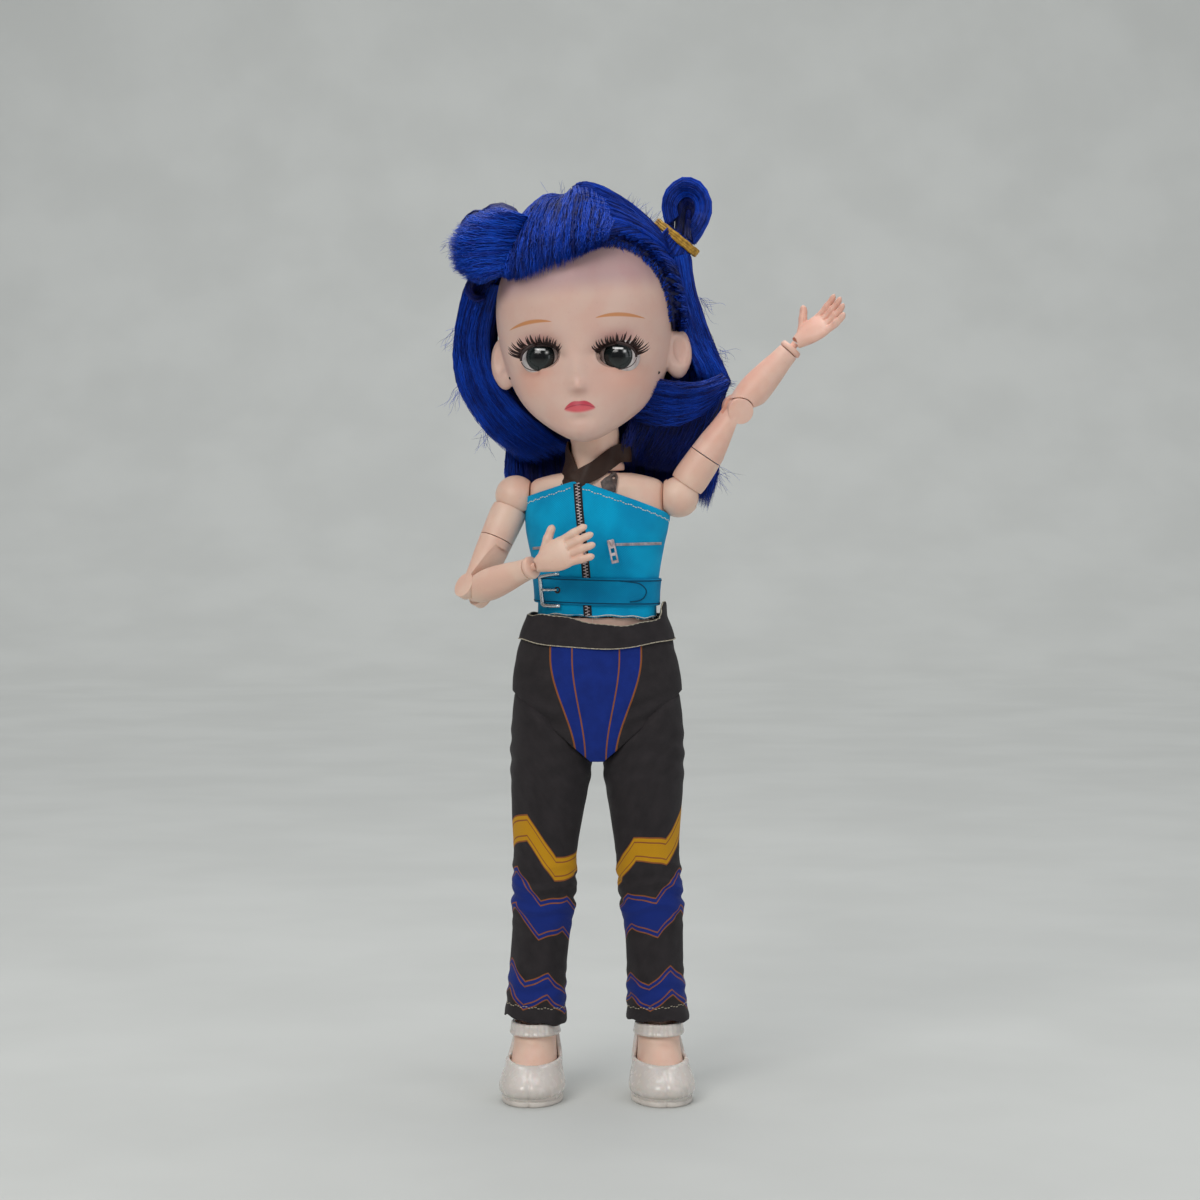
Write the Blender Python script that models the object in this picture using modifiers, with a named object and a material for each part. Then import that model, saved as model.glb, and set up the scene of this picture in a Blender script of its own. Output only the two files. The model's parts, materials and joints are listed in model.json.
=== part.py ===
"""Ball jointed doll, about 30 cm tall, in a halter top, leggings and strapped shoes.

Metres, +Z up. The doll faces -Y, and its left hand is at +X. It stands on Z = 0 in the pose of the
photograph. Every moving piece hangs from an empty that lies on its joint: the empties carry the pose,
and each piece is modelled straight down from its own joint, as it comes out of the mould.
"""

import math

import bmesh
import bpy
from mathutils import Matrix, Vector

mm = 0.001

# Clearances
GAP = 0.3 * mm  # between two pieces that touch or slide
OVERRUN = 3.0 * mm  # how far a cutter passes the face that it opens
BITE = 0.8 * mm  # how far a shape that is joined to another reaches into it

# Facets
LIMB_SIDES = 12
BALL_SIDES = 12
HIDDEN_SIDES = 10
HOLLOW_SIDES = 16
HINGE_SIDES = 20
SEAT_SIDES = 16
SLIT_SIDES = 16
ROOM_SIDES = 14
NECK_SIDES = 16
PALM_SIDES = 10
PEG_SIDES = 8
FINGER_SIDES = 6
HEAD_SIDES = 24
HAIR_SIDES = 22
TORSO_SIDES = 18

# Torso
WAIST_RISE = 32.6 * mm  # hip line to waist joint
PELVIS_WIDTH = 47.0 * mm
PELVIS_DEPTH = 26.0 * mm
CROTCH_DROP = 11.5 * mm
CHEST_HEIGHT = 46.4 * mm  # waist joint to neck joint
CHEST_WIDTH = 43.0 * mm  # across the flats that carry the shoulders
CHEST_DEPTH = 24.5 * mm
SHOULDER_DROP = 7.6 * mm  # neck joint down to the shoulder line
NECK_LENGTH = 22.0 * mm  # neck joint to the pivot of the head
NECK_RADIUS = 7.9 * mm
NECK_FOOT_RADIUS = 9.0 * mm
NECK_FOOT_HEIGHT = 2.2 * mm
NECK_WAIST_RADIUS = 5.4 * mm  # where the column narrows under its ball
NECK_BALL = 6.6 * mm
NECK_BALL_TURNS = (0, 30, 60, 90, 116)  # degrees from the top of the ball
NECK_WAIST_SHARE = 0.60  # of the ball's radius, below its middle
NECK_TOP_SHARE = 0.62  # of the neck's length
NECK_LOW_SHARE = 0.30
NECK_PEG_RADIUS = 3.6 * mm
NECK_PEG_LENGTH = 9.0 * mm
WAIST_PEG_RADIUS = 4.4 * mm
WAIST_HEAD_RADIUS = 6.2 * mm
WAIST_PEG_LENGTH = 9.0 * mm  # above the joint, and again below it
WAIST_HEAD_HEIGHT = 2.6 * mm

# Share of the height, then shares of the width, the front depth and the back depth
CHEST_SHARES = (
    (0.00, 0.83, 0.80, 0.80), (0.14, 0.83, 0.84, 0.80), (0.32, 0.88, 0.93, 0.84), (0.50, 0.96, 1.08, 0.92),
    (0.62, 1.01, 1.10, 0.98), (0.76, 1.03, 1.00, 1.00), (0.88, 1.03, 0.88, 0.96), (0.95, 0.94, 0.82, 0.90),
    (0.985, 0.70, 0.78, 0.84), (1.00, 0.52, 0.74, 0.78),
)
PELVIS_SHARES = (
    (1.00, 0.76, 0.78, 0.80), (0.90, 0.79, 0.82, 0.86), (0.76, 0.88, 0.92, 1.00), (0.62, 0.96, 0.98, 1.12),
    (0.48, 1.00, 1.00, 1.18), (0.34, 0.94, 0.98, 1.16), (0.20, 0.66, 0.90, 1.04), (0.08, 0.36, 0.76, 0.84),
    (0.00, 0.16, 0.50, 0.56),
)

# Head, measured from the pivot on which it nods
HEAD_WIDTH = 56.0 * mm
HEAD_HEIGHT = 76.0 * mm  # chin to crown
HEAD_DEPTH = 60.0 * mm
CHIN_DROP = 12.0 * mm
SKULL_WALL = 2.2 * mm
HEAD_SPLIT = 7.0 * mm  # the seam between face and back of the head, behind the ears
SOCKET_RADIUS = 9.9 * mm
SOCKET_RISE = 7.4 * mm
SOCKET_DROP = 2.6 * mm
SOCKET_WALL = 3.4 * mm  # of the head, around the socket
EYE_SPACING = 26.0 * mm
EYE_HEIGHT = 16.4 * mm
EYE_RADIUS = 6.6 * mm
EYE_DEPTH = 17.4 * mm  # pivot forward to the middle of the eyeball
EYE_BACK_SHARE = 0.55  # of the eyeball's radius, behind its middle
EYE_SLIT_WIDTH = 12.2 * mm
EYE_SLIT_HEIGHT = 9.8 * mm
LASH_THICKNESS = 0.5 * mm
LASH_REACH = 2.6 * mm
LASH_ROOT = 0.7 * mm
LASH_LIFT = 0.26 * mm  # of the tips over the roots
LASH_START = 12.0  # degrees up from the corner of the eye
LASH_STEPS = 8
EAR_WIDTH = 11.0 * mm
EAR_THICKNESS = 6.0 * mm
EAR_HEIGHT = 17.0 * mm
EAR_RISE = 14.2 * mm
EAR_BACK = 0.4 * mm
EAR_LEAN = 32.0  # degrees, back edge outwards
EAR_CUP_SHARE = 0.62  # of the ear's height
EAR_CUP_OUT_SHARE = 0.42  # of its thickness
EAR_CUP_FRONT_SHARE = 0.10  # of its width
EAR_CUP_FORM_SHARES = (0.20, 0.46, 1)
EAR_ROOM_SHARE = 1.15  # of the ear, cut from the hair around it

# Share of the height from the chin, of the half width, and of the depth in front of and behind the pivot
HEAD_SHARES = (
    (0.000, 0.05, -0.320, -0.240), (0.012, 0.16, -0.350, -0.180), (0.040, 0.30, -0.382, -0.080),
    (0.080, 0.46, -0.402, 0.060), (0.130, 0.62, -0.415, 0.200), (0.185, 0.745, -0.425, 0.320),
    (0.250, 0.845, -0.435, 0.420), (0.320, 0.915, -0.443, 0.480), (0.400, 0.965, -0.452, 0.520),
    (0.500, 1.000, -0.468, 0.540), (0.600, 0.995, -0.478, 0.540), (0.700, 0.940, -0.466, 0.515),
    (0.800, 0.825, -0.420, 0.460), (0.880, 0.660, -0.345, 0.375), (0.940, 0.470, -0.250, 0.270),
    (0.985, 0.240, -0.125, 0.140), (1.000, 0.050, -0.020, 0.040),
)
HEAD_ROWS = 17
HAIR_ROWS = 11
CAVITY_ROWS = 8
# Bumps and dents of the face: place across and up, push forwards, and spread across and up, all as shares
FACE_RELIEF_SHARES = (
    (0.00, 0.232, 0.042, 0.085, 0.030), (0.00, 0.285, 0.018, 0.080, 0.060),
    (0.00, 0.132, 0.022, 0.110, 0.022), (0.00, 0.040, 0.018, 0.200, 0.040),
    (0.46, 0.370, -0.030, 0.200, 0.070), (-0.46, 0.370, -0.030, 0.200, 0.070),
    (0.55, 0.205, 0.018, 0.220, 0.080), (-0.55, 0.205, 0.018, 0.220, 0.080),
)

# Shoulder: a pegged ball that turns in the chest, with a slot for the arm's tongue
SHOULDER_BALL = 6.8 * mm
SHOULDER_OFFSET = 5.0 * mm  # flat of the chest to the middle of the ball
SHOULDER_PEG_RADIUS = 2.5 * mm
SHOULDER_PEG_LENGTH = 6.5 * mm
SHOULDER_TONGUE = 3.0 * mm  # half width
SHOULDER_TONGUE_THICKNESS = 4.0 * mm
PIVOT_PIN_RADIUS = 1.0 * mm
SLOT_INNER_SHARE = 1.25  # of the tongue's half width, on the inner side of the ball

# Arm, straight down from the middle of the shoulder's ball
ARM_WIDTH = 11.6 * mm
UPPER_ARM_LENGTH = 15.5 * mm  # to the swivel seam
SLEEVE_LENGTH = 18.5 * mm  # swivel seam to the elbow pin
SLEEVE_END_SHARE = 0.95  # of the sleeve, where its form stops above the elbow pin
SLEEVE_PEG_RADIUS = 2.6 * mm
SLEEVE_PEG_LENGTH = 5.0 * mm
ELBOW_RADIUS = 4.1 * mm
ELBOW_WIDTH = 9.4 * mm
ELBOW_TONGUE_THICKNESS = 3.4 * mm
ELBOW_TONGUE_RADIUS = 3.3 * mm
ELBOW_NOTCH = 74.0  # degrees up from the front
ELBOW_CUT = 34.0
TONGUE_ROOT = 2.5 * mm  # how far a tongue runs into its limb
ELBOW_PIN_RADIUS = 1.0 * mm
FOREARM_LENGTH = 24.5 * mm
FOREARM_WIDTH = 10.4 * mm
WRIST_PEG_RADIUS = 1.3 * mm
WRIST_PEG_LENGTH = 4.5 * mm
WRIST_RING_WIDTH = 7.4 * mm
WRIST_RING_HEIGHT = 2.2 * mm
WRIST_RIM_SHARE = 0.94  # of the ring's radius, at its two rims
WRIST_BALL = 1.9 * mm
WRIST_STEM_RADIUS = 1.1 * mm
WRIST_BALL_DROP = 1.5 * mm  # ring to the middle of the ball
PALM_LENGTH = 11.5 * mm
PALM_WIDTH = 9.8 * mm
PALM_THICKNESS = 4.4 * mm
FINGER_WIDTH = 2.5 * mm
FINGER_LENGTH = 8.6 * mm
THUMB_LENGTH = 8.0 * mm
THUMB_WIDTH = 2.9 * mm

# Share of the length, then shares of the width and of the depth, from the top down
UPPER_ARM_SHARES = ((0.18, 0.80, 0.80), (0.34, 0.98, 0.98), (0.60, 1.00, 1.00), (1.00, 0.95, 0.95))
SLEEVE_SHARES = ((0.00, 0.95, 0.95), (0.30, 0.92, 0.88), (0.62, 0.86, 0.76), (1.00, 0.80, 0.70))
FOREARM_SHARES = (
    (0.00, 0.90, 0.78), (0.16, 0.98, 0.92), (0.34, 1.00, 1.00), (0.60, 0.88, 0.90),
    (0.84, 0.72, 0.74), (1.00, 0.65, 0.66),
)
PALM_SHARES = (
    (0.06, 0.50, 0.86), (0.22, 0.66, 1.00), (0.50, 0.92, 1.02), (0.80, 1.02, 0.90), (1.00, 0.98, 0.62),
)
# Place across the palm, length, and fan as a share of the widest fan
FINGER_FAN = 10.0  # degrees
FINGER_PLACE_SHARES = ((-0.74, 0.93, 0.5), (-0.25, 1.04, 0.1), (0.25, 0.98, -0.3), (0.73, 0.80, -0.9))
FINGER_CURL_SHARE = -0.5  # of the length, towards the palm
KNUCKLE_SHARE = 0.86  # of the palm's length, where the fingers start
THUMB_ROOT_SHARE = 0.30
THUMB_PLACE_SHARE = 0.55
THUMB_SPREAD = 48.0
THUMB_SIDE = -1  # towards the body
# Share of a finger's length, of its width, and how far it has curled
FINGER_SHARES = ((-0.10, 0.90, 0.0), (0.50, 0.98, 0.07), (0.88, 0.84, 0.17), (1.00, 0.40, 0.22))

# Hip: the same joint as the shoulder's, inside the round top of the thigh
HIP_X = 14.0 * mm
HIP_BALL = 6.6 * mm
HIP_PEG_RADIUS = 2.6 * mm
HIP_PEG_LENGTH = 2.5 * mm
HIP_BOSS_RADIUS = 4.1 * mm
CROTCH_WALL = 6.2 * mm  # between the hollows for the legs
HIP_TONGUE = 3.4 * mm
HIP_TONGUE_THICKNESS = 4.6 * mm
HIP_BACK_SWING = 25.0  # degrees, the most that the hollow of the pelvis allows
THIGH_TOP_RADIUS = 10.6 * mm  # the thigh's round top, which fills the hollow of the pelvis

# Leg, straight down from the hip
THIGH_WIDTH = 21.6 * mm
THIGH_TOP_LENGTH = 17.0 * mm  # hip to the swivel seam
THIGH_LENGTH = 41.0 * mm  # swivel seam to the knee pin
THIGH_END_SHARE = 0.97  # of the thigh, where its form stops above the knee pin
THIGH_PEG_RADIUS = 4.0 * mm
THIGH_PEG_LENGTH = 6.0 * mm
KNEE_RADIUS = 6.4 * mm
KNEE_WIDTH = 12.6 * mm
KNEE_TONGUE_THICKNESS = 5.0 * mm
KNEE_TONGUE_RADIUS = 5.4 * mm
KNEE_NOTCH = 62.0  # degrees up from the back
KNEE_CUT = 40.0
KNEE_PIN_RADIUS = 1.5 * mm
SHIN_LENGTH = 42.0 * mm
CALF_WIDTH = 15.6 * mm
ANKLE_BALL = 4.6 * mm
ANKLE_PEG_RADIUS = 2.0 * mm
ANKLE_PEG_LENGTH = 5.0 * mm
FOOT_HEIGHT = 21.6 * mm  # ankle joint to the bottom of the bare foot
FOOT_FRONT = 24.0 * mm
FOOT_BACK = 9.6 * mm
ANKLE_PLAY = 2.4 * mm  # bottom of the shin above the ankle's middle
FOOT_WIDTH = 17.0 * mm

THIGH_SHARES = (
    (0.00, 0.97, 0.98), (0.22, 0.90, 0.93), (0.50, 0.79, 0.82), (0.78, 0.68, 0.70), (1.00, 0.64, 0.61),
)
SHIN_SHARES = (
    (0.00, 0.90, 0.84), (0.14, 0.94, 0.92), (0.34, 1.00, 1.02), (0.60, 0.86, 0.88),
    (0.84, 0.72, 0.72), (1.00, 0.70, 0.70),
)
# Share of the foot's height from the sole, then of its half width, front and back
FOOT_SHARES = (
    (0.00, 0.90, 0.93, 0.92), (0.10, 1.00, 1.00, 1.00), (0.24, 0.98, 0.98, 1.02), (0.38, 0.90, 0.86, 0.98),
    (0.54, 0.84, 0.60, 0.92), (0.72, 0.80, 0.42, 0.84), (0.86, 0.78, 0.38, 0.82), (0.97, 0.74, 0.36, 0.78),
)

# Shoes
SOLE_THICKNESS = 1.6 * mm
SHOE_WALL = 1.3 * mm
FOOT_SIDES = 14
HEEL_TAPER_SHARE = 0.14  # how much narrower the heel is
SHOE_TOP = 1.2 * mm  # ankle joint down to the top of the strap
STRAP_HEIGHT = 3.6 * mm
VAMP_HEIGHT = 13.4 * mm  # ground to the front edge of the opening
WINDOW_BACK = 2.4 * mm  # how far behind the ankle the opening at the sides runs
BOW_WIDTH = 13.0 * mm
BOW_HEIGHT = 4.2 * mm
BOW_THICKNESS = 2.2 * mm
BOW_KNOT_HEIGHT = 3.0 * mm
BOW_TILT = 12.0

# Clothes
CLOTH = 0.9 * mm
TOP_ROWS = 7
TOP_SLACK = 0.6 * mm
HIPS_ROWS = 8
CUFF_GAP = 0.5 * mm  # between the cloth of the hips and of the legs
TUBE_TOP = 12.0 * mm  # above the hip, before the groin line is cut
TOP_FRONT_RISE = 42.0 * mm  # waist joint to the peak of the neckline
TOP_SIDE_RISE = 30.6 * mm
NECKLINE_POWER = 1.6  # how sharply the neckline peaks
TOP_HEM = 1.2 * mm
STRAP_WIDTH = 5.6 * mm
STRAP_THICKNESS = 0.7 * mm
STRAP_LIFT = 2.0 * mm  # over the top of the chest
STRAP_RISE = 5.2 * mm  # neck joint up to the strap behind the neck
# Share along the strap, of a half turn from the front, of the rise, and of the radius of the neck's foot
STRAP_SHARES = (
    (0.00, -0.133, -0.577, 1.0), (0.12, -0.056, -0.50, 1.0), (0.24, 0.044, -0.23, 1.0),
    (0.38, 0.189, 0.346, 1.12), (0.50, 0.344, 0.731, 1.04), (0.62, 0.511, 0.885, 1.0),
    (0.76, 0.694, 0.962, 0.99), (0.88, 0.833, 1.0, 0.99), (1.00, 0.972, 1.0, 0.99),
)
STRAP_STEPS = 22
STRAP_LEAN_LOW = 0.5  # how far up the strap faces on the chest, and round the neck
STRAP_LEAN_HIGH = 0.15
BELT_BOTTOM = 4.4 * mm
BELT_HEIGHT = 8.0 * mm
BELT_THICKNESS = 0.8 * mm
BELT_ROWS = 3
BUCKLE_WIDTH = 5.4 * mm
BUCKLE_HEIGHT = 11.2 * mm
BUCKLE_THICKNESS = 1.4 * mm
BUCKLE_ANGLE = 41.0  # degrees from the front, towards the right
BAND_HEIGHT = 7.6 * mm  # waistband
BAND_SLACK = 1.0 * mm
LEGGING_SLACK = 1.5 * mm
LEG_TUBE_TOP_WIDTH = 27.4 * mm
LEG_TUBE_HEM_WIDTH = 20.6 * mm
HEM_RISE = 1.6 * mm  # ankle joint up to the hem
GROIN_TILT = 38.0  # degrees
GROIN_DROP = 3.4 * mm  # below the hip
HIPS_WIDTH = 54.6 * mm
HIPS_DEPTH = 31.0 * mm

# Share of the tube's length down, and of its width
UPPER_TUBE_SHARES = (
    (0.00, 0.94), (0.22, 1.00), (0.42, 0.96), (0.62, 0.85), (0.80, 0.755), (0.92, 0.765), (1.00, 0.75),
)
LOWER_TUBE_SHARES = (
    (0.00, 0.985), (0.10, 1.00), (0.25, 0.93), (0.55, 0.90), (0.80, 0.93), (0.92, 0.96), (1.00, 1.00),
)
# Share of the hip part's height from the crotch up, then of its width, front and back
HIPS_SHARES = (
    (0.00, 0.50, 0.72, 0.84), (0.12, 0.82, 0.88, 0.96), (0.30, 0.97, 0.97, 1.05), (0.46, 1.00, 1.00, 1.08),
    (0.60, 0.985, 0.98, 1.05), (0.80, 0.91, 0.90, 0.96), (1.00, 0.805, 0.80, 0.84),
)

# Hair
HAIR_THICKNESS = 4.4 * mm
HAIR_LOBE = 2.4 * mm  # how far the two lobes beside the parting stand up
LOBE_PLACE_SHARE = 0.26  # of the head's width, from the parting
LOBE_SPREAD_SHARE = 0.13
HAIRLINE_SHARE = 0.8026  # of the head's height, from the chin to the hairline over the brow
BROW_SHARE = 0.47  # of the head's depth, in front of the pivot
TEMPLE_SHARE = 0.20  # where the fringe ends
HAIRLINE_TILT = 41.0  # degrees, down towards the nape
FRINGE_DROP = 1.5 * mm  # hairline down to the fringe's edge, above the nose
FRINGE_TILT = 18.0  # degrees, down towards the right
FRINGE_THICKNESS = 4.6 * mm
LOOP_RADIUS = 5.6 * mm
LOOP_THICKNESS = 3.4 * mm  # radius of the hair that makes the loop
LOOP_LENGTH = 12.0 * mm
BAND_RADIUS = 5.4 * mm
BAND_THICKNESS = 1.5 * mm
LOOP_ROOT_SHARES = (0.5, 0.05, 0.8355)  # of the head's width, of its depth, and of its height from the chin
LOOP_LEAN = 38.0  # degrees from upright
LOOP_STEM = 7.0 * mm
LOOP_START = 1.0 * mm
LOOP_STEPS = 14
LOOP_SIDES = 8
RIGHT_LOOP_TURN = 55.0  # degrees, so that its hole faces the side
BAND_AT = 3.2 * mm
BAND_STEPS = 6
TAIL_WIDTH = 23.0 * mm
TAIL_DEPTH = 17.0 * mm
TAIL_LENGTH = 84.0 * mm
TAIL_TOP_SHARE = 0.7895  # of the head's height, from the chin
TAIL_SIDES = 20

# Share of the tail's length down, then outwards and back, then of its width and depth
LEFT_TAIL_SHARES = (
    (0.00, 0.30, 0.20, 0.55, 0.60), (0.20, 0.36, 0.22, 0.80, 0.90), (0.40, 0.395, 0.22, 0.96, 1.00),
    (0.60, 0.415, 0.22, 1.00, 0.90), (0.78, 0.405, 0.20, 0.84, 0.72), (0.91, 0.385, 0.19, 0.52, 0.50),
    (1.00, 0.370, 0.18, 0.16, 0.20),
)
RIGHT_TAIL_SHARES = (
    (0.00, 0.30, 0.20, 0.55, 0.60), (0.20, 0.355, 0.22, 0.80, 0.90), (0.36, 0.37, 0.21, 0.92, 1.00),
    (0.52, 0.345, 0.20, 0.92, 0.90), (0.66, 0.295, 0.18, 0.80, 0.72), (0.78, 0.245, 0.17, 0.56, 0.50),
    (0.86, 0.215, 0.16, 0.20, 0.24),
)

# Pose of the photograph, in degrees
CHEST_TURN = -5.0
NECK_TURN = -1.0
NECK_LEAN = -3.5
HEAD_NOD = 0.0
LEFT_ARM = {"swing": 180.0, "raise": 34.0, "turn": 70.0, "elbow": 8.0, "wrist": 20.0, "bend": 6.0}
RIGHT_ARM = {"swing": 15.0, "raise": 22.0, "turn": -48.0, "elbow": 116.0, "wrist": 30.0, "bend": 8.0}
LEFT_LEG = {"swing": 0.0, "spread": 3.5, "turn": 5.0, "knee": 0.0}
RIGHT_LEG = {"swing": 0.0, "spread": 3.5, "turn": 4.0, "knee": 0.0}

SKIN = ("skin", (0.78, 0.58, 0.50), 0.45, 0.0)
EYES = ("eye", (0.03, 0.035, 0.035), 0.08, 0.0)
LASHES = ("lash", (0.03, 0.02, 0.02), 0.60, 0.0)
HAIR = ("hair", (0.005, 0.03, 0.42), 0.45, 0.0)
ELASTIC = ("hair elastic", (0.45, 0.27, 0.02), 0.50, 0.0)
TEAL = ("top cloth", (0.0, 0.25, 0.42), 0.80, 0.0)
BLACK = ("legging cloth", (0.012, 0.012, 0.012), 0.85, 0.0)
RIBBON = ("ribbon", (0.07, 0.03, 0.015), 0.70, 0.0)
STEEL = ("joint pin", (0.55, 0.55, 0.56), 0.35, 1.0)
SHOE = ("shoe vinyl", (0.80, 0.76, 0.73), 0.35, 0.0)


def clear_scene():
    for obj in list(bpy.data.objects):
        bpy.data.objects.remove(obj, do_unlink=True)


def collection_named(name):
    made = bpy.data.collections.new(name)
    bpy.context.scene.collection.children.link(made)
    return made


def turned(axis, degrees):
    return Matrix.Rotation(math.radians(degrees), 4, axis)


def joint(name, parent, location, *turns):
    """An empty on a joint, holding the pose of what hangs from it."""
    empty = bpy.data.objects.new(name, None)
    empty.empty_display_size = 4.0 * mm
    DOLL.objects.link(empty)
    empty.parent = parent
    matrix = Matrix.Translation(location)
    for turn in turns:
        matrix = matrix @ turn
    empty.matrix_local = matrix
    return empty


def material(settings):
    name, colour, roughness, metallic = settings
    made = bpy.data.materials.get(name)
    if made:
        return made
    made = bpy.data.materials.new(name)
    made.use_nodes = True
    made.diffuse_color = (*colour, 1.0)
    shader = made.node_tree.nodes["Principled BSDF"]
    shader.inputs["Base Color"].default_value = (*colour, 1.0)
    shader.inputs["Roughness"].default_value = roughness
    shader.inputs["Metallic"].default_value = metallic
    return made


def piece(name, bm, parent, look):
    """A node of the doll, in the frame of its joint."""
    bmesh.ops.recalc_face_normals(bm, faces=bm.faces)
    mesh = bpy.data.meshes.new(name)
    bm.to_mesh(mesh)
    bm.free()
    mesh.materials.append(material(look))
    mesh.shade_smooth()
    mesh.set_sharp_from_angle(angle=math.radians(42.0))
    obj = bpy.data.objects.new(name, mesh)
    DOLL.objects.link(obj)
    obj.parent = parent
    return obj


def tool(name, bm, parent, matrix=None):
    """A shape that only cuts or joins others."""
    bmesh.ops.recalc_face_normals(bm, faces=bm.faces)
    mesh = bpy.data.meshes.new(name)
    bm.to_mesh(mesh)
    bm.free()
    obj = bpy.data.objects.new(name, mesh)
    TOOLS.objects.link(obj)
    obj.hide_render = True
    obj.display_type = "WIRE"
    obj.parent = parent
    if matrix:
        obj.matrix_local = matrix
    return obj


def combine(obj, other, operation):
    modifier = obj.modifiers.new(operation.lower() + " " + other.name, "BOOLEAN")
    modifier.operation = operation
    modifier.solver = "EXACT"
    modifier.object = other


def cut(obj, *others):
    for other in others:
        combine(obj, other, "DIFFERENCE")


def join(obj, *others):
    for other in others:
        combine(obj, other, "UNION")


def box(size, centre=(0, 0, 0)):
    bm = bmesh.new()
    matrix = Matrix.Translation(centre) @ Matrix.Diagonal((*size, 1.0))
    bmesh.ops.create_cube(bm, size=1.0, matrix=matrix)
    return bm


def ball(radius, sides=BALL_SIDES, centre=(0, 0, 0), scale=(1, 1, 1)):
    bm = bmesh.new()
    matrix = Matrix.Translation(centre) @ Matrix.Diagonal((*scale, 1.0))
    bmesh.ops.create_uvsphere(bm, u_segments=sides, v_segments=sides // 2, radius=radius, matrix=matrix)
    return bm


def rod(radius, start, end, sides=PEG_SIDES):
    """A cylinder between two points."""
    start, end = Vector(start), Vector(end)
    bm = bmesh.new()
    run = end - start
    matrix = Matrix.Translation((start + end) / 2) @ run.to_track_quat("Z", "Y").to_matrix().to_4x4()
    bmesh.ops.create_cone(
        bm, cap_ends=True, segments=sides, radius1=radius, radius2=radius, depth=run.length, matrix=matrix
    )
    return bm


def between(table, share):
    """The row at a share of the table's first column, on a smooth curve through its rows."""
    rows = sorted(table)
    i = 0
    while i < len(rows) - 2 and rows[i + 1][0] <= share:
        i += 1
    a, b = rows[i], rows[i + 1]
    before, after = rows[max(i - 1, 0)], rows[min(i + 2, len(rows) - 1)]
    t = (share - a[0]) / (b[0] - a[0])
    found = []
    for k in range(1, len(a)):
        leave = (b[k] - before[k]) / (b[0] - before[0]) * (b[0] - a[0])
        arrive = (after[k] - a[k]) / (after[0] - a[0]) * (b[0] - a[0])
        found.append(
            (2 * t**3 - 3 * t**2 + 1) * a[k] + (t**3 - 2 * t**2 + t) * leave
            + (3 * t**2 - 2 * t**3) * b[k] + (t**3 - t**2) * arrive
        )
    return found


def oval(z, half_width, front, back, sides, x=0.0, y=0.0):
    points = []
    for i in range(sides):
        angle = 2 * math.pi * i / sides
        depth = back if math.sin(angle) > 0 else front
        points.append((x + half_width * math.cos(angle), y + depth * math.sin(angle), z))
    return points


def loft(rings):
    """A closed body through rings of points, capped at both ends."""
    bm = bmesh.new()
    rows = [[bm.verts.new(point) for point in ring] for ring in rings]
    for low, high in zip(rows, rows[1:]):
        for i in range(len(low)):
            j = (i + 1) % len(low)
            bm.faces.new((low[i], low[j], high[j], high[i]))
    bm.faces.new(rows[0])
    bm.faces.new(rows[-1])
    return bm


def closed_loop(rings):
    """A body whose last ring meets its first, as in a tube bent round to its start."""
    bm = bmesh.new()
    rows = [[bm.verts.new(point) for point in ring] for ring in rings]
    for low, high in zip(rows, rows[1:] + rows[:1]):
        for i in range(len(low)):
            j = (i + 1) % len(low)
            bm.faces.new((low[i], low[j], high[j], high[i]))
    return bm


def wall(outer, inner):
    """A closed wall between an outer and an inner column of rings, joined at both rims."""
    return closed_loop(list(outer) + list(inner)[::-1])


def limb(shares, length, width, depth, end=1.0, sides=LIMB_SIDES, top=None):
    """A limb that runs down from its joint, from a table of shares."""
    first = shares[0][0] * length if top is None else top
    rings = []
    for share, wide, deep in shares:
        z = max(share * length, first)
        z = min(z, end * length)
        rings.append(oval(-z, wide * width / 2, deep * depth / 2, deep * depth / 2, sides))
    return loft(rings)


def spun(name, profile, parent, look, sides):
    """A turned piece, whose outline runs down its outer side from the axis to the axis."""
    mesh = bpy.data.meshes.new(name)
    edges = [(i, i + 1) for i in range(len(profile) - 1)]
    mesh.from_pydata([(radius, 0, z) for radius, z in profile], edges, [])
    mesh.materials.append(material(look))
    obj = bpy.data.objects.new(name, mesh)
    DOLL.objects.link(obj)
    obj.parent = parent
    screw = obj.modifiers.new("turn", "SCREW")
    screw.axis = "Z"
    screw.steps = sides
    screw.render_steps = sides
    screw.use_merge_vertices = True
    screw.merge_threshold = 0.01 * mm
    screw.use_smooth_shade = False
    return obj


def corner(size, tilt, facing, drop, width, name, parent):
    """A block whose corner lies on a hinge, tilted up from the front (facing -1) or the back (facing 1)."""
    middle = (0, facing * size / 2, -size / 2)
    matrix = Matrix.Translation((0, 0, -drop)) @ turned("X", facing * tilt)
    return tool(name, box((width, size, size), middle), parent, matrix)


clear_scene()
DOLL = collection_named("Ball jointed doll")
TOOLS = collection_named("Cutters")
TOOLS.hide_render = True

leg_run = THIGH_TOP_LENGTH + THIGH_LENGTH + SHIN_LENGTH
hip_height = SOLE_THICKNESS + FOOT_HEIGHT + leg_run * math.cos(math.radians(LEFT_LEG["spread"]))
root = bpy.data.objects.new("doll_root", None)
DOLL.objects.link(root)
pelvis_at = joint("pelvis_frame", root, (0, 0, hip_height))
waist_at = joint("waist_joint", pelvis_at, (0, 0, WAIST_RISE), turned("Z", CHEST_TURN))
neck_at = joint("neck_joint", waist_at, (0, 0, CHEST_HEIGHT), turned("Y", NECK_LEAN), turned("Z", NECK_TURN))
head_at = joint("head_joint", neck_at, (0, 0, NECK_LENGTH), turned("X", HEAD_NOD))


# Chest
def chest_section(z, extra=0.0):
    wide, front, back = between(CHEST_SHARES, min(max(z / CHEST_HEIGHT, 0.0), 1.0))
    return (
        wide * CHEST_WIDTH / 2 + extra,
        front * CHEST_DEPTH / 2 + extra,
        back * CHEST_DEPTH / 2 + extra,
    )


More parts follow.
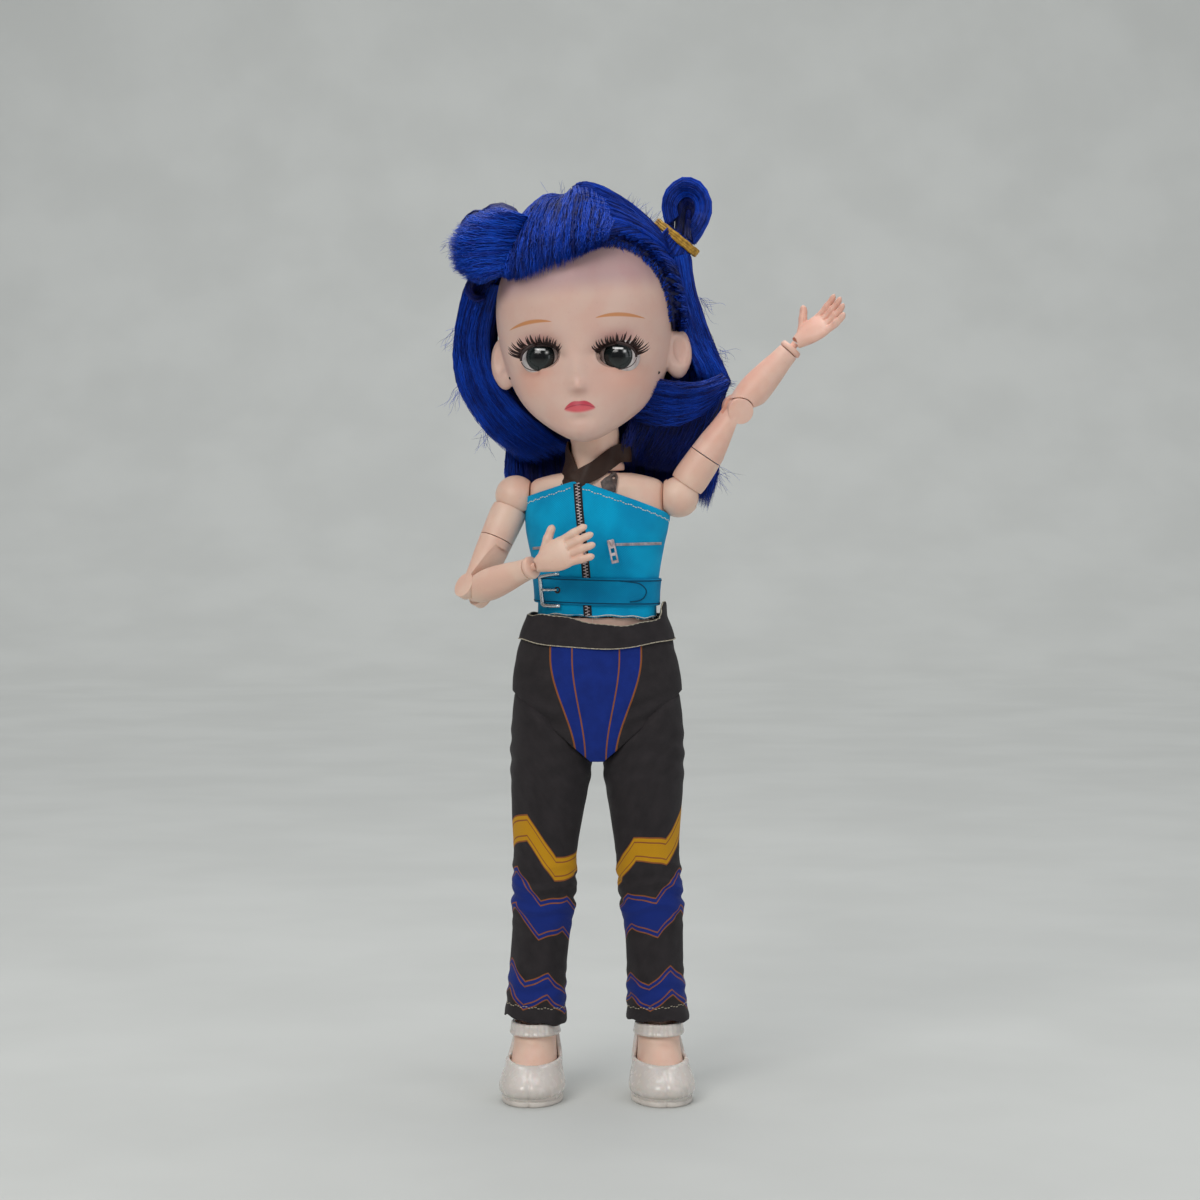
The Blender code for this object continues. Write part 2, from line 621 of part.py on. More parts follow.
def chest_form():
    rings = []
    for row in CHEST_SHARES:
        z = row[0] * CHEST_HEIGHT
        rings.append(oval(max(z, GAP), *chest_section(z), TORSO_SIDES))
    return loft(rings)


chest_front = piece("chest_front", chest_form(), waist_at, SKIN)
chest_back = piece("chest_back", chest_form(), waist_at, SKIN)
shoulder_rise = CHEST_HEIGHT - SHOULDER_DROP
block = 2 * CHEST_HEIGHT
front_half = tool("front half", box((block, block, 3 * block), (0, -block / 2 + GAP / 2, 0)), waist_at)
back_half = tool("back half", box((block, block, 3 * block), (0, block / 2 - GAP / 2, 0)), waist_at)
cut(chest_front, back_half)
cut(chest_back, front_half)
flats = []
for side in (1, -1):
    outside = side * (CHEST_WIDTH / 2 + block / 2)
    flats.append(tool("shoulder flat", box((block, block, block), (outside, 0, block / 2)), waist_at))
    start = side * (CHEST_WIDTH / 2 - SHOULDER_PEG_LENGTH - GAP)
    end = side * (CHEST_WIDTH / 2 + OVERRUN)
    bore = rod(SHOULDER_PEG_RADIUS + GAP, (start, 0, shoulder_rise), (end, 0, shoulder_rise))
    flats.append(tool("shoulder bore", bore, waist_at))
neck_bore = rod(NECK_PEG_RADIUS + GAP, (0, 0, -NECK_PEG_LENGTH - GAP), (0, 0, OVERRUN), LIMB_SIDES)
flats.append(tool("neck bore", neck_bore, neck_at))
neck_seat = rod(NECK_FOOT_RADIUS + 2 * GAP, (0, 0, 0), (0, 0, OVERRUN), LIMB_SIDES)
flats.append(tool("neck seat", neck_seat, neck_at))
axle_bore = rod(WAIST_PEG_RADIUS + GAP, (0, 0, -OVERRUN), (0, 0, WAIST_PEG_LENGTH), LIMB_SIDES)
flats.append(tool("waist bore", axle_bore, waist_at))
head_low = WAIST_PEG_LENGTH - WAIST_HEAD_HEIGHT - GAP
head_room = rod(WAIST_HEAD_RADIUS + GAP, (0, 0, head_low), (0, 0, WAIST_PEG_LENGTH + GAP), LIMB_SIDES)
flats.append(tool("waist head room", head_room, waist_at))
for half in (chest_front, chest_back):
    cut(half, *flats)

waist_profile = (
    (0, WAIST_PEG_LENGTH), (WAIST_HEAD_RADIUS, WAIST_PEG_LENGTH),
    (WAIST_HEAD_RADIUS, WAIST_PEG_LENGTH - WAIST_HEAD_HEIGHT),
    (WAIST_PEG_RADIUS, WAIST_PEG_LENGTH - WAIST_HEAD_HEIGHT), (WAIST_PEG_RADIUS, -WAIST_PEG_LENGTH),
    (0, -WAIST_PEG_LENGTH),
)
spun("waist_axle", waist_profile, waist_at, SKIN, LIMB_SIDES)

# Pelvis
pelvis_height = WAIST_RISE - GAP + CROTCH_DROP


def pelvis_section(z, extra=0.0):
    wide, front, back = between(PELVIS_SHARES, min(max((z + CROTCH_DROP) / pelvis_height, 0.0), 1.0))
    return (
        wide * PELVIS_WIDTH / 2 + extra,
        front * PELVIS_DEPTH / 2 + extra,
        back * PELVIS_DEPTH / 2 + extra,
    )


pelvis_rings = []
for row in PELVIS_SHARES:
    z = row[0] * pelvis_height - CROTCH_DROP
    pelvis_rings.append(oval(z, *pelvis_section(z), TORSO_SIDES))
pelvis = piece("pelvis", loft(pelvis_rings), pelvis_at, SKIN)
pelvis_cuts = []
hollow = THIGH_TOP_RADIUS + 3 * GAP
for side in (1, -1):
    hip = Vector((side * HIP_X, 0, 0))
    out = Vector((side * PELVIS_WIDTH, 0, 0))
    wide = 2 * hollow - GAP
    front_size = (wide, PELVIS_DEPTH, PELVIS_DEPTH + hollow)
    front_box = box(front_size, hip + Vector((0, OVERRUN - PELVIS_DEPTH / 2, (hollow - PELVIS_DEPTH) / 2)))
    back_place = Matrix.Translation(hip) @ turned("X", HIP_BACK_SWING)
    back_size = (wide - GAP, hollow + OVERRUN, PELVIS_DEPTH)
    back_box = box(back_size, (0, (hollow - OVERRUN) / 2, -PELVIS_DEPTH / 2 - 2 * GAP))
    pelvis_cuts += [
        tool("hip hollow", ball(hollow, HOLLOW_SIDES, hip), pelvis_at),
        tool("hip side", rod(hollow + GAP, hip, hip + out, BALL_SIDES), pelvis_at),
        tool("hip front", front_box, pelvis_at),
        tool("hip back", back_box, pelvis_at, back_place),
    ]
for side in (1, -1):
    boss_room = rod(HIP_BOSS_RADIUS + GAP, (side * CROTCH_WALL / 2, 0, 0), (side * HIP_X, 0, 0))
    pelvis_cuts.append(tool("hip boss room", boss_room, pelvis_at))
pelvis_cuts.append(tool("hip axle bore", rod(HIP_PEG_RADIUS + GAP, (-HIP_X, 0, 0), (HIP_X, 0, 0)), pelvis_at))
lower_bore = rod(WAIST_PEG_RADIUS + GAP, (0, 0, -WAIST_PEG_LENGTH - GAP), (0, 0, OVERRUN), LIMB_SIDES)
pelvis_cuts.append(tool("waist bore", lower_bore, waist_at))
cut(pelvis, *pelvis_cuts)

# Neck
neck_profile = [
    (NECK_BALL * math.sin(math.radians(turn)), NECK_LENGTH + NECK_BALL * math.cos(math.radians(turn)))
    for turn in NECK_BALL_TURNS
]
neck_profile += [
    (NECK_WAIST_RADIUS, NECK_LENGTH - NECK_BALL * NECK_WAIST_SHARE),
    (NECK_RADIUS, NECK_LENGTH * NECK_TOP_SHARE), (NECK_RADIUS, NECK_LENGTH * NECK_LOW_SHARE),
    (NECK_FOOT_RADIUS, NECK_FOOT_HEIGHT), (NECK_FOOT_RADIUS, GAP),
    (NECK_PEG_RADIUS, GAP), (NECK_PEG_RADIUS, -NECK_PEG_LENGTH), (0, -NECK_PEG_LENGTH),
]
spun("neck", neck_profile, neck_at, SKIN, NECK_SIDES)
inner_ball = NECK_BALL + GAP
socket_wide = math.sqrt(inner_ball**2 - SOCKET_DROP**2)
socket_profile = (
    (0, SOCKET_RISE), (SOCKET_RADIUS, SOCKET_RISE), (SOCKET_RADIUS, -SOCKET_DROP), (0, -SOCKET_DROP),
)
socket = spun("head_socket", socket_profile, head_at, SKIN, LIMB_SIDES)
cut(socket, tool("socket ball", ball(inner_ball + GAP / 2, SEAT_SIDES), head_at))
mouth = rod(socket_wide + GAP, (0, 0, -SOCKET_DROP - OVERRUN), (0, 0, BITE - SOCKET_DROP), SEAT_SIDES)
cut(socket, tool("socket mouth", mouth, head_at))


# Head
def head_section(z, extra=0.0):
    wide, front, back = between(HEAD_SHARES, min(max((z + CHIN_DROP) / HEAD_HEIGHT, 0.0), 1.0))
    middle = (front + back) / 2 * HEAD_DEPTH
    deep = max((back - front) / 2 * HEAD_DEPTH + extra, GAP)
    return max(wide * HEAD_WIDTH / 2 + extra, GAP), middle - deep, middle + deep


def head_point(z, angle, extra=0.0, relief=True):
    half_width, front, back = head_section(z, extra)
    middle = (front + back) / 2
    x = half_width * math.cos(angle)
    y = middle + (back - front) / 2 * math.sin(angle)
    if relief and math.sin(angle) < 0:
        share = (z + CHIN_DROP) / HEAD_HEIGHT
        for across, up, push, wide, tall in FACE_RELIEF_SHARES:
            off = ((x / (HEAD_WIDTH / 2) - across) / wide) ** 2 + ((share - up) / tall) ** 2
            y -= push * HEAD_DEPTH * math.exp(-off)
    return (x, y, z)


def head_form(extra, rows, sides, relief=True, lift=0.0):
    rings = []
    for i in range(rows):
        share = (1 - math.cos(math.pi * i / (rows - 1))) / 2
        z = share * HEAD_HEIGHT - CHIN_DROP
        stretch = (2 * share - 1) * extra
        ring = []
        for j in range(sides):
            x, y, _ = head_point(z, 2 * math.pi * j / sides, extra, relief)
            across = (abs(x) / HEAD_WIDTH - LOBE_PLACE_SHARE) / LOBE_SPREAD_SHARE
            lobe = math.exp(-(across**2)) * max(2 * share - 1, 0) ** 2
            ring.append((x, y, z + stretch + lift * lobe))
        rings.append(ring)
    return loft(rings)


ear_tools = []
for side in (1, -1):
    half_width = head_section(EAR_RISE)[0]
    place = Matrix.Translation((side * half_width, EAR_BACK, EAR_RISE)) @ turned("Z", side * EAR_LEAN)
    scale = (EAR_THICKNESS / EAR_HEIGHT, EAR_WIDTH / EAR_HEIGHT, 1)
    ear_tools.append((place, side, scale))

face = piece("head_face", head_form(0.0, HEAD_ROWS, HEAD_SIDES), head_at, SKIN)
head_back = piece("head_back", head_form(0.0, HEAD_ROWS, HEAD_SIDES), head_at, SKIN)
for place, side, scale in ear_tools:
    join(face, tool("ear", ball(EAR_HEIGHT / 2, BALL_SIDES, scale=scale), head_at, place))
    dent = Matrix.Translation((side * EAR_THICKNESS * EAR_CUP_OUT_SHARE, -EAR_WIDTH * EAR_CUP_FRONT_SHARE, 0))
    cup = ball(EAR_HEIGHT / 2 * EAR_CUP_SHARE, PEG_SIDES, scale=EAR_CUP_FORM_SHARES)
    cut(face, tool("ear cup", cup, head_at, place @ dent))
cavity_form = head_form(-SKULL_WALL, CAVITY_ROWS, SEAT_SIDES, relief=False)
cavity = tool("head cavity", cavity_form, head_at)
boss = rod(SOCKET_RADIUS + SOCKET_WALL, (0, 0, -HEAD_HEIGHT), (0, 0, SOCKET_RISE + GAP), LIMB_SIDES)
cut(cavity, tool("socket boss", boss, head_at))
socket_bore = rod(SOCKET_RADIUS + GAP, (0, 0, -HEAD_HEIGHT), (0, 0, SOCKET_RISE + OVERRUN), LIMB_SIDES)
socket_cut = tool("socket bore", socket_bore, head_at)
half = 2 * HEAD_HEIGHT
behind = tool("behind the seam", box((half, half, half), (0, HEAD_SPLIT + half / 2 - GAP / 2, 0)), head_at)
before = tool("before the seam", box((half, half, half), (0, HEAD_SPLIT - half / 2 + GAP / 2, 0)), head_at)
for obj, other in ((face, behind), (head_back, before)):
    cut(obj, cavity, socket_cut, other)
for side, label in ((1, "left"), (-1, "right")):
    eye_at = Vector((side * EYE_SPACING / 2, -EYE_DEPTH, EYE_HEIGHT))
    cut(face, tool("eye room", ball(EYE_RADIUS + 2 * GAP, ROOM_SIDES, eye_at), head_at))
    slit_place = Matrix.Translation(eye_at) @ Matrix.Diagonal((1, 1, EYE_SLIT_HEIGHT / EYE_SLIT_WIDTH, 1))
    slit = rod(EYE_SLIT_WIDTH / 2, (0, 0, 0), (0, -HEAD_DEPTH, 0), SLIT_SIDES)
    cut(face, tool("eye slit", slit, head_at, slit_place))
    eye = piece("eye_" + label, ball(EYE_RADIUS, ROOM_SIDES, eye_at), head_at, EYES)
    back_y = eye_at.y + EYE_BACK_SHARE * EYE_RADIUS + EYE_RADIUS + OVERRUN / 2
    eye_back = box([2 * EYE_RADIUS + OVERRUN] * 3, (eye_at.x, back_y, eye_at.z))
    cut(eye, tool("eye back", eye_back, head_at))
    outer_rings = []
    for step in range(LASH_STEPS + 1):
        angle = math.radians(LASH_START + (180 - 2 * LASH_START) * step / LASH_STEPS)
        ring = []
        for reach, thick in ((0, 0), (0, 1), (1, 1), (1, 0)):
            inset = GAP + (1 - thick) * LASH_THICKNESS
            x = (EYE_SLIT_WIDTH / 2 - inset) * math.cos(angle)
            z = (EYE_SLIT_HEIGHT / 2 - inset) * math.sin(angle)
            deep = math.sqrt((EYE_RADIUS + GAP) ** 2 - min(x * x + z * z, EYE_RADIUS**2))
            y = eye_at.y - deep - reach * (LASH_ROOT + LASH_REACH)
            ring.append((eye_at.x + x, y, eye_at.z + z + reach * LASH_LIFT))
        outer_rings.append(ring)
    piece("lash_" + label, loft(outer_rings), head_at, LASHES)

# Hair
cap_form = head_form(HAIR_THICKNESS, HAIR_ROWS, HAIR_SIDES, relief=False, lift=HAIR_LOBE)
cap = piece("hair_cap", cap_form, head_at, HAIR)
skull_room = tool("skull room", head_form(3 * GAP, HAIR_ROWS, HAIR_SIDES), head_at)
brow = Vector((0, -BROW_SHARE * HEAD_DEPTH, HAIRLINE_SHARE * HEAD_HEIGHT - CHIN_DROP))
below_line = Matrix.Translation(brow) @ turned("X", -HAIRLINE_TILT)
hair_block = 3 * HEAD_HEIGHT
under = tool("under the hairline", box([hair_block] * 3, (0, 0, -hair_block / 2)), head_at, below_line)
cut(cap, skull_room, under)
for place, side, scale in ear_tools:
    room_scale = (scale[0] * EAR_ROOM_SHARE, scale[1] * EAR_ROOM_SHARE, 1)
    ear_room = ball(EAR_HEIGHT / 2 + 2 * GAP, BALL_SIDES, scale=room_scale)
    cut(cap, tool("ear room", ear_room, head_at, place))
fringe = piece("hair_fringe", head_form(FRINGE_THICKNESS, HAIR_ROWS, HAIR_SIDES, relief=False), head_at, HAIR)
over = tool("over the hairline", box([hair_block] * 3, (0, 0, hair_block / 2 - GAP)), head_at, below_line)
edge = Matrix.Translation(brow - Vector((0, 0, FRINGE_DROP))) @ turned("Y", -FRINGE_TILT)
under_edge = tool("under the fringe", box([hair_block] * 3, (0, 0, -hair_block / 2)), head_at, edge)
temple = hair_block / 2 - TEMPLE_SHARE * HEAD_DEPTH
rear = tool("behind the fringe", box([hair_block] * 3, (0, temple, 0)), head_at)
cut(fringe, skull_room, over, under_edge, rear)

cap_room_form = head_form(HAIR_THICKNESS + 2 * GAP, HAIR_ROWS, HAIR_SIDES, relief=False, lift=HAIR_LOBE)
cap_room = tool("cap room", cap_room_form, head_at)
tail_top = TAIL_TOP_SHARE * HEAD_HEIGHT - CHIN_DROP
for side, label, shares in ((1, "left", LEFT_TAIL_SHARES), (-1, "right", RIGHT_TAIL_SHARES)):
    rings = []
    for down, out, back, wide, deep in shares:
        z = tail_top - down * TAIL_LENGTH
        half_deep = deep * TAIL_DEPTH / 2
        place = (side * out * TAIL_LENGTH, back * TAIL_LENGTH)
        rings.append(oval(z, wide * TAIL_WIDTH / 2, half_deep, half_deep, TAIL_SIDES, *place))
    tail = piece("hair_tail_" + label, loft(rings), head_at, HAIR)
    cut(tail, cap_room)
    root_x = LOOP_ROOT_SHARES[0] * HEAD_WIDTH
    root_y = LOOP_ROOT_SHARES[1] * HEAD_DEPTH
    root_z = LOOP_ROOT_SHARES[2] * HEAD_HEIGHT - CHIN_DROP
    loop_lean = turned("Y", side * LOOP_LEAN)
    loop_turn = turned("Z", 0.0 if side > 0 else RIGHT_LOOP_TURN)
    loop_at = joint("loop_frame_" + label, head_at, (side * root_x, root_y, root_z), loop_lean, loop_turn)
    middle_z = LOOP_STEM + LOOP_LENGTH / 2
    stem = rod(BAND_RADIUS - BAND_THICKNESS - GAP, (0, 0, LOOP_START), (0, 0, LOOP_STEM + BITE), LIMB_SIDES)
    loop_piece = piece("hair_loop_" + label, stem, loop_at, HAIR)
    rings = []
    for i in range(LOOP_STEPS):
        angle = 2 * math.pi * i / LOOP_STEPS
        ring = []
        for j in range(LOOP_SIDES):
            around = 2 * math.pi * j / LOOP_SIDES
            reach = LOOP_THICKNESS * math.cos(around)
            ring.append((
                (LOOP_RADIUS + reach) * math.cos(angle),
                LOOP_THICKNESS * math.sin(around),
                middle_z + (LOOP_LENGTH / 2 + reach) * math.sin(angle),
            ))
        rings.append(ring)
    join(loop_piece, tool("hair loop", closed_loop(rings), loop_at))
    cut(loop_piece, cap_room)
    rings = []
    for i in range(LIMB_SIDES):
        angle = 2 * math.pi * i / LIMB_SIDES
        ring = []
        for j in range(BAND_STEPS):
            around = 2 * math.pi * j / BAND_STEPS
            reach = BAND_RADIUS + BAND_THICKNESS * math.cos(around)
            z = BAND_AT + BAND_THICKNESS * math.sin(around)
            ring.append((reach * math.cos(angle), reach * math.sin(angle), z))
        rings.append(ring)
    piece("hair_band_" + label, closed_loop(rings), loop_at, ELASTIC)


# Halter top, belt and straps
def top_rim(angle):
    """Height of the neckline: a peak in front, falling to the sides and level round the back."""
    front = max(-math.sin(angle), 0.0)
    return TOP_SIDE_RISE + (TOP_FRONT_RISE - TOP_SIDE_RISE) * front**NECKLINE_POWER


def around_chest(z, angle, extra):
    half_width, front, back = chest_section(z, extra)
    deep = back if math.sin(angle) > 0 else front
    return (half_width * math.cos(angle), deep * math.sin(angle), z)


def chest_wall(low, high, inside, outside, rows):
    columns = []
    for extra in (outside, inside):
        column = []
        for i in range(rows):
            ring = []
            for j in range(TORSO_SIDES):
                angle = 2 * math.pi * j / TORSO_SIDES
                z = low + (high(angle) - low) * i / (rows - 1)
                ring.append(around_chest(z, angle, extra))
            column.append(ring)
        columns.append(column)
    return wall(*columns)


piece("halter_top", chest_wall(TOP_HEM, top_rim, TOP_SLACK, TOP_SLACK + CLOTH, TOP_ROWS), waist_at, TEAL)
belt_inside = TOP_SLACK + CLOTH + GAP
belt_top = BELT_BOTTOM + BELT_HEIGHT
belt_outside = belt_inside + BELT_THICKNESS
belt_form = chest_wall(BELT_BOTTOM, lambda angle: belt_top, belt_inside, belt_outside, BELT_ROWS)
belt = piece("belt", belt_form, waist_at, TEAL)
buckle_turn = turned("Z", -BUCKLE_ANGLE)
buckle_rise = BELT_BOTTOM + BELT_HEIGHT / 2
buckle_x, buckle_y, _ = around_chest(buckle_rise, math.radians(-90 - BUCKLE_ANGLE), belt_outside)
buckle_place = Matrix.Translation((buckle_x, buckle_y, buckle_rise)) @ buckle_turn
buckle_size = (BUCKLE_WIDTH, 2 * BUCKLE_THICKNESS, BUCKLE_HEIGHT)
buckle = tool("buckle", box(buckle_size), waist_at, buckle_place)
hole_width = BUCKLE_WIDTH - 2 * BUCKLE_THICKNESS
buckle_hole_size = (hole_width, 4 * BUCKLE_THICKNESS, BUCKLE_HEIGHT - 2 * BUCKLE_THICKNESS)
cut(buckle, tool("buckle hole", box(buckle_hole_size), waist_at, buckle_place))
rings = []
for z in (0, BELT_BOTTOM, belt_top, belt_top + OVERRUN):
    rings.append([around_chest(z, 2 * math.pi * j / TORSO_SIDES, belt_inside) for j in range(TORSO_SIDES)])
cut(buckle, tool("room inside the belt", loft(rings), waist_at))
join(belt, buckle)


def ribbon(name, path, parent, look):
    """A flat strap along a path of (point, outward normal)."""
    rings = []
    for i, (point, normal) in enumerate(path):
        ahead = path[min(i + 1, len(path) - 1)][0] - path[max(i - 1, 0)][0]
        normal = normal.normalized()
        across = ahead.cross(normal).normalized() * STRAP_WIDTH / 2
        lift = normal * STRAP_THICKNESS
        rings.append([point - across, point + across, point + across + lift, point - across + lift])
    return piece(name, loft(rings), parent, look)


for side, label, layer in ((1, "left", GAP), (-1, "right", 10 * GAP + STRAP_THICKNESS)):
    path = []
    for step in range(STRAP_STEPS):
        turn, rise, out = between(STRAP_SHARES, step / (STRAP_STEPS - 1))
        angle = math.radians(-90 + side * 180 * turn)
        z = CHEST_HEIGHT + rise * STRAP_RISE
        if rise < 0:
            half_width, front, back = chest_section(z, STRAP_LIFT + layer)
            normal = Vector((math.cos(angle), math.sin(angle), STRAP_LEAN_LOW))
        else:
            half_width = front = back = out * NECK_FOOT_RADIUS + GAP + layer
            normal = Vector((math.cos(angle), math.sin(angle), STRAP_LEAN_HIGH))
        deep = back if math.sin(angle) > 0 else front
        path.append((Vector((half_width * math.cos(angle), deep * math.sin(angle), z)), normal))
    ribbon("halter_strap_" + label, path, waist_at, RIBBON)


# Leggings over the hips, and their waistband
hips_bottom = -CROTCH_DROP - LEGGING_SLACK - CLOTH
hips_top = WAIST_RISE - BAND_HEIGHT - 2 * GAP


def hips_section(z, extra=0.0):
    share = (z - hips_bottom) / (WAIST_RISE - hips_bottom)
    wide, front, back = between(HIPS_SHARES, min(max(share, 0.0), 1.0))
    return (
        wide * HIPS_WIDTH / 2 + extra,
        front * HIPS_DEPTH / 2 + extra,
        back * HIPS_DEPTH / 2 + extra,
    )


def hips_form(low, high, extra, rows):
    rings = []
    for i in range(rows):
        z = low + (high - low) * i / (rows - 1)
        rings.append(oval(z, *hips_section(z, extra), TORSO_SIDES))
    return loft(rings)


hips = piece("leggings_hips", hips_form(hips_bottom, hips_top, 0.0, HIPS_ROWS), pelvis_at, BLACK)
cut(hips, tool("hips room", hips_form(hips_bottom + CLOTH, hips_top + OVERRUN, -CLOTH, HIPS_ROWS), pelvis_at))
band_low = hips_top + GAP
band_high = WAIST_RISE - GAP
band_middle = (band_low + band_high) / 2
columns = []
for extra in (BAND_SLACK, BAND_SLACK - CLOTH):
    heights = (band_low, band_middle, band_high)
    columns.append([oval(z, *hips_section(z, extra), TORSO_SIDES) for z in heights])
piece("waistband", wall(*columns), pelvis_at, BLACK)


# Hinges of the elbows and knees
def fork(obj, label, parent, drop, radius, width, tongue, tongue_radius, pin, facing, tilt, side_name):
    """Cuts a limb's lower end for a hinge: a notch on the bending side, a knuckle, a slot and a pin bore."""
    cut(obj, corner(4 * radius, tilt, facing, drop, 6 * radius, label + " notch", parent))
    knuckle = rod(radius, (-width / 2, 0, -drop), (width / 2, 0, -drop), HINGE_SIDES)
    join(obj, tool(label + " knuckle", knuckle, parent))
    slot_top = tongue_radius + 2 * GAP
    slot_size = (tongue + 2 * GAP, 6 * radius, slot_top + 2 * radius)
    slot_middle = (0, 0, -drop + slot_top - slot_size[2] / 2)
    cut(obj, tool(label + " slot", box(slot_size, slot_middle), parent))
    cut(obj, tool(label + " bore", rod(pin + GAP, (-width, 0, -drop), (width, 0, -drop)), parent))
    pin_half = width / 2 - GAP
    return piece(side_name, rod(pin, (-pin_half, 0, -drop), (pin_half, 0, -drop)), parent, STEEL)


def tongued(obj, label, parent, radius, tongue, tongue_radius, pin, facing, tilt):
    """Cuts the upper end of a limb for the same hinge, and adds its tongue."""
    over = rod(radius + GAP, (-2 * radius, 0, 0), (2 * radius, 0, 0), HINGE_SIDES)
    cut(obj, tool(label + " room", over, parent))
    cut(obj, corner(4 * radius, tilt, facing, 0, 6 * radius, label + " notch", parent))
    tongue_end = rod(tongue_radius, (-tongue / 2, 0, 0), (tongue / 2, 0, 0), SEAT_SIDES)
    join(obj, tool(label + " tongue", tongue_end, parent))
    stalk_size = (tongue, 1.5 * tongue_radius, radius + BITE + TONGUE_ROOT)
    join(obj, tool(label + " stalk", box(stalk_size, (0, 0, -stalk_size[2] / 2)), parent))
    cut(obj, tool(label + " bore", rod(pin + GAP, (-tongue, 0, 0), (tongue, 0, 0)), parent))


def ball_slot(obj, label, parent, tongue, half_width, reach):
    """Opens a ball downwards and outwards for the tongue of a limb, and leaves a pin across the slot."""
    side = 1 if label.endswith("left") else -1
    inner = half_width * SLOT_INNER_SHARE
    size = (reach + inner, tongue + 2 * GAP, reach + half_width + GAP)
    middle = (side * (reach - inner) / 2, 0, (half_width + GAP - reach) / 2)
    cut(obj, tool(label + " slot", box(size, middle), parent))
    join(obj, tool(label + " pin", rod(PIVOT_PIN_RADIUS, (0, -tongue, 0), (0, tongue, 0)), parent))


def ball_tongue(obj, label, parent, tongue, half_width, radius):
    """The tongue that reaches from a limb into its ball, with a bore for the pin."""
    tongue_end = rod(half_width, (0, -tongue / 2, 0), (0, tongue / 2, 0), HIDDEN_SIDES)
    join(obj, tool(label + " tongue end", tongue_end, parent))
    stalk = (2 * half_width, tongue, radius + BITE + TONGUE_ROOT)
    join(obj, tool(label + " tongue", box(stalk, (0, 0, -stalk[2] / 2)), parent))
    pivot_bore = rod(PIVOT_PIN_RADIUS + GAP, (0, -tongue, 0), (0, tongue, 0))
    cut(obj, tool(label + " pivot bore", pivot_bore, parent))


# Legs
def foot_rings(extra, low, high):
    rings = []
    for share, wide, front, back in FOOT_SHARES:
        z = min(max((share - 1) * FOOT_HEIGHT, low), high)
        half_length = (front * FOOT_FRONT + back * FOOT_BACK) / 2
        middle = (back * FOOT_BACK - front * FOOT_FRONT) / 2
        ring = []
        for i in range(FOOT_SIDES):
            angle = 2 * math.pi * i / FOOT_SIDES
            lean = 1 - HEEL_TAPER_SHARE * (1 - math.cos(angle) ** 2) * (math.sin(angle) > 0)
            x = (wide * FOOT_WIDTH / 2 * lean + extra) * math.cos(angle)
            y = middle + (half_length + extra) * math.sin(angle)
            ring.append((x, y, z))
        rings.append(ring)
    return rings


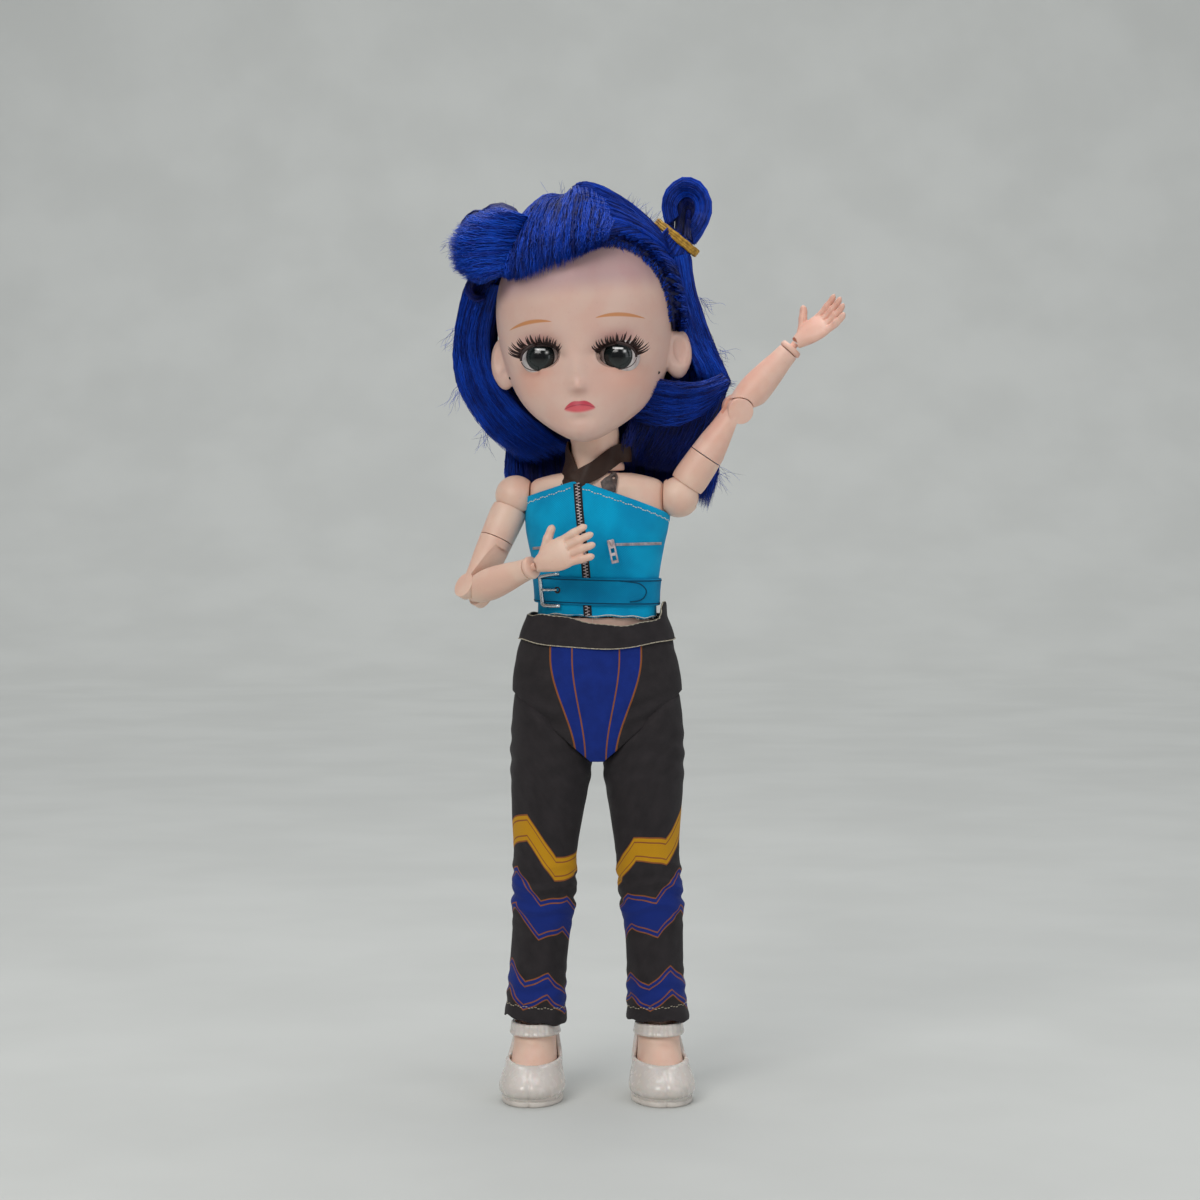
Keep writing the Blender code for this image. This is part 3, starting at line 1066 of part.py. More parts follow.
for side, label, pose in ((1, "left", LEFT_LEG), (-1, "right", RIGHT_LEG)):
    hip_at = joint("hip_joint_" + label, pelvis_at, (side * HIP_X, 0, 0), turned("X", -pose["swing"]))
    spread_at = joint("hip_spread_joint_" + label, hip_at, (0, 0, 0), turned("Y", -side * pose["spread"]))
    thigh_turn = turned("Z", side * pose["turn"])
    thigh_at = joint("thigh_turn_joint_" + label, spread_at, (0, 0, -THIGH_TOP_LENGTH), thigh_turn)
    knee_at = joint("knee_joint_" + label, thigh_at, (0, 0, -THIGH_LENGTH), turned("X", pose["knee"]))
    bpy.context.view_layer.update()
    level = knee_at.matrix_world.to_3x3().inverted().to_4x4() @ thigh_turn
    ankle_at = joint("ankle_joint_" + label, knee_at, (0, 0, -SHIN_LENGTH), level)

    hip_ball = piece("hip_ball_" + label, ball(HIP_BALL, HIDDEN_SIDES), hip_at, SKIN)
    boss_end = HIP_X - CROTCH_WALL / 2 - GAP
    hip_boss = rod(HIP_BOSS_RADIUS, (0, 0, 0), (-side * boss_end, 0, 0), HIDDEN_SIDES)
    join(hip_ball, tool("hip boss", hip_boss, hip_at))
    peg_end = boss_end + GAP + HIP_PEG_LENGTH
    join(hip_ball, tool("hip peg", rod(HIP_PEG_RADIUS, (0, 0, 0), (-side * peg_end, 0, 0)), hip_at))
    ball_slot(hip_ball, "hip " + label, hip_at, HIP_TONGUE_THICKNESS, HIP_TONGUE, HIP_BALL + OVERRUN)

    rings = [oval(0, THIGH_TOP_RADIUS - BITE, THIGH_TOP_RADIUS - BITE, THIGH_TOP_RADIUS - BITE, LIMB_SIDES)]
    rings.append(oval(-THIGH_TOP_LENGTH / 2, *[THIGH_TOP_RADIUS - GAP] * 3, LIMB_SIDES))
    rings.append(oval(-THIGH_TOP_LENGTH, *[THIGH_SHARES[0][1] * THIGH_WIDTH / 2] * 3, LIMB_SIDES))
    thigh_top = piece("thigh_top_" + label, loft(rings), spread_at, SKIN)
    join(thigh_top, tool("thigh round", ball(THIGH_TOP_RADIUS, SEAT_SIDES), spread_at))
    cut(thigh_top, tool("hip ball room", ball(HIP_BALL + 2 * GAP, HIDDEN_SIDES), spread_at))
    channel = 2 * THIGH_TOP_RADIUS
    boss_room = HIP_BOSS_RADIUS + 2 * GAP
    channel_size = (channel, 2 * boss_room, channel + boss_room)
    channel_at = (-side * channel / 2, 0, (channel - boss_room) / 2)
    cut(thigh_top, tool("hip boss room", box(channel_size, channel_at), spread_at))
    ball_tongue(thigh_top, "thigh " + label, spread_at, HIP_TONGUE_THICKNESS, HIP_TONGUE, HIP_BALL)
    peg_low = -THIGH_TOP_LENGTH - OVERRUN
    peg_high = -THIGH_TOP_LENGTH + THIGH_PEG_LENGTH + GAP
    peg_bore = rod(THIGH_PEG_RADIUS + GAP, (0, 0, peg_low), (0, 0, peg_high), SEAT_SIDES)
    cut(thigh_top, tool("thigh peg bore", peg_bore, spread_at))

    thigh_form = limb(THIGH_SHARES, THIGH_LENGTH, THIGH_WIDTH, THIGH_WIDTH, end=THIGH_END_SHARE, top=GAP)
    thigh = piece("thigh_" + label, thigh_form, thigh_at, SKIN)
    peg = rod(THIGH_PEG_RADIUS, (0, 0, -GAP - BITE), (0, 0, THIGH_PEG_LENGTH), SEAT_SIDES)
    join(thigh, tool("thigh peg", peg, thigh_at))
    fork(
        thigh, "knee " + label, thigh_at, THIGH_LENGTH, KNEE_RADIUS, KNEE_WIDTH, KNEE_TONGUE_THICKNESS,
        KNEE_TONGUE_RADIUS, KNEE_PIN_RADIUS, 1, KNEE_NOTCH, "knee_pin_" + label,
    )
    shin_end = 1 - ANKLE_PLAY / SHIN_LENGTH
    shin_form = limb(SHIN_SHARES, SHIN_LENGTH, CALF_WIDTH, CALF_WIDTH, end=shin_end, top=2 * GAP)
    shin = piece("shin_" + label, shin_form, knee_at, SKIN)
    tongued(
        shin, "shin " + label, knee_at, KNEE_RADIUS, KNEE_TONGUE_THICKNESS, KNEE_TONGUE_RADIUS,
        KNEE_PIN_RADIUS, 1, KNEE_CUT,
    )
    ankle_room = Matrix.Translation((0, 0, -SHIN_LENGTH))
    cut(shin, tool("ankle room", ball(ANKLE_BALL + GAP, BALL_SIDES), knee_at, ankle_room))
    shin_low = (0, 0, -SHIN_LENGTH)
    peg_top = -SHIN_LENGTH + ANKLE_BALL + ANKLE_PEG_LENGTH
    ankle_bore = rod(ANKLE_PEG_RADIUS + GAP, shin_low, (0, 0, peg_top + GAP))
    cut(shin, tool("ankle bore", ankle_bore, knee_at))
    ankle_ball = piece("ankle_ball_" + label, ball(ANKLE_BALL, BALL_SIDES, shin_low), knee_at, SKIN)
    join(ankle_ball, tool("ankle peg", rod(ANKLE_PEG_RADIUS, shin_low, (0, 0, peg_top)), knee_at))

    foot = piece("foot_" + label, loft(foot_rings(0.0, -FOOT_HEIGHT, 0.0)), ankle_at, SKIN)
    cut(foot, tool("ankle socket", ball(ANKLE_BALL + GAP, BALL_SIDES), ankle_at))
    shoe_bottom = -FOOT_HEIGHT - GAP - SOLE_THICKNESS
    shoe_rings = foot_rings(GAP + SHOE_WALL, -FOOT_HEIGHT - GAP, -SHOE_TOP)
    sole_ring = [(x, y, shoe_bottom) for x, y, _ in shoe_rings[0]]
    shoe = piece("shoe_" + label, loft([sole_ring] + shoe_rings), ankle_at, SHOE)
    strap_bottom = -SHOE_TOP - STRAP_HEIGHT
    vamp_top = -FOOT_HEIGHT - GAP - SOLE_THICKNESS + VAMP_HEIGHT
    window_height = strap_bottom - vamp_top
    window_size = (2 * FOOT_WIDTH, 2 * FOOT_FRONT, window_height)
    window_at = (0, WINDOW_BACK - FOOT_FRONT, vamp_top + window_height / 2)
    cut(shoe, tool("shoe window", box(window_size, window_at), ankle_at))
    _, front_share, _ = between(FOOT_SHARES, 1 + vamp_top / FOOT_HEIGHT)
    bow_y = -front_share * FOOT_FRONT - SHOE_WALL
    bow_z = vamp_top - BOW_HEIGHT / 2
    for turn in (1, -1):
        loop_middle = Matrix.Translation((turn * BOW_WIDTH / 4, bow_y, bow_z)) @ turned("Y", turn * BOW_TILT)
        scale = ((BOW_WIDTH / 2 + BITE) / BOW_HEIGHT, BOW_THICKNESS / BOW_HEIGHT, 1)
        join(shoe, tool("bow loop", ball(BOW_HEIGHT / 2, PEG_SIDES, scale=scale), ankle_at, loop_middle))
    knot_size = (BOW_THICKNESS, 1.5 * BOW_THICKNESS, BOW_KNOT_HEIGHT)
    join(shoe, tool("bow knot", box(knot_size, (0, bow_y - BOW_THICKNESS / 4, bow_z)), ankle_at))
    room = foot_rings(GAP, -FOOT_HEIGHT - GAP, -FOOT_HEIGHT * (1 - FOOT_SHARES[-1][0]))
    lid = [(x, y, OVERRUN) for x, y, _ in room[-1]]
    cut(shoe, tool("foot room", loft(room + [lid]), ankle_at))

    # The leg of the leggings, in two tubes that meet over the knee
    tilt = turned("Y", -side * GROIN_TILT)
    below_plane = Matrix.Translation((0, 0, CUFF_GAP / 2 - GROIN_DROP)) @ tilt
    above_plane = Matrix.Translation((0, 0, -CUFF_GAP / 2 - GROIN_DROP)) @ tilt
    below_box = box([leg_run] * 3, (0, 0, -leg_run / 2))
    above_box = box([leg_run] * 3, (0, 0, leg_run / 2))
    below_groin = tool("below the groin", below_box, spread_at, below_plane)
    above_groin = tool("above the groin", above_box, spread_at, above_plane)
    upper_columns = []
    lower_columns = []
    for inset in (0.0, CLOTH):
        column = []
        for share, wide in UPPER_TUBE_SHARES:
            z = THIGH_TOP_LENGTH - share * (THIGH_LENGTH + THIGH_TOP_LENGTH - GAP) + TUBE_TOP * (1 - share)
            radius = wide * LEG_TUBE_TOP_WIDTH / 2 - inset
            column.append(oval(z, radius, radius, radius, LIMB_SIDES))
        upper_columns.append(column[::-1])
        column = []
        for share, wide in LOWER_TUBE_SHARES:
            z = -GAP - share * (SHIN_LENGTH - HEM_RISE - GAP)
            radius = wide * LEG_TUBE_HEM_WIDTH / 2 - inset
            column.append(oval(z, radius, radius, radius, LIMB_SIDES))
        lower_columns.append(column[::-1])
    upper_tube = piece("leggings_thigh_" + label, wall(*upper_columns), thigh_at, BLACK)
    cut(upper_tube, above_groin)
    piece("leggings_shin_" + label, wall(*lower_columns), knee_at, BLACK)
    # The opening in the hips for this leg is all of the cloth below the groin line on this side
    side_box = box([2 * leg_run] * 3, (side * (leg_run + GAP), 0, 0))
    side_half = tool("groin side", side_box, pelvis_at)
    combine(below_groin, side_half, "INTERSECT")
    cut(hips, below_groin)

# Arms
for side, label, pose in ((1, "left", LEFT_ARM), (-1, "right", RIGHT_ARM)):
    shoulder_x = side * (CHEST_WIDTH / 2 + SHOULDER_OFFSET)
    swing = turned("X", -pose["swing"])
    turn = turned("Z", side * pose["turn"])
    twist = turned("Z", side * pose["wrist"])
    shoulder_at = joint("shoulder_joint_" + label, waist_at, (shoulder_x, 0, shoulder_rise), swing)
    raise_at = joint("arm_raise_joint_" + label, shoulder_at, (0, 0, 0), turned("Y", -side * pose["raise"]))
    sleeve_at = joint("arm_turn_joint_" + label, raise_at, (0, 0, -UPPER_ARM_LENGTH), turn)
    elbow_at = joint("elbow_joint_" + label, sleeve_at, (0, 0, -SLEEVE_LENGTH), turned("X", -pose["elbow"]))
    wrist_at = joint("wrist_joint_" + label, elbow_at, (0, 0, -FOREARM_LENGTH), twist)
    hand_drop = WRIST_RING_HEIGHT + WRIST_BALL_DROP
    hand_at = joint("hand_joint_" + label, wrist_at, (0, 0, -hand_drop), turned("X", -pose["bend"]))

    shoulder = piece("shoulder_ball_" + label, ball(SHOULDER_BALL, SEAT_SIDES), shoulder_at, SKIN)
    flat = SHOULDER_OFFSET - GAP
    inner_side = box([4 * SHOULDER_BALL] * 3, (-side * (flat + 2 * SHOULDER_BALL), 0, 0))
    cut(shoulder, tool("shoulder inner side", inner_side, shoulder_at))
    peg = rod(SHOULDER_PEG_RADIUS, (0, 0, 0), (-side * (SHOULDER_OFFSET + SHOULDER_PEG_LENGTH), 0, 0))
    join(shoulder, tool("shoulder peg", peg, shoulder_at))
    slot_reach = SHOULDER_BALL + OVERRUN
    tongue = (SHOULDER_TONGUE_THICKNESS, SHOULDER_TONGUE)
    ball_slot(shoulder, "shoulder " + label, shoulder_at, *tongue, slot_reach)

    upper_arm_form = limb(UPPER_ARM_SHARES, UPPER_ARM_LENGTH, ARM_WIDTH, ARM_WIDTH)
    upper_arm = piece("upper_arm_" + label, upper_arm_form, raise_at, SKIN)
    cut(upper_arm, tool("shoulder room", ball(SHOULDER_BALL + 2 * GAP, ROOM_SIDES), raise_at))
    ball_tongue(upper_arm, "arm " + label, raise_at, *tongue, SHOULDER_BALL)
    bore_low = -UPPER_ARM_LENGTH - OVERRUN
    bore_high = -UPPER_ARM_LENGTH + SLEEVE_PEG_LENGTH + GAP
    arm_bore = rod(SLEEVE_PEG_RADIUS + GAP, (0, 0, bore_low), (0, 0, bore_high))
    cut(upper_arm, tool("arm peg bore", arm_bore, raise_at))

    sleeve_form = limb(SLEEVE_SHARES, SLEEVE_LENGTH, ARM_WIDTH, ARM_WIDTH, end=SLEEVE_END_SHARE, top=GAP)
    sleeve = piece("arm_sleeve_" + label, sleeve_form, sleeve_at, SKIN)
    arm_peg = rod(SLEEVE_PEG_RADIUS, (0, 0, -GAP - BITE), (0, 0, SLEEVE_PEG_LENGTH))
    join(sleeve, tool("arm peg", arm_peg, sleeve_at))
    fork(
        sleeve, "elbow " + label, sleeve_at, SLEEVE_LENGTH, ELBOW_RADIUS, ELBOW_WIDTH, ELBOW_TONGUE_THICKNESS,
        ELBOW_TONGUE_RADIUS, ELBOW_PIN_RADIUS, -1, ELBOW_NOTCH, "elbow_pin_" + label,
    )
    forearm_form = limb(FOREARM_SHARES, FOREARM_LENGTH, FOREARM_WIDTH, FOREARM_WIDTH, top=2 * GAP)
    forearm = piece("forearm_" + label, forearm_form, elbow_at, SKIN)
    tongued(
        forearm, "forearm " + label, elbow_at, ELBOW_RADIUS, ELBOW_TONGUE_THICKNESS, ELBOW_TONGUE_RADIUS,
        ELBOW_PIN_RADIUS, -1, ELBOW_CUT,
    )
    bore_top = -FOREARM_LENGTH + WRIST_PEG_LENGTH + GAP
    bore = rod(WRIST_PEG_RADIUS + GAP, (0, 0, -FOREARM_LENGTH - OVERRUN), (0, 0, bore_top))
    cut(forearm, tool("wrist bore", bore, elbow_at))

    ring_radius = WRIST_RING_WIDTH / 2
    rim_radius = ring_radius * WRIST_RIM_SHARE
    wrist_profile = (
        (0, WRIST_PEG_LENGTH), (WRIST_PEG_RADIUS, WRIST_PEG_LENGTH), (WRIST_PEG_RADIUS, -GAP),
        (rim_radius, -GAP), (ring_radius, -WRIST_RING_HEIGHT / 2), (rim_radius, -WRIST_RING_HEIGHT),
        (0, -WRIST_RING_HEIGHT),
    )
    wrist = spun("wrist_" + label, wrist_profile, wrist_at, SKIN, LIMB_SIDES)
    stem = rod(WRIST_STEM_RADIUS, (0, 0, -WRIST_RING_HEIGHT + GAP), (0, 0, -hand_drop))
    join(wrist, tool("wrist stem", stem, wrist_at))
    join(wrist, tool("wrist ball", ball(WRIST_BALL, PEG_SIDES, (0, 0, -hand_drop)), wrist_at))

    palm = limb(PALM_SHARES, PALM_LENGTH, PALM_WIDTH, PALM_THICKNESS, sides=PALM_SIDES)
    hand = piece("hand_" + label, palm, hand_at, SKIN)
    cut(hand, tool("wrist socket", ball(WRIST_BALL + GAP, PEG_SIDES), hand_at))
    knuckle_drop = KNUCKLE_SHARE * PALM_LENGTH
    fingers = []
    for across, length, fan in FINGER_PLACE_SHARES:
        reach = length * FINGER_LENGTH + PALM_LENGTH - knuckle_drop
        place_x = across * side * PALM_WIDTH / 2
        fingers.append((place_x, knuckle_drop, reach, fan * side * FINGER_FAN, FINGER_WIDTH))
    thumb_x = side * THUMB_SIDE * THUMB_PLACE_SHARE * PALM_WIDTH / 2
    thumb_fan = side * THUMB_SIDE * -THUMB_SPREAD
    fingers.append((thumb_x, THUMB_ROOT_SHARE * PALM_LENGTH, THUMB_LENGTH + BITE, thumb_fan, THUMB_WIDTH))
    for x, drop, reach, fan, width in fingers:
        place = Matrix.Translation((x, 0, -drop)) @ turned("Y", -fan)
        rings = []
        for share, wide, curl in FINGER_SHARES:
            radius = wide * width / 2
            bend = curl * FINGER_CURL_SHARE * reach
            rings.append(oval(-share * reach, radius, radius, radius, FINGER_SIDES, 0, bend))
        join(hand, tool("finger", loft(rings), hand_at, place))

# The root stands so that the middle of the whole box is over the origin
bpy.context.view_layer.update()
graph = bpy.context.evaluated_depsgraph_get()
low = Vector((math.inf,) * 3)
high = Vector((-math.inf,) * 3)
for obj in DOLL.objects:
    if obj.type != "MESH":
        continue
    mesh = obj.evaluated_get(graph).to_mesh()
    for vertex in mesh.vertices:
        at = obj.matrix_world @ vertex.co
        low = Vector(map(min, low, at))
        high = Vector(map(max, high, at))
root.location = (-(low.x + high.x) / 2, -(low.y + high.y) / 2, -low.z)
bpy.context.view_layer.update()
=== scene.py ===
"""Looks of the ball jointed doll: every piece that shows, its materials, the light and the camera.

Metres, +Z up, in the frame of the CAD model. The doll faces -Y, and its left hand is at +X. Each piece is
modelled in the frame of its own joint, in the rest pose, and rides on the body of that joint.
"""

import json
import math

import bmesh
import bpy
import numpy as np
from mathutils import Matrix, Vector
from mathutils.bvhtree import BVHTree


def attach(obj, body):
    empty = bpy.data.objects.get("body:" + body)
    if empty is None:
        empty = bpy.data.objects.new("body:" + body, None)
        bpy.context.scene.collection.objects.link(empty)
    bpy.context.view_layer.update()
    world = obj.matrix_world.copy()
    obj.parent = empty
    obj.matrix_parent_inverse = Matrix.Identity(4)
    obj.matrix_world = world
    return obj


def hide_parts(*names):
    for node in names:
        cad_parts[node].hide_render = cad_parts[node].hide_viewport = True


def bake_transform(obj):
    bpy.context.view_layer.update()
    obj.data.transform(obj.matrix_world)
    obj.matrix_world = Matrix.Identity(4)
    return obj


mm = 0.001
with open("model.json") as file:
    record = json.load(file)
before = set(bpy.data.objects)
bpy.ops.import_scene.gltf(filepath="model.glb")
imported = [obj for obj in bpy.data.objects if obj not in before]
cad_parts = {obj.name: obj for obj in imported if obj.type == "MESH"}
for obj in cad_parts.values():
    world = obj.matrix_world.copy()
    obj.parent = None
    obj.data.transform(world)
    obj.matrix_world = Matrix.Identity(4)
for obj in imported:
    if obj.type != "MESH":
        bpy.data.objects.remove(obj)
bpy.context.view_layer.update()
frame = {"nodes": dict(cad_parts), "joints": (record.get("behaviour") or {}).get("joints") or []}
joints = {j["name"]: j for j in frame["joints"]}
rng = np.random.default_rng(11)

# Sizes that repeat those of the CAD model
GAP = 0.3 * mm
WAIST_RISE = 32.6 * mm
CROTCH_DROP = 11.5 * mm
CHEST_HEIGHT = 46.4 * mm
CHEST_WIDTH = 43.0 * mm
CHEST_DEPTH = 24.5 * mm
SHOULDER_DROP = 7.6 * mm
NECK_LENGTH = 22.0 * mm
NECK_FOOT = 9.0 * mm
HEAD_WIDTH = 56.0 * mm
HEAD_HEIGHT = 76.0 * mm
HEAD_DEPTH = 60.0 * mm
CHIN_DROP = 12.0 * mm
EYE_RADIUS = 6.6 * mm
EYE_DEPTH = 17.4 * mm
EAR_WIDTH = 11.0 * mm
EAR_THICKNESS = 6.0 * mm
EAR_HEIGHT = 17.0 * mm
EAR_RISE = 14.2 * mm
SHOULDER_BALL = 6.8 * mm
SHOULDER_OFFSET = 5.0 * mm
ARM_WIDTH = 11.6 * mm
UPPER_ARM_LENGTH = 15.5 * mm
SLEEVE_LENGTH = 18.5 * mm
ELBOW_RADIUS = 4.1 * mm
ELBOW_WIDTH = 9.4 * mm
FOREARM_LENGTH = 24.5 * mm
FOREARM_WIDTH = 10.4 * mm
WRIST_RING_HEIGHT = 2.2 * mm
WRIST_BALL_DROP = 1.5 * mm
PALM_LENGTH = 11.5 * mm
PALM_WIDTH = 9.8 * mm
PALM_THICKNESS = 4.4 * mm
FINGER_WIDTH = 2.5 * mm
FINGER_LENGTH = 8.6 * mm
THUMB_LENGTH = 8.0 * mm
THUMB_WIDTH = 2.9 * mm
HIP_X = 14.0 * mm
THIGH_TOP_LENGTH = 17.0 * mm
THIGH_LENGTH = 41.0 * mm
SHIN_LENGTH = 42.0 * mm
ANKLE_BALL = 4.6 * mm
FOOT_HEIGHT = 21.6 * mm
FOOT_FRONT = 24.0 * mm
FOOT_BACK = 9.6 * mm
FOOT_WIDTH = 17.0 * mm
SOLE = 1.6 * mm
SHOE_WALL = 1.3 * mm
SHOE_TOP = 1.2 * mm
SHOE_STRAP = 3.6 * mm
VAMP_HEIGHT = 13.4 * mm
CLOTH = 0.9 * mm
TOP_SLACK = 0.6 * mm
TOP_SIDE_RISE = 30.6 * mm
TOP_HEM = 1.2 * mm
STRAP_WIDTH = 5.6 * mm
STRAP_THICKNESS = 0.7 * mm
STRAP_RISE = 5.2 * mm
BELT_BOTTOM = 4.4 * mm
BELT_HEIGHT = 8.0 * mm
BELT_THICKNESS = 0.8 * mm
BAND_HEIGHT = 7.6 * mm
BAND_SLACK = 1.0 * mm
LEGGING_SLACK = 1.5 * mm
TUBE_TOP_WIDTH = 27.4 * mm
TUBE_HEM_WIDTH = 20.6 * mm
HEM_RISE = 1.6 * mm
GROIN_TILT = 38.0
GROIN_DROP = 3.4 * mm
HIPS_WIDTH = 54.6 * mm
HIPS_DEPTH = 31.0 * mm

CHEST_SHARES = (
    (0.00, 0.83, 0.80, 0.80), (0.14, 0.83, 0.84, 0.80), (0.32, 0.88, 0.93, 0.84), (0.50, 0.96, 1.08, 0.92),
    (0.62, 1.01, 1.10, 0.98), (0.76, 1.03, 1.00, 1.00), (0.88, 1.03, 0.88, 0.96), (0.95, 0.94, 0.82, 0.90),
    (0.985, 0.70, 0.78, 0.84), (1.00, 0.52, 0.74, 0.78),
)
HEAD_SHARES = (
    (0.000, 0.05, -0.320, -0.240), (0.012, 0.16, -0.350, -0.180), (0.040, 0.30, -0.382, -0.080),
    (0.080, 0.46, -0.402, 0.060), (0.130, 0.62, -0.415, 0.200), (0.185, 0.745, -0.425, 0.320),
    (0.250, 0.845, -0.435, 0.420), (0.320, 0.915, -0.443, 0.480), (0.400, 0.965, -0.452, 0.520),
    (0.500, 1.000, -0.468, 0.540), (0.600, 0.995, -0.478, 0.540), (0.700, 0.940, -0.466, 0.515),
    (0.800, 0.825, -0.420, 0.460), (0.880, 0.660, -0.345, 0.375), (0.940, 0.470, -0.250, 0.270),
    (0.985, 0.240, -0.125, 0.140), (1.000, 0.050, -0.020, 0.040),
)
# Bumps and dents of the face: place across and up, push forwards, and spread across and up
FACE_SHARES = (
    (0.00, 0.226, 0.040, 0.075, 0.026), (0.00, 0.290, 0.018, 0.080, 0.065),
    (0.00, 0.146, 0.016, 0.120, 0.016), (0.00, 0.122, 0.016, 0.090, 0.014),
    (0.00, 0.040, 0.018, 0.200, 0.040), (0.00, 0.093, -0.008, 0.140, 0.014),
    (0.46, 0.370, -0.030, 0.200, 0.070), (-0.46, 0.370, -0.030, 0.200, 0.070),
    (0.55, 0.205, 0.018, 0.220, 0.080), (-0.55, 0.205, 0.018, 0.220, 0.080),
    (0.055, 0.214, 0.006, 0.030, 0.014), (-0.055, 0.214, 0.006, 0.030, 0.014),
)
UPPER_ARM_SHARES = ((0.18, 0.80, 0.80), (0.34, 0.98, 0.98), (0.60, 1.00, 1.00), (1.00, 0.95, 0.95))
SLEEVE_SHARES = ((0.00, 0.95, 0.95), (0.30, 0.92, 0.88), (0.62, 0.86, 0.76), (1.00, 0.80, 0.70))
FOREARM_SHARES = (
    (0.00, 0.90, 0.78), (0.16, 0.98, 0.92), (0.34, 1.00, 1.00), (0.60, 0.88, 0.90),
    (0.84, 0.72, 0.74), (1.00, 0.65, 0.66),
)
PALM_SHARES = (
    (0.06, 0.50, 0.86), (0.22, 0.66, 1.00), (0.50, 0.92, 1.02), (0.80, 1.02, 0.90), (1.00, 0.98, 0.62),
)
FINGER_PLACE_SHARES = ((-0.74, 0.93, 0.5), (-0.25, 1.04, 0.1), (0.25, 0.98, -0.3), (0.73, 0.80, -0.9))
FINGER_SHARES = (
    (-0.10, 0.90, 0.0), (0.30, 0.92, 0.03), (0.50, 1.00, 0.07), (0.72, 0.88, 0.12), (0.88, 0.84, 0.17),
    (0.97, 0.56, 0.20), (1.00, 0.20, 0.22),
)
FOOT_SHARES = (
    (0.00, 0.90, 0.93, 0.92), (0.10, 1.00, 1.00, 1.00), (0.24, 0.98, 0.98, 1.02), (0.38, 0.90, 0.86, 0.98),
    (0.54, 0.84, 0.60, 0.92), (0.72, 0.80, 0.42, 0.84), (0.86, 0.78, 0.38, 0.82), (0.97, 0.74, 0.36, 0.78),
)
UPPER_TUBE_SHARES = (
    (0.00, 0.94), (0.22, 1.00), (0.42, 0.96), (0.62, 0.85), (0.80, 0.755), (0.92, 0.765), (1.00, 0.75),
)
LOWER_TUBE_SHARES = (
    (0.00, 0.985), (0.10, 1.00), (0.25, 0.93), (0.55, 0.90), (0.80, 0.93), (0.92, 0.96), (1.00, 1.00),
)
HIPS_SHARES = (
    (0.00, 0.50, 0.72, 0.84), (0.12, 0.82, 0.88, 0.96), (0.30, 0.97, 0.97, 1.05), (0.46, 1.00, 1.00, 1.08),
    (0.60, 0.985, 0.98, 1.05), (0.80, 0.91, 0.90, 0.96), (1.00, 0.805, 0.80, 0.84),
)
STRAP_SHARES = (
    (0.00, -0.133, -0.577, 1.0), (0.12, -0.056, -0.50, 1.0), (0.24, 0.044, -0.23, 1.0),
    (0.38, 0.189, 0.346, 1.12), (0.50, 0.344, 0.731, 1.04), (0.62, 0.511, 0.885, 1.0),
    (0.76, 0.694, 0.962, 0.99), (0.88, 0.833, 1.0, 0.99), (1.00, 0.972, 1.0, 0.99),
)
LEFT_ARM = {"swing": 180.0, "raise": 34.0, "turn": 70.0, "elbow": 8.0, "wrist": 20.0, "bend": 6.0}
RIGHT_ARM = {"swing": 15.0, "raise": 22.0, "turn": -48.0, "elbow": 116.0, "wrist": 30.0, "bend": 8.0}
# Where the fingers and the thumb's side of each hand point, how far its fingers curl, and its growth
LEFT_HAND = ((0.80, -0.05, 0.58), (-0.30, 0.70, 0.62), 1.5, 1.0)
RIGHT_HAND = ((0.84, -0.36, 0.42), (-0.25, 0.20, 0.95), 0.4, 1.06)
LEFT_LEG = {"spread": 3.5, "turn": 5.0}
RIGHT_LEG = {"spread": 3.5, "turn": 4.0}
# Sizes of the looks, which follow the photograph more closely than the CAD model
EYE_CENTRES = {1: (11.3 * mm, 14.4 * mm), -1: (-13.4 * mm, 15.6 * mm)}
LID_SHIFT = -0.25 * mm
LID_HALF_WIDTH = 5.5 * mm
LID_UPPER = 3.4 * mm
LID_LOWER = 3.6 * mm
FACE_SHIFT = 1.6 * mm
LOBE_RISE = 3.8 * mm
# The most parts of strands that one piece carries
STRAND_PARTS = 31000


# Frames of the joints
def turned(axis, degrees):
    return Matrix.Rotation(math.radians(degrees), 4, axis)


def below(parent, location, *turns):
    matrix = parent @ Matrix.Translation(location)
    for turn in turns:
        matrix = matrix @ turn
    return matrix


waist_place = Vector(joints["waist_turn"]["pos_m"])
pelvis_at = Matrix.Translation(waist_place - Vector((0, 0, WAIST_RISE)))
waist_at = below(pelvis_at, (0, 0, WAIST_RISE), turned("Z", -5.0))
neck_at = below(waist_at, (0, 0, CHEST_HEIGHT), turned("Y", -3.5), turned("Z", -1.0))
head_at = below(neck_at, (0, 0, NECK_LENGTH))

# Camera, where the photograph was taken from
CAMERA_AWAY = 0.95
PIXEL = 0.325 * mm  # at the doll's middle
# The column of the picture at MIDDLE_X, and its row at the ground
MIDDLE_ACROSS = 597
MIDDLE_X = -15.8 * mm
GROUND_DOWN = 1095
camera_data = bpy.data.cameras.new("camera")
camera = bpy.data.objects.new("camera", camera_data)
bpy.context.scene.collection.objects.link(camera)
camera.location = (-14.8 * mm, -CAMERA_AWAY, 0.200)
camera.rotation_euler = (math.radians(90 - 2.35), 0, 0)
camera_data.sensor_width = 36.0
camera_data.lens = 18.0 / math.tan(math.radians(23.2 / 2))
camera_data.clip_start = 0.05
camera_data.clip_end = 20.0
bpy.context.scene.camera = camera


def photo(across, down, depth=0.0):
    """The place that shows at a point of the picture, counted in its pixels, at a depth in millimetres."""
    flat = Vector(((across - MIDDLE_ACROSS) * PIXEL + MIDDLE_X, 0, (GROUND_DOWN - down) * PIXEL))
    share = (depth * mm + CAMERA_AWAY) / CAMERA_AWAY
    return camera.location + (flat - camera.location) * share


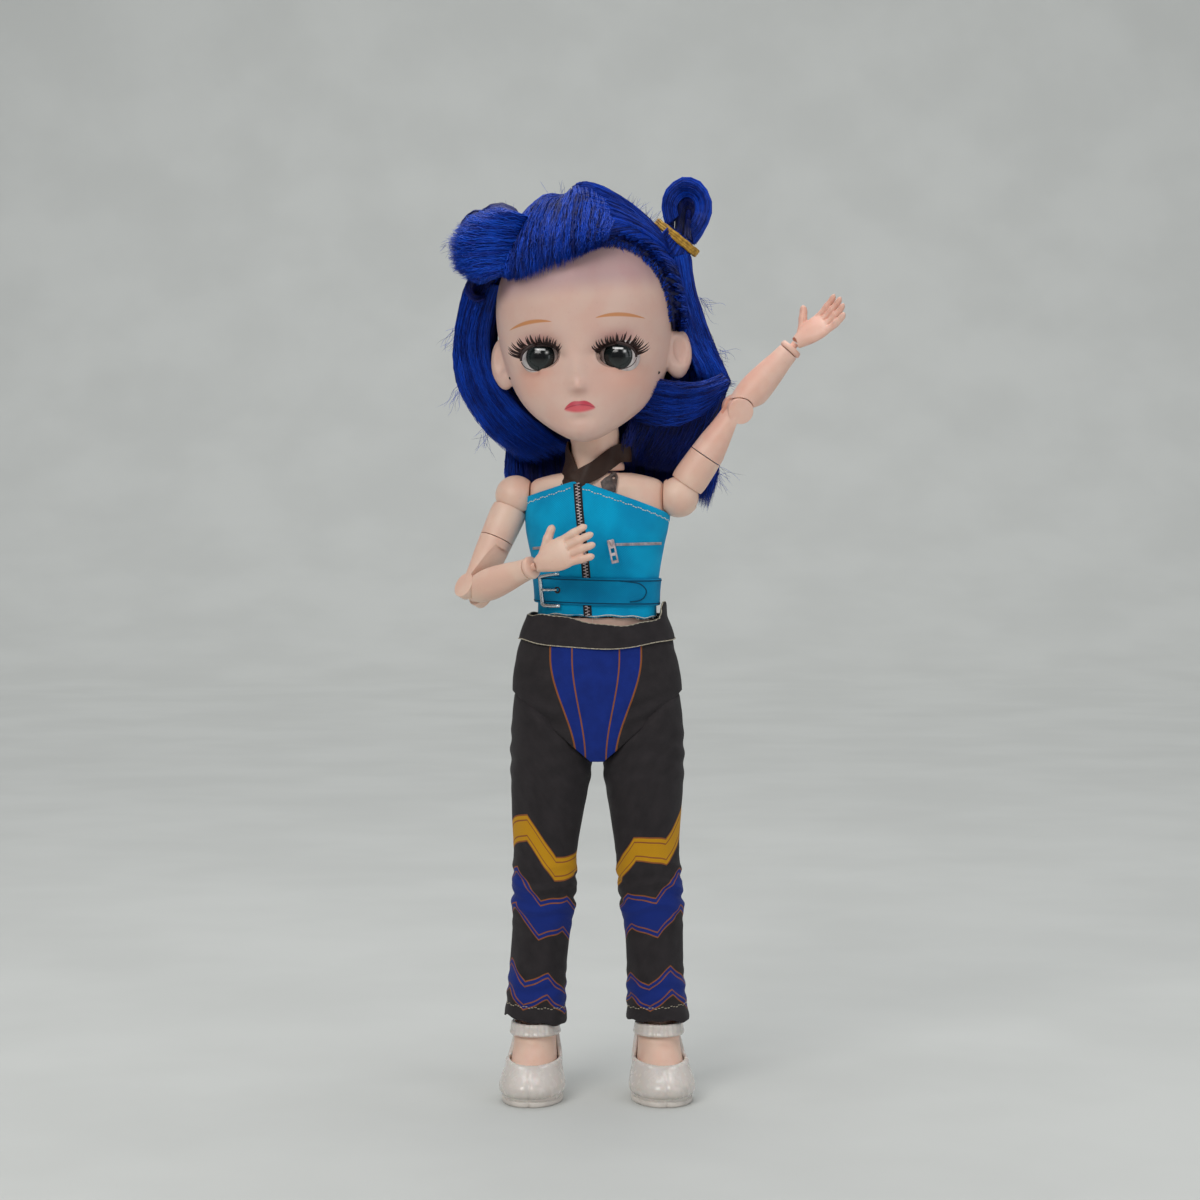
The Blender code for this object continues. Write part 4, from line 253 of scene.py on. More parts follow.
# Materials, built from nodes
class Field:
    """A number in a material, with the usual arithmetic."""

    def __init__(self, look, socket):
        self.look = look
        self.socket = socket

    def __add__(self, other):
        return self.look.math("ADD", self, other)

    def __radd__(self, other):
        return self.look.math("ADD", self, other)

    def __sub__(self, other):
        return self.look.math("SUBTRACT", self, other)

    def __rsub__(self, other):
        return self.look.math("SUBTRACT", other, self)

    def __mul__(self, other):
        return self.look.math("MULTIPLY", self, other)

    def __rmul__(self, other):
        return self.look.math("MULTIPLY", self, other)

    def __truediv__(self, other):
        return self.look.math("DIVIDE", self, other)

    def __pow__(self, other):
        return self.look.math("POWER", self, other)

    def __abs__(self):
        return self.look.math("ABSOLUTE", self)


class Look:
    def __init__(self, name, roughness, **sockets):
        self.material = bpy.data.materials.new(name)
        self.material.use_nodes = True
        self.tree = self.material.node_tree
        self.shader = self.tree.nodes["Principled BSDF"]
        self.set(roughness=roughness, **sockets)

    def plug(self, socket, value):
        if isinstance(value, Field):
            value = value.socket
        if isinstance(value, bpy.types.NodeSocket):
            self.tree.links.new(value, socket)
        else:
            socket.default_value = value

    def set(self, **sockets):
        for key, value in sockets.items():
            words = [word if word == "IOR" else word.capitalize() for word in key.split("_")]
            self.plug(self.shader.inputs[" ".join(words)], value)

    def node(self, kind, values, **settings):
        made = self.tree.nodes.new("ShaderNode" + kind)
        for key, value in settings.items():
            setattr(made, key, value)
        for key, value in values.items():
            self.plug(made.inputs[key], value)
        return made

    def math(self, kind, *values):
        made = self.node("Math", dict(enumerate(values)), operation=kind)
        return Field(self, made.outputs[0])

    def exp(self, value):
        return self.math("EXPONENT", value)

    def sine(self, value):
        return self.math("SINE", value)

    def spot(self, *pairs):
        """One at a place, falling to nothing around it: pairs of an offset and a spread."""
        total = None
        for off, spread in pairs:
            square = (off / spread) * (off / spread)
            total = square if total is None else total + square
        return self.exp(total * -1.0)

    def step(self, value, low, high):
        """Nothing below low, one above high, and smooth between them."""
        values = {"Value": value, "From Min": low, "From Max": high}
        made = self.node("MapRange", values, interpolation_type="SMOOTHSTEP")
        return Field(self, made.outputs["Result"])

    def mix(self, share, one, other):
        made = self.node("Mix", {}, data_type="RGBA")
        self.plug(made.inputs[0], share)
        self.plug(made.inputs[6], one)
        self.plug(made.inputs[7], other)
        return made.outputs[2]

    def place(self):
        coordinates = self.node("TexCoord", {})
        made = self.node("SeparateXYZ", {0: coordinates.outputs["Object"]})
        return [Field(self, made.outputs[i]) for i in range(3)]

    def cloth_place(self):
        """Metres across and along the cloth."""
        coordinates = self.node("TexCoord", {})
        made = self.node("SeparateXYZ", {0: coordinates.outputs["UV"]})
        return [Field(self, made.outputs[i]) for i in range(2)]

    def noise(self, size, detail=2.0, uv=False):
        coordinates = self.node("TexCoord", {})
        source = coordinates.outputs["UV" if uv else "Object"]
        mapped = self.node("Mapping", {"Vector": source, "Scale": [1 / size] * 3})
        made = self.node("TexNoise", {"Vector": mapped.outputs[0], "Scale": 1.0, "Detail": detail})
        return Field(self, made.outputs["Fac"])

    def attribute(self, name):
        made = self.node("Attribute", {}, attribute_name=name)
        return Field(self, made.outputs["Fac"])

    def bump(self, height, distance, strength=1.0):
        values = {"Height": height, "Distance": distance, "Strength": strength}
        self.plug(self.shader.inputs["Normal"], self.node("Bump", values).outputs[0])


def rgb(red, green, blue):
    """A colour as it is seen, made linear."""
    parts = [
        (part / 255 / 12.92) if part < 11 else ((part / 255 + 0.055) / 1.055) ** 2.4
        for part in (red, green, blue)
    ]
    return (*parts, 1.0)


def skin_look(name, base, flush, paint=None):
    look = Look(name, 0.42, subsurface_weight=0.12, specular_IOR_level=0.42)
    look.set(subsurface_scale=1.2 * mm, subsurface_radius=(1.0, 0.45, 0.25))
    patch = look.noise(9 * mm, 3)
    colour = look.mix(look.step(patch, 0.35, 0.70), base, flush)
    speck = look.step(look.noise(0.9 * mm, 1), 0.66, 0.80) * 0.12
    colour = look.mix(speck, colour, rgb(196, 140, 122))
    if paint:
        colour = paint(look, colour)
    look.set(base_color=colour)
    look.set(roughness=look.noise(3 * mm, 2) * 0.16 + 0.36)
    look.bump(look.noise(0.5 * mm, 2) + look.noise(3.5 * mm, 2) * 2.0, 0.02 * mm)
    return look


SKIN_BASE = rgb(236, 203, 183)
SKIN_FLUSH = rgb(232, 190, 170)


def face_paint(look, colour):
    """Lips, brows, blush and eye shadow, painted on the face, with painted shade under the nose and a painted
    shadow of the fringe.
    """
    x, y, z = look.place()
    front = look.step(y * -1.0, 8 * mm, 14 * mm)
    x = x + FACE_SHIFT
    wide = abs(x)
    blush = look.spot((wide - 15.5 * mm, 6.0 * mm), (z - 7.0 * mm, 4.2 * mm)) * front
    colour = look.mix(blush * 0.28, colour, rgb(238, 150, 118))
    shadow = look.spot((wide - 13.5 * mm, 6.0 * mm), (z - 20.6 * mm, 2.2 * mm)) * front
    colour = look.mix(shadow * 0.34, colour, rgb(214, 120, 128))
    under = look.spot((wide - 13.0 * mm, 6.0 * mm), (z - 10.4 * mm, 1.4 * mm)) * front
    colour = look.mix(under * 0.30, colour, rgb(226, 140, 112))
    # Painted shade under the nose
    nostril_shade = look.spot((x, 2.6 * mm), (z - 3.9 * mm, 0.9 * mm)) * front
    colour = look.mix(nostril_shade * 0.26, colour, rgb(176, 120, 104))
    brow_across = (wide - 14.4 * mm) / (7.4 * mm)
    brow_line = z - 26.9 * mm - x * 0.02 + brow_across * brow_across * (1.1 * mm) + brow_across * (0.5 * mm)
    thick = (1.0 - brow_across * brow_across) * 0.62 * mm + 0.10 * mm
    brow = 1.0 - look.step(abs(brow_line) / thick, 0.55, 1.15)
    brow = brow * (1.0 - look.step(abs(brow_across), 0.92, 1.06)) * front
    colour = look.mix(brow * 0.85, colour, rgb(206, 132, 66))
    across = x / (5.1 * mm)
    bend = across * across
    middle = z + 0.3 * mm + bend * 1.2 * mm
    bow = look.exp(bend * -9.0) * 0.6 * mm
    room = 1.0 - bend
    top = room * 1.65 * mm - bow - middle
    bottom = middle + room * 2.5 * mm + bend * 0.25 * mm
    lips = look.step(top, -0.16 * mm, 0.22 * mm) * look.step(bottom, -0.50 * mm, 0.55 * mm)
    lips = lips * (1.0 - look.step(abs(across), 0.86, 1.04)) * front
    tone = look.mix(look.step(z + 0.3 * mm, -1.3 * mm, 0.5 * mm), rgb(222, 84, 98), rgb(196, 24, 66))
    colour = look.mix(lips * 0.92, colour, tone)
    parted = look.spot((middle + 0.15 * mm, 0.17 * mm)) * lips
    colour = look.mix(parted * 0.55, colour, rgb(120, 18, 40))
    # Painted shadow of the fringe on the forehead, partly a real purple stain of dye from the hair
    fringe_shadow_and_dye = look.step(z - x * 0.03, 33.0 * mm, 40 * mm) * front
    return look.mix(fringe_shadow_and_dye * 0.42, colour, rgb(152, 108, 136))


SKIN = skin_look("skin", SKIN_BASE, SKIN_FLUSH)
PINK_SKIN = skin_look("skin of the hands", rgb(238, 198, 180), rgb(231, 180, 160))
# The face's skin is darker than the body's, as painted shade cast by the hair
FACE = skin_look("skin of the face", rgb(226, 192, 177), rgb(224, 184, 169), face_paint)

INNER = Look("moulded joint parts", 0.55, base_color=rgb(226, 190, 172))
INNER.set(base_color=INNER.mix(INNER.noise(4 * mm), rgb(228, 194, 176), rgb(206, 166, 148)))
INNER.bump(INNER.noise(0.6 * mm), 0.03 * mm)


def hair_look(name, dark, bright):
    """Nylon hair: each strand has its own tint, with a soft sheen along it."""
    look = Look(name, 0.42, specular_IOR_level=0.32, anisotropic=0.5)
    tint = look.attribute("tint") * 0.72 + look.noise(6 * mm, 2) * 0.50 - 0.11
    look.set(base_color=look.mix(look.step(tint, 0.10, 0.95), dark, bright))
    look.set(roughness=look.noise(0.5 * mm, 2) * 0.20 + 0.32)
    look.bump(look.noise(0.35 * mm, 2), 0.03 * mm)
    return look


# One hair colour in three copies: plain, brighter as painted light, and darker as painted shade
HAIR = hair_look("hair", rgb(2, 15, 88), rgb(14, 82, 220))
LIT_HAIR = hair_look("hair in the light", rgb(4, 34, 138), rgb(16, 92, 226))
SHADED_HAIR = hair_look("hair in shade", rgb(2, 8, 56), rgb(6, 36, 132))

LASH = Look("lashes", 0.5, base_color=rgb(34, 20, 18))
LASH.set(base_color=LASH.mix(LASH.noise(1.5 * mm), rgb(22, 12, 12), rgb(66, 38, 34)))
LASH.bump(LASH.noise(0.3 * mm), 0.02 * mm)


def eye_look():
    look = Look("eyes", 0.10, specular_IOR_level=0.35, coat_weight=0.25, coat_roughness=0.05)
    x, _, z = look.place()
    reach = look.math("SQRT", x * x + z * z)
    turn = look.math("ARCTAN2", z, x)
    rays = look.sine(turn * 46.0 + look.noise(1.2 * mm) * 9.0) * 0.5 + 0.5
    iris = look.mix(rays * look.step(reach, 1.6 * mm, 3.8 * mm), rgb(20, 24, 24), rgb(46, 54, 54))
    iris = look.mix(look.step(reach, 3.9 * mm, 4.5 * mm), iris, rgb(12, 14, 16))
    iris = look.mix(1.0 - look.step(reach, 1.5 * mm, 2.2 * mm), iris, rgb(5, 6, 7))
    veins = look.noise(1.6 * mm, 4)
    white = look.mix(look.step(veins, 0.45, 0.7), rgb(214, 206, 204), rgb(196, 180, 178))
    colour = look.mix(look.step(reach, 4.45 * mm, 4.75 * mm), iris, white)
    # Painted highlight: a white streak and a spot on the eye, standing for the reflection of a lamp
    lit = z - 2.3 * mm + x * 0.12
    highlight_streak = look.step(abs(lit), 0.42 * mm, 0.16 * mm) * look.step(abs(x - 0.2 * mm), 1.9 * mm, 1.4 * mm)
    point = look.spot((x - 2.3 * mm, 0.42 * mm), (z - 1.2 * mm, 0.42 * mm))
    painted_highlight = look.math("MINIMUM", highlight_streak + point * 0.8, 1.0)
    look.set(base_color=look.mix(painted_highlight, colour, rgb(250, 250, 250)))
    look.set(roughness=0.10 + look.step(reach, 4.5 * mm, 5.2 * mm) * 0.22)
    look.bump(rays, 0.01 * mm, 0.3)
    return look


EYE = eye_look()


def weave(look, across, along, thread, depth):
    """Threads over and under each other, as a height."""
    warp = look.sine(across * (2 * math.pi / thread))
    weft = look.sine(along * (2 * math.pi / thread))
    height = warp * weft * 0.5 + 0.5
    look.bump(height + look.noise(0.5 * mm, 2, uv=True) * 0.7, depth)
    return height


def top_look(name, low, high):
    look = Look(name, 0.78, sheen_weight=0.05, specular_IOR_level=0.12)
    across, along = look.cloth_place()
    threads = weave(look, across, along, 0.62 * mm, 0.06 * mm)
    cloudy = look.noise(12 * mm, 3, uv=True)
    colour = look.mix(look.step(cloudy, 0.30, 0.72), low, high)
    fade = look.step(look.noise(1.1 * mm, 3, uv=True), 0.60, 0.78) * 0.16
    colour = look.mix(fade, colour, rgb(20, 164, 206))
    colour = look.mix(threads * 0.22, colour, rgb(0, 78, 112))
    look.set(base_color=colour, roughness=0.86 - threads * 0.16)
    return look


TEAL = top_look("teal cotton", rgb(0, 150, 200), rgb(0, 176, 226))
BELT = top_look("teal belt cotton", rgb(0, 124, 172), rgb(0, 146, 194))
TEAL_LINE = top_look("dark teal piping", rgb(4, 62, 92), rgb(6, 74, 104))


def black_cloth(name, print_on=None):
    look = Look(name, 0.85, sheen_weight=0.06, specular_IOR_level=0.2)
    across, along = look.cloth_place()
    threads = weave(look, across, along, 0.50 * mm, 0.05 * mm)
    colour = look.mix(look.noise(5 * mm, 3, uv=True), rgb(34, 31, 33), rgb(58, 53, 55))
    if print_on:
        colour = print_on(look, colour, across, along)
    colour = look.mix(threads * 0.16, colour, rgb(8, 8, 10))
    lint = look.step(look.noise(0.7 * mm, 2, uv=True), 0.72, 0.80) * 0.18
    colour = look.mix(lint, colour, rgb(120, 116, 112))
    look.set(base_color=colour, roughness=0.90 - threads * 0.14)
    return look


MUSTARD = rgb(206, 150, 24)
ROYAL = rgb(22, 46, 128)
PIPING = rgb(150, 88, 46)


def chevrons(look, colour, across, along, low, high, period, rise, print_colour):
    """A printed band of chevrons between two heights, edged and lined with piping."""
    fold = look.math("PINGPONG", across / period, 0.5) * 2.0
    height = along + fold * rise
    band = look.step(height, low, low + 0.15 * mm) * look.step(height, high + 0.15 * mm, high)
    colour = look.mix(band, colour, print_colour)
    for place in (low, low + 1.6 * mm, high - 1.6 * mm, high):
        line = look.step(abs(height - place), 0.30 * mm, 0.16 * mm)
        colour = look.mix(line, colour, PIPING)
    return colour


def leg_print(look, colour, across, along):
    colour = chevrons(look, colour, across, along, 8 * mm, 17 * mm, 20 * mm, 5 * mm, ROYAL)
    colour = chevrons(look, colour, across, along, 33 * mm, 46 * mm, 22 * mm, 6 * mm, ROYAL)
    return chevrons(look, colour, across, along, 56 * mm, 64 * mm, 24 * mm, 7 * mm, MUSTARD)


def hips_print(look, colour, across, along):
    """The blue panel down the front, edged and lined with piping."""
    x, y, z = look.place()
    front = look.step(y * -1.0, 0.0, 2 * mm)
    half = look.step(z, -13 * mm, 20 * mm) * 8.2 * mm + 6.4 * mm
    off = abs(x + 0.4 * mm)
    blue = look.mix(look.noise(4 * mm, 3), rgb(14, 36, 112), rgb(22, 52, 146))
    colour = look.mix(look.step(half - off, -0.1 * mm, 0.1 * mm) * front, colour, blue)
    lines = look.step(abs(half - off), 0.36 * mm, 0.20 * mm)
    inner = look.step(abs(off - half * 0.52), 0.30 * mm, 0.16 * mm)
    return look.mix(look.math("MAXIMUM", lines, inner) * front, colour, PIPING)


HIPS = black_cloth("black cotton of the hips", hips_print)
LEG = black_cloth("black cotton of the legs", leg_print)
BAND = black_cloth("black waistband")

RIBBON = Look("brown satin", 0.42, specular_IOR_level=0.3, anisotropic=0.6)
_, strap_along = RIBBON.cloth_place()
strap_rib = RIBBON.sine(strap_along * (2 * math.pi / (0.42 * mm))) * 0.5 + 0.5
strap_tone = RIBBON.mix(RIBBON.noise(5 * mm, 3, uv=True), rgb(32, 17, 11), rgb(66, 40, 25))
RIBBON.set(base_color=RIBBON.mix(strap_rib * 0.25, strap_tone, rgb(24, 12, 8)))
RIBBON.set(roughness=RIBBON.noise(2 * mm, uv=True) * 0.20 + 0.34)
RIBBON.bump(strap_rib, 0.04 * mm)


def plain_look(name, low, high, roughness, size=2 * mm, depth=0.03 * mm, **sockets):
    look = Look(name, roughness, **sockets)
    look.set(base_color=look.mix(look.step(look.noise(size, 3), 0.3, 0.7), low, high))
    look.set(roughness=look.noise(size / 3, 2) * 0.22 + roughness - 0.11)
    look.bump(look.noise(size / 5, 2), depth)
    return look


METAL = plain_look("zip metal", rgb(176, 156, 158), rgb(222, 206, 206), 0.42, metallic=0.6)
SILVER = plain_look("buckle metal", rgb(186, 190, 192), rgb(226, 228, 230), 0.26, metallic=0.9)
TAPE = plain_look("zip tape", rgb(18, 16, 18), rgb(40, 34, 36), 0.85, size=0.8 * mm)
EYELET = plain_look("black eyelet", rgb(10, 10, 12), rgb(26, 26, 28), 0.35)
THREAD = plain_look("pale thread", rgb(206, 204, 190), rgb(236, 234, 222), 0.8, size=0.6 * mm)
SEAM = plain_look("pale overlock thread", rgb(150, 140, 120), rgb(196, 188, 168), 0.8, size=0.6 * mm)
ELASTIC = plain_look("gold elastic", rgb(150, 108, 24), rgb(204, 158, 52), 0.45, size=1.2 * mm)
TAB = plain_look("dark tab", rgb(52, 42, 40), rgb(92, 78, 74), 0.5, size=1.2 * mm)
VINYL = plain_look(
    "white vinyl", rgb(212, 204, 196), rgb(222, 214, 207), 0.26, size=7 * mm, depth=0.02 * mm,
    coat_weight=0.25, coat_roughness=0.16, subsurface_weight=0.10, subsurface_scale=1.0 * mm,
)
SOLE_VINYL = plain_look("sole vinyl", rgb(214, 206, 198), rgb(228, 220, 212), 0.42, size=5 * mm)


# Mesh building
def between(table, share):
    """The row at a share of the table's first column, on a smooth curve through its rows."""
    rows = sorted(table)
    i = 0
    while i < len(rows) - 2 and rows[i + 1][0] <= share:
        i += 1
    a, b = rows[i], rows[i + 1]
    before, after = rows[max(i - 1, 0)], rows[min(i + 2, len(rows) - 1)]
    t = (share - a[0]) / (b[0] - a[0])
    found = []
    for k in range(1, len(a)):
        leave = (b[k] - before[k]) / (b[0] - before[0]) * (b[0] - a[0])
        arrive = (after[k] - a[k]) / (after[0] - a[0]) * (b[0] - a[0])
        found.append(
            (2 * t**3 - 3 * t**2 + 1) * a[k] + (t**3 - 2 * t**2 + t) * leave
            + (3 * t**2 - 2 * t**3) * b[k] + (t**3 - t**2) * arrive
        )
    return found


def ring(z, half_width, front, back, sides=48, x=0.0, y=0.0):
    angle = np.linspace(0, 2 * math.pi, sides, endpoint=False)
    depth = np.where(np.sin(angle) > 0, back, front)
    return np.stack([x + half_width * np.cos(angle), y + depth * np.sin(angle), np.full(sides, z)], 1)


def link(name, mesh, look, matrix):
    if look:
        mesh.materials.append(look.material)
    mesh.shade_smooth()
    obj = bpy.data.objects.new(name, mesh)
    bpy.context.scene.collection.objects.link(obj)
    obj.matrix_world = matrix
    return obj


def surface(name, rows, look, matrix, around=True, caps=True, loop=False):
    """A skin through rows of points. Its UV runs in metres across and along the rows."""
    rows = np.asarray(rows)
    count, sides = rows.shape[:2]
    faces = []
    runs = count if loop else count - 1
    wrap = sides if around else sides - 1
    for i in range(runs):
        for j in range(wrap):
            k = (j + 1) % sides
            faces.append((
                i * sides + j, i * sides + k, (i + 1) % count * sides + k, (i + 1) % count * sides + j,
            ))
    if caps and around and not loop:
        faces.append(tuple(range(sides))[::-1])
        faces.append(tuple((count - 1) * sides + j for j in range(sides)))
    mesh = bpy.data.meshes.new(name)
    mesh.from_pydata(rows.reshape(-1, 3).tolist(), [], faces)
    closed = np.concatenate([rows, rows[:, :1]], 1) if around else rows
    across = np.linalg.norm(np.diff(closed, axis=1), axis=2).mean(0)
    across = np.concatenate([[0.0], np.cumsum(across)])
    following = np.concatenate([rows, rows[:1]]) if loop else rows
    along = np.linalg.norm(np.diff(following, axis=0), axis=2).mean(1)
    along = np.concatenate([[0.0], np.cumsum(along)])
    layer = mesh.uv_layers.new(name="cloth")
    uv = np.zeros((len(mesh.loops), 2))
    at = 0
    for i in range(runs):
        for j in range(wrap):
            uv[at] = (across[j], along[i])
            uv[at + 1] = (across[j + 1], along[i])
            uv[at + 2] = (across[j + 1], along[i + 1])
            uv[at + 3] = (across[j], along[i + 1])
            at += 4
    layer.data.foreach_set("uv", uv.ravel())
    obj = link(name, mesh, look, matrix)
    return obj


def tidy_normals(obj, angle=None):
    bm = bmesh.new()
    bm.from_mesh(obj.data)
    bmesh.ops.recalc_face_normals(bm, faces=bm.faces)
    bm.to_mesh(obj.data)
    bm.free()
    obj.data.shade_smooth()
    if angle:
        obj.data.set_sharp_from_angle(angle=math.radians(angle))
    return obj


def from_bmesh(name, bm, look, matrix):
    mesh = bpy.data.meshes.new(name)
    bmesh.ops.recalc_face_normals(bm, faces=bm.faces)
    bm.to_mesh(mesh)
    bm.free()
    return link(name, mesh, look, matrix)


def block(size, centre=(0, 0, 0), matrix=None):
    bm = bmesh.new()
    place = Matrix.Translation(centre) @ Matrix.Diagonal((*size, 1.0))
    bmesh.ops.create_cube(bm, size=1.0, matrix=place)
    return from_bmesh("tool", bm, None, matrix or Matrix())


def orb(radius, centre=(0, 0, 0), scale=(1, 1, 1), matrix=None, sides=40):
    bm = bmesh.new()
    place = Matrix.Translation(centre) @ Matrix.Diagonal((*scale, 1.0))
    bmesh.ops.create_uvsphere(bm, u_segments=sides, v_segments=sides // 2, radius=radius, matrix=place)
    return from_bmesh("tool", bm, None, matrix or Matrix())


def bar(radius, start, end, matrix=None, sides=32):
    start, end = Vector(start), Vector(end)
    bm = bmesh.new()
    run = end - start
    place = Matrix.Translation((start + end) / 2) @ run.to_track_quat("Z", "Y").to_matrix().to_4x4()
    bmesh.ops.create_cone(
        bm, cap_ends=True, segments=sides, radius1=radius, radius2=radius, depth=run.length, matrix=place
    )
    return from_bmesh("tool", bm, None, matrix or Matrix())


def settle(obj):
    """Applies the modifiers of a piece."""
    bpy.context.view_layer.update()
    graph = bpy.context.evaluated_depsgraph_get()
    mesh = bpy.data.meshes.new_from_object(obj.evaluated_get(graph))
    obj.modifiers.clear()
    obj.data = mesh
    return obj


def combine(obj, operation, *tools):
    for one in tools:
        modifier = obj.modifiers.new("shape", "BOOLEAN")
        modifier.operation = operation
        modifier.solver = "EXACT"
        modifier.object = one
    settle(obj)
    for one in tools:
        bpy.data.objects.remove(one, do_unlink=True)
    return obj


def soften(obj, width=0.25 * mm, angle=38.0, segments=2):
    """Rounds the sharp edges of a moulded piece."""
    modifier = obj.modifiers.new("edges", "BEVEL")
    modifier.width = width
    modifier.segments = segments
    modifier.limit_method = "ANGLE"
    modifier.angle_limit = math.radians(angle)
    modifier.use_clamp_overlap = True
    settle(obj)
    obj.data.shade_smooth()
    obj.data.set_sharp_from_angle(angle=math.radians(50))
    return obj


def melt(obj, voxel, rounds):
    """Turns shapes that overlap into one smooth skin."""
    remesh = obj.modifiers.new("skin", "REMESH")
    remesh.mode = "VOXEL"
    remesh.voxel_size = voxel
    remesh.use_smooth_shade = True
    smooth = obj.modifiers.new("smooth", "SMOOTH")
    smooth.factor = 0.5
    smooth.iterations = rounds
    settle(obj)
    obj.data.shade_smooth()
    return obj


def merge(name, objects, look):
    """One object out of several that share a place in the world."""
    bm = bmesh.new()
    first = objects[0]
    for obj in objects:
        mesh = obj.data.copy()
        mesh.transform(first.matrix_world.inverted() @ obj.matrix_world)
        bm.from_mesh(mesh)
        bpy.data.meshes.remove(mesh)
    mesh = bpy.data.meshes.new(name)
    bm.to_mesh(mesh)
    bm.free()
    made = link(name, mesh, look, first.matrix_world.copy())
    mesh.materials.clear()
    mesh.materials.append(look.material)
    for obj in objects:
        bpy.data.objects.remove(obj, do_unlink=True)
    return made


def finish_piece(obj, body, slot, *nodes):
    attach(obj, body)
    if nodes:
        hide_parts(*nodes)
    return obj


def limb(name, shares, length, width, depth, look, matrix, end=1.0, top=None, count=28, sides=48):
    first = shares[0][0] if top is None else max(top / length, shares[0][0])
    rows = []
    for share in np.linspace(first, end, count):
        wide, deep = between(shares, share)
        rows.append(ring(-share * length, wide * width / 2, deep * depth / 2, deep * depth / 2, sides))
    return tidy_normals(surface(name, rows, look, matrix))


def sweep(path, radius, sides=8, closed=False, flat=1.0):
    """Rows of points round a path."""
    path = [Vector(point) for point in path]
    count = len(path)
    rows = []
    normal = Vector((0.13, 0.37, 0.92))
    for i in range(count):
        if closed:
            ahead = path[(i + 1) % count] - path[i - 1]
        else:
            ahead = path[min(i + 1, count - 1)] - path[max(i - 1, 0)]
        ahead.normalize()
        side = ahead.cross(normal).normalized()
        normal = side.cross(ahead).normalized()
        size = radius[i] if isinstance(radius, (list, tuple, np.ndarray)) else radius
        row = []
        for j in range(sides):
            angle = 2 * math.pi * j / sides
            row.append(path[i] + side * math.cos(angle) * size + normal * math.sin(angle) * size * flat)
        rows.append([tuple(point) for point in row])
    return rows


def tube(name, path, radius, look, matrix, sides=8, closed=False, flat=1.0):
    rows = sweep(path, radius, sides, closed, flat)
    return tidy_normals(surface(name, rows, look, matrix, caps=not closed, loop=closed))


def many_tubes(name, paths, radius, look, matrix, sides=6):
    """Several short tubes, such as stitches, in one mesh."""
    points = []
    faces = []
    for path in paths:
        rows = sweep(path, radius, sides)
        base = len(points)
        for row in rows:
            points.extend(row)
        for i in range(len(rows) - 1):
            for j in range(sides):
                k = (j + 1) % sides
                faces.append((base + i * sides + j, base + i * sides + k,
                              base + (i + 1) * sides + k, base + (i + 1) * sides + j))
        faces.append(tuple(base + j for j in range(sides))[::-1])
        faces.append(tuple(base + (len(rows) - 1) * sides + j for j in range(sides)))
    mesh = bpy.data.meshes.new(name)
    mesh.from_pydata([tuple(point) for point in points], [], faces)
    return tidy_normals(link(name, mesh, look, matrix))


def rounded(name, size, look, matrix, edge=0.2 * mm):
    """A small moulded block with rounded edges."""
    bm = bmesh.new()
    bmesh.ops.create_cube(bm, size=1.0, matrix=Matrix.Diagonal((*size, 1.0)))
    bmesh.ops.bevel(bm, geom=list(bm.edges), offset=edge, segments=3, affect="EDGES", profile=0.5)
    return from_bmesh(name, bm, look, matrix)


# Chest, belly and neck
def chest_section(z, extra=0.0):
    wide, front, back = between(CHEST_SHARES, min(max(z / CHEST_HEIGHT, 0.0), 1.0))
    return (
        wide * CHEST_WIDTH / 2 + extra,
        front * CHEST_DEPTH / 2 + extra,
        back * CHEST_DEPTH / 2 + extra,
    )


chest_rows = []
for share in np.linspace(0.0, 1.0, 64):
    share = 1 - (1 - share) ** 1.6
    z = max(share * CHEST_HEIGHT, GAP)
    row = ring(z, *chest_section(z), 96)
    angle = np.linspace(0, 2 * math.pi, 96, endpoint=False)
    front = np.maximum(-np.sin(angle), 0)
    side = np.abs(row[:, 0])
    bone = (
        np.exp(-(((z - 41.0 * mm - side * 0.10) / (1.5 * mm)) ** 2))
        * np.exp(-(((side - 10 * mm) / (6 * mm)) ** 2))
    )
    notch = np.exp(-(((z - 42.5 * mm) / (2.2 * mm)) ** 2)) * np.exp(-((side / (2.2 * mm)) ** 2))
    row[:, 1] -= front * (0.5 * mm * bone - 0.5 * mm * notch)
    chest_rows.append(row)
chest = tidy_normals(surface("chest_skin", chest_rows, SKIN, waist_at))
wide = 2 * CHEST_HEIGHT
chest_tools = []
for side in (1, -1):
    centre = (side * (CHEST_WIDTH / 2 + wide / 2), 0, wide / 2)
    chest_tools.append(block((wide, wide, wide), centre, waist_at))
chest_tools.append(bar(NECK_FOOT + 2 * GAP, (0, 0, 0), (0, 0, 3 * mm), neck_at, 64))
combine(chest, "DIFFERENCE", *chest_tools)
soften(chest, 0.35 * mm, 30)
finish_piece(chest, "chest", "skin", "chest_front", "chest_back")

neck_outline = [
    (6.6 * math.sin(math.radians(turn)), 22 + 6.6 * math.cos(math.radians(turn))) for turn in range(0, 118, 8)
]
neck_outline += [
    (5.4, 18.0), (6.6, 16.4), (7.7, 14.4), (7.95, 12.0), (7.75, 9.0), (7.95, 5.5), (8.5, 3.4), (8.95, 2.3),
]
neck_outline += [(9.0, 1.6), (9.0, 0.7), (8.8, 0.35), (7.6, 0.3)]
neck_rows = [
    ring(z * mm, max(radius, 0.02) * mm, max(radius, 0.02) * mm, max(radius, 0.02) * mm, 64)
    for radius, z in neck_outline
]
neck = tidy_normals(surface("neck_skin", neck_rows, SKIN, neck_at))
finish_piece(neck, "neck", "skin", "neck")

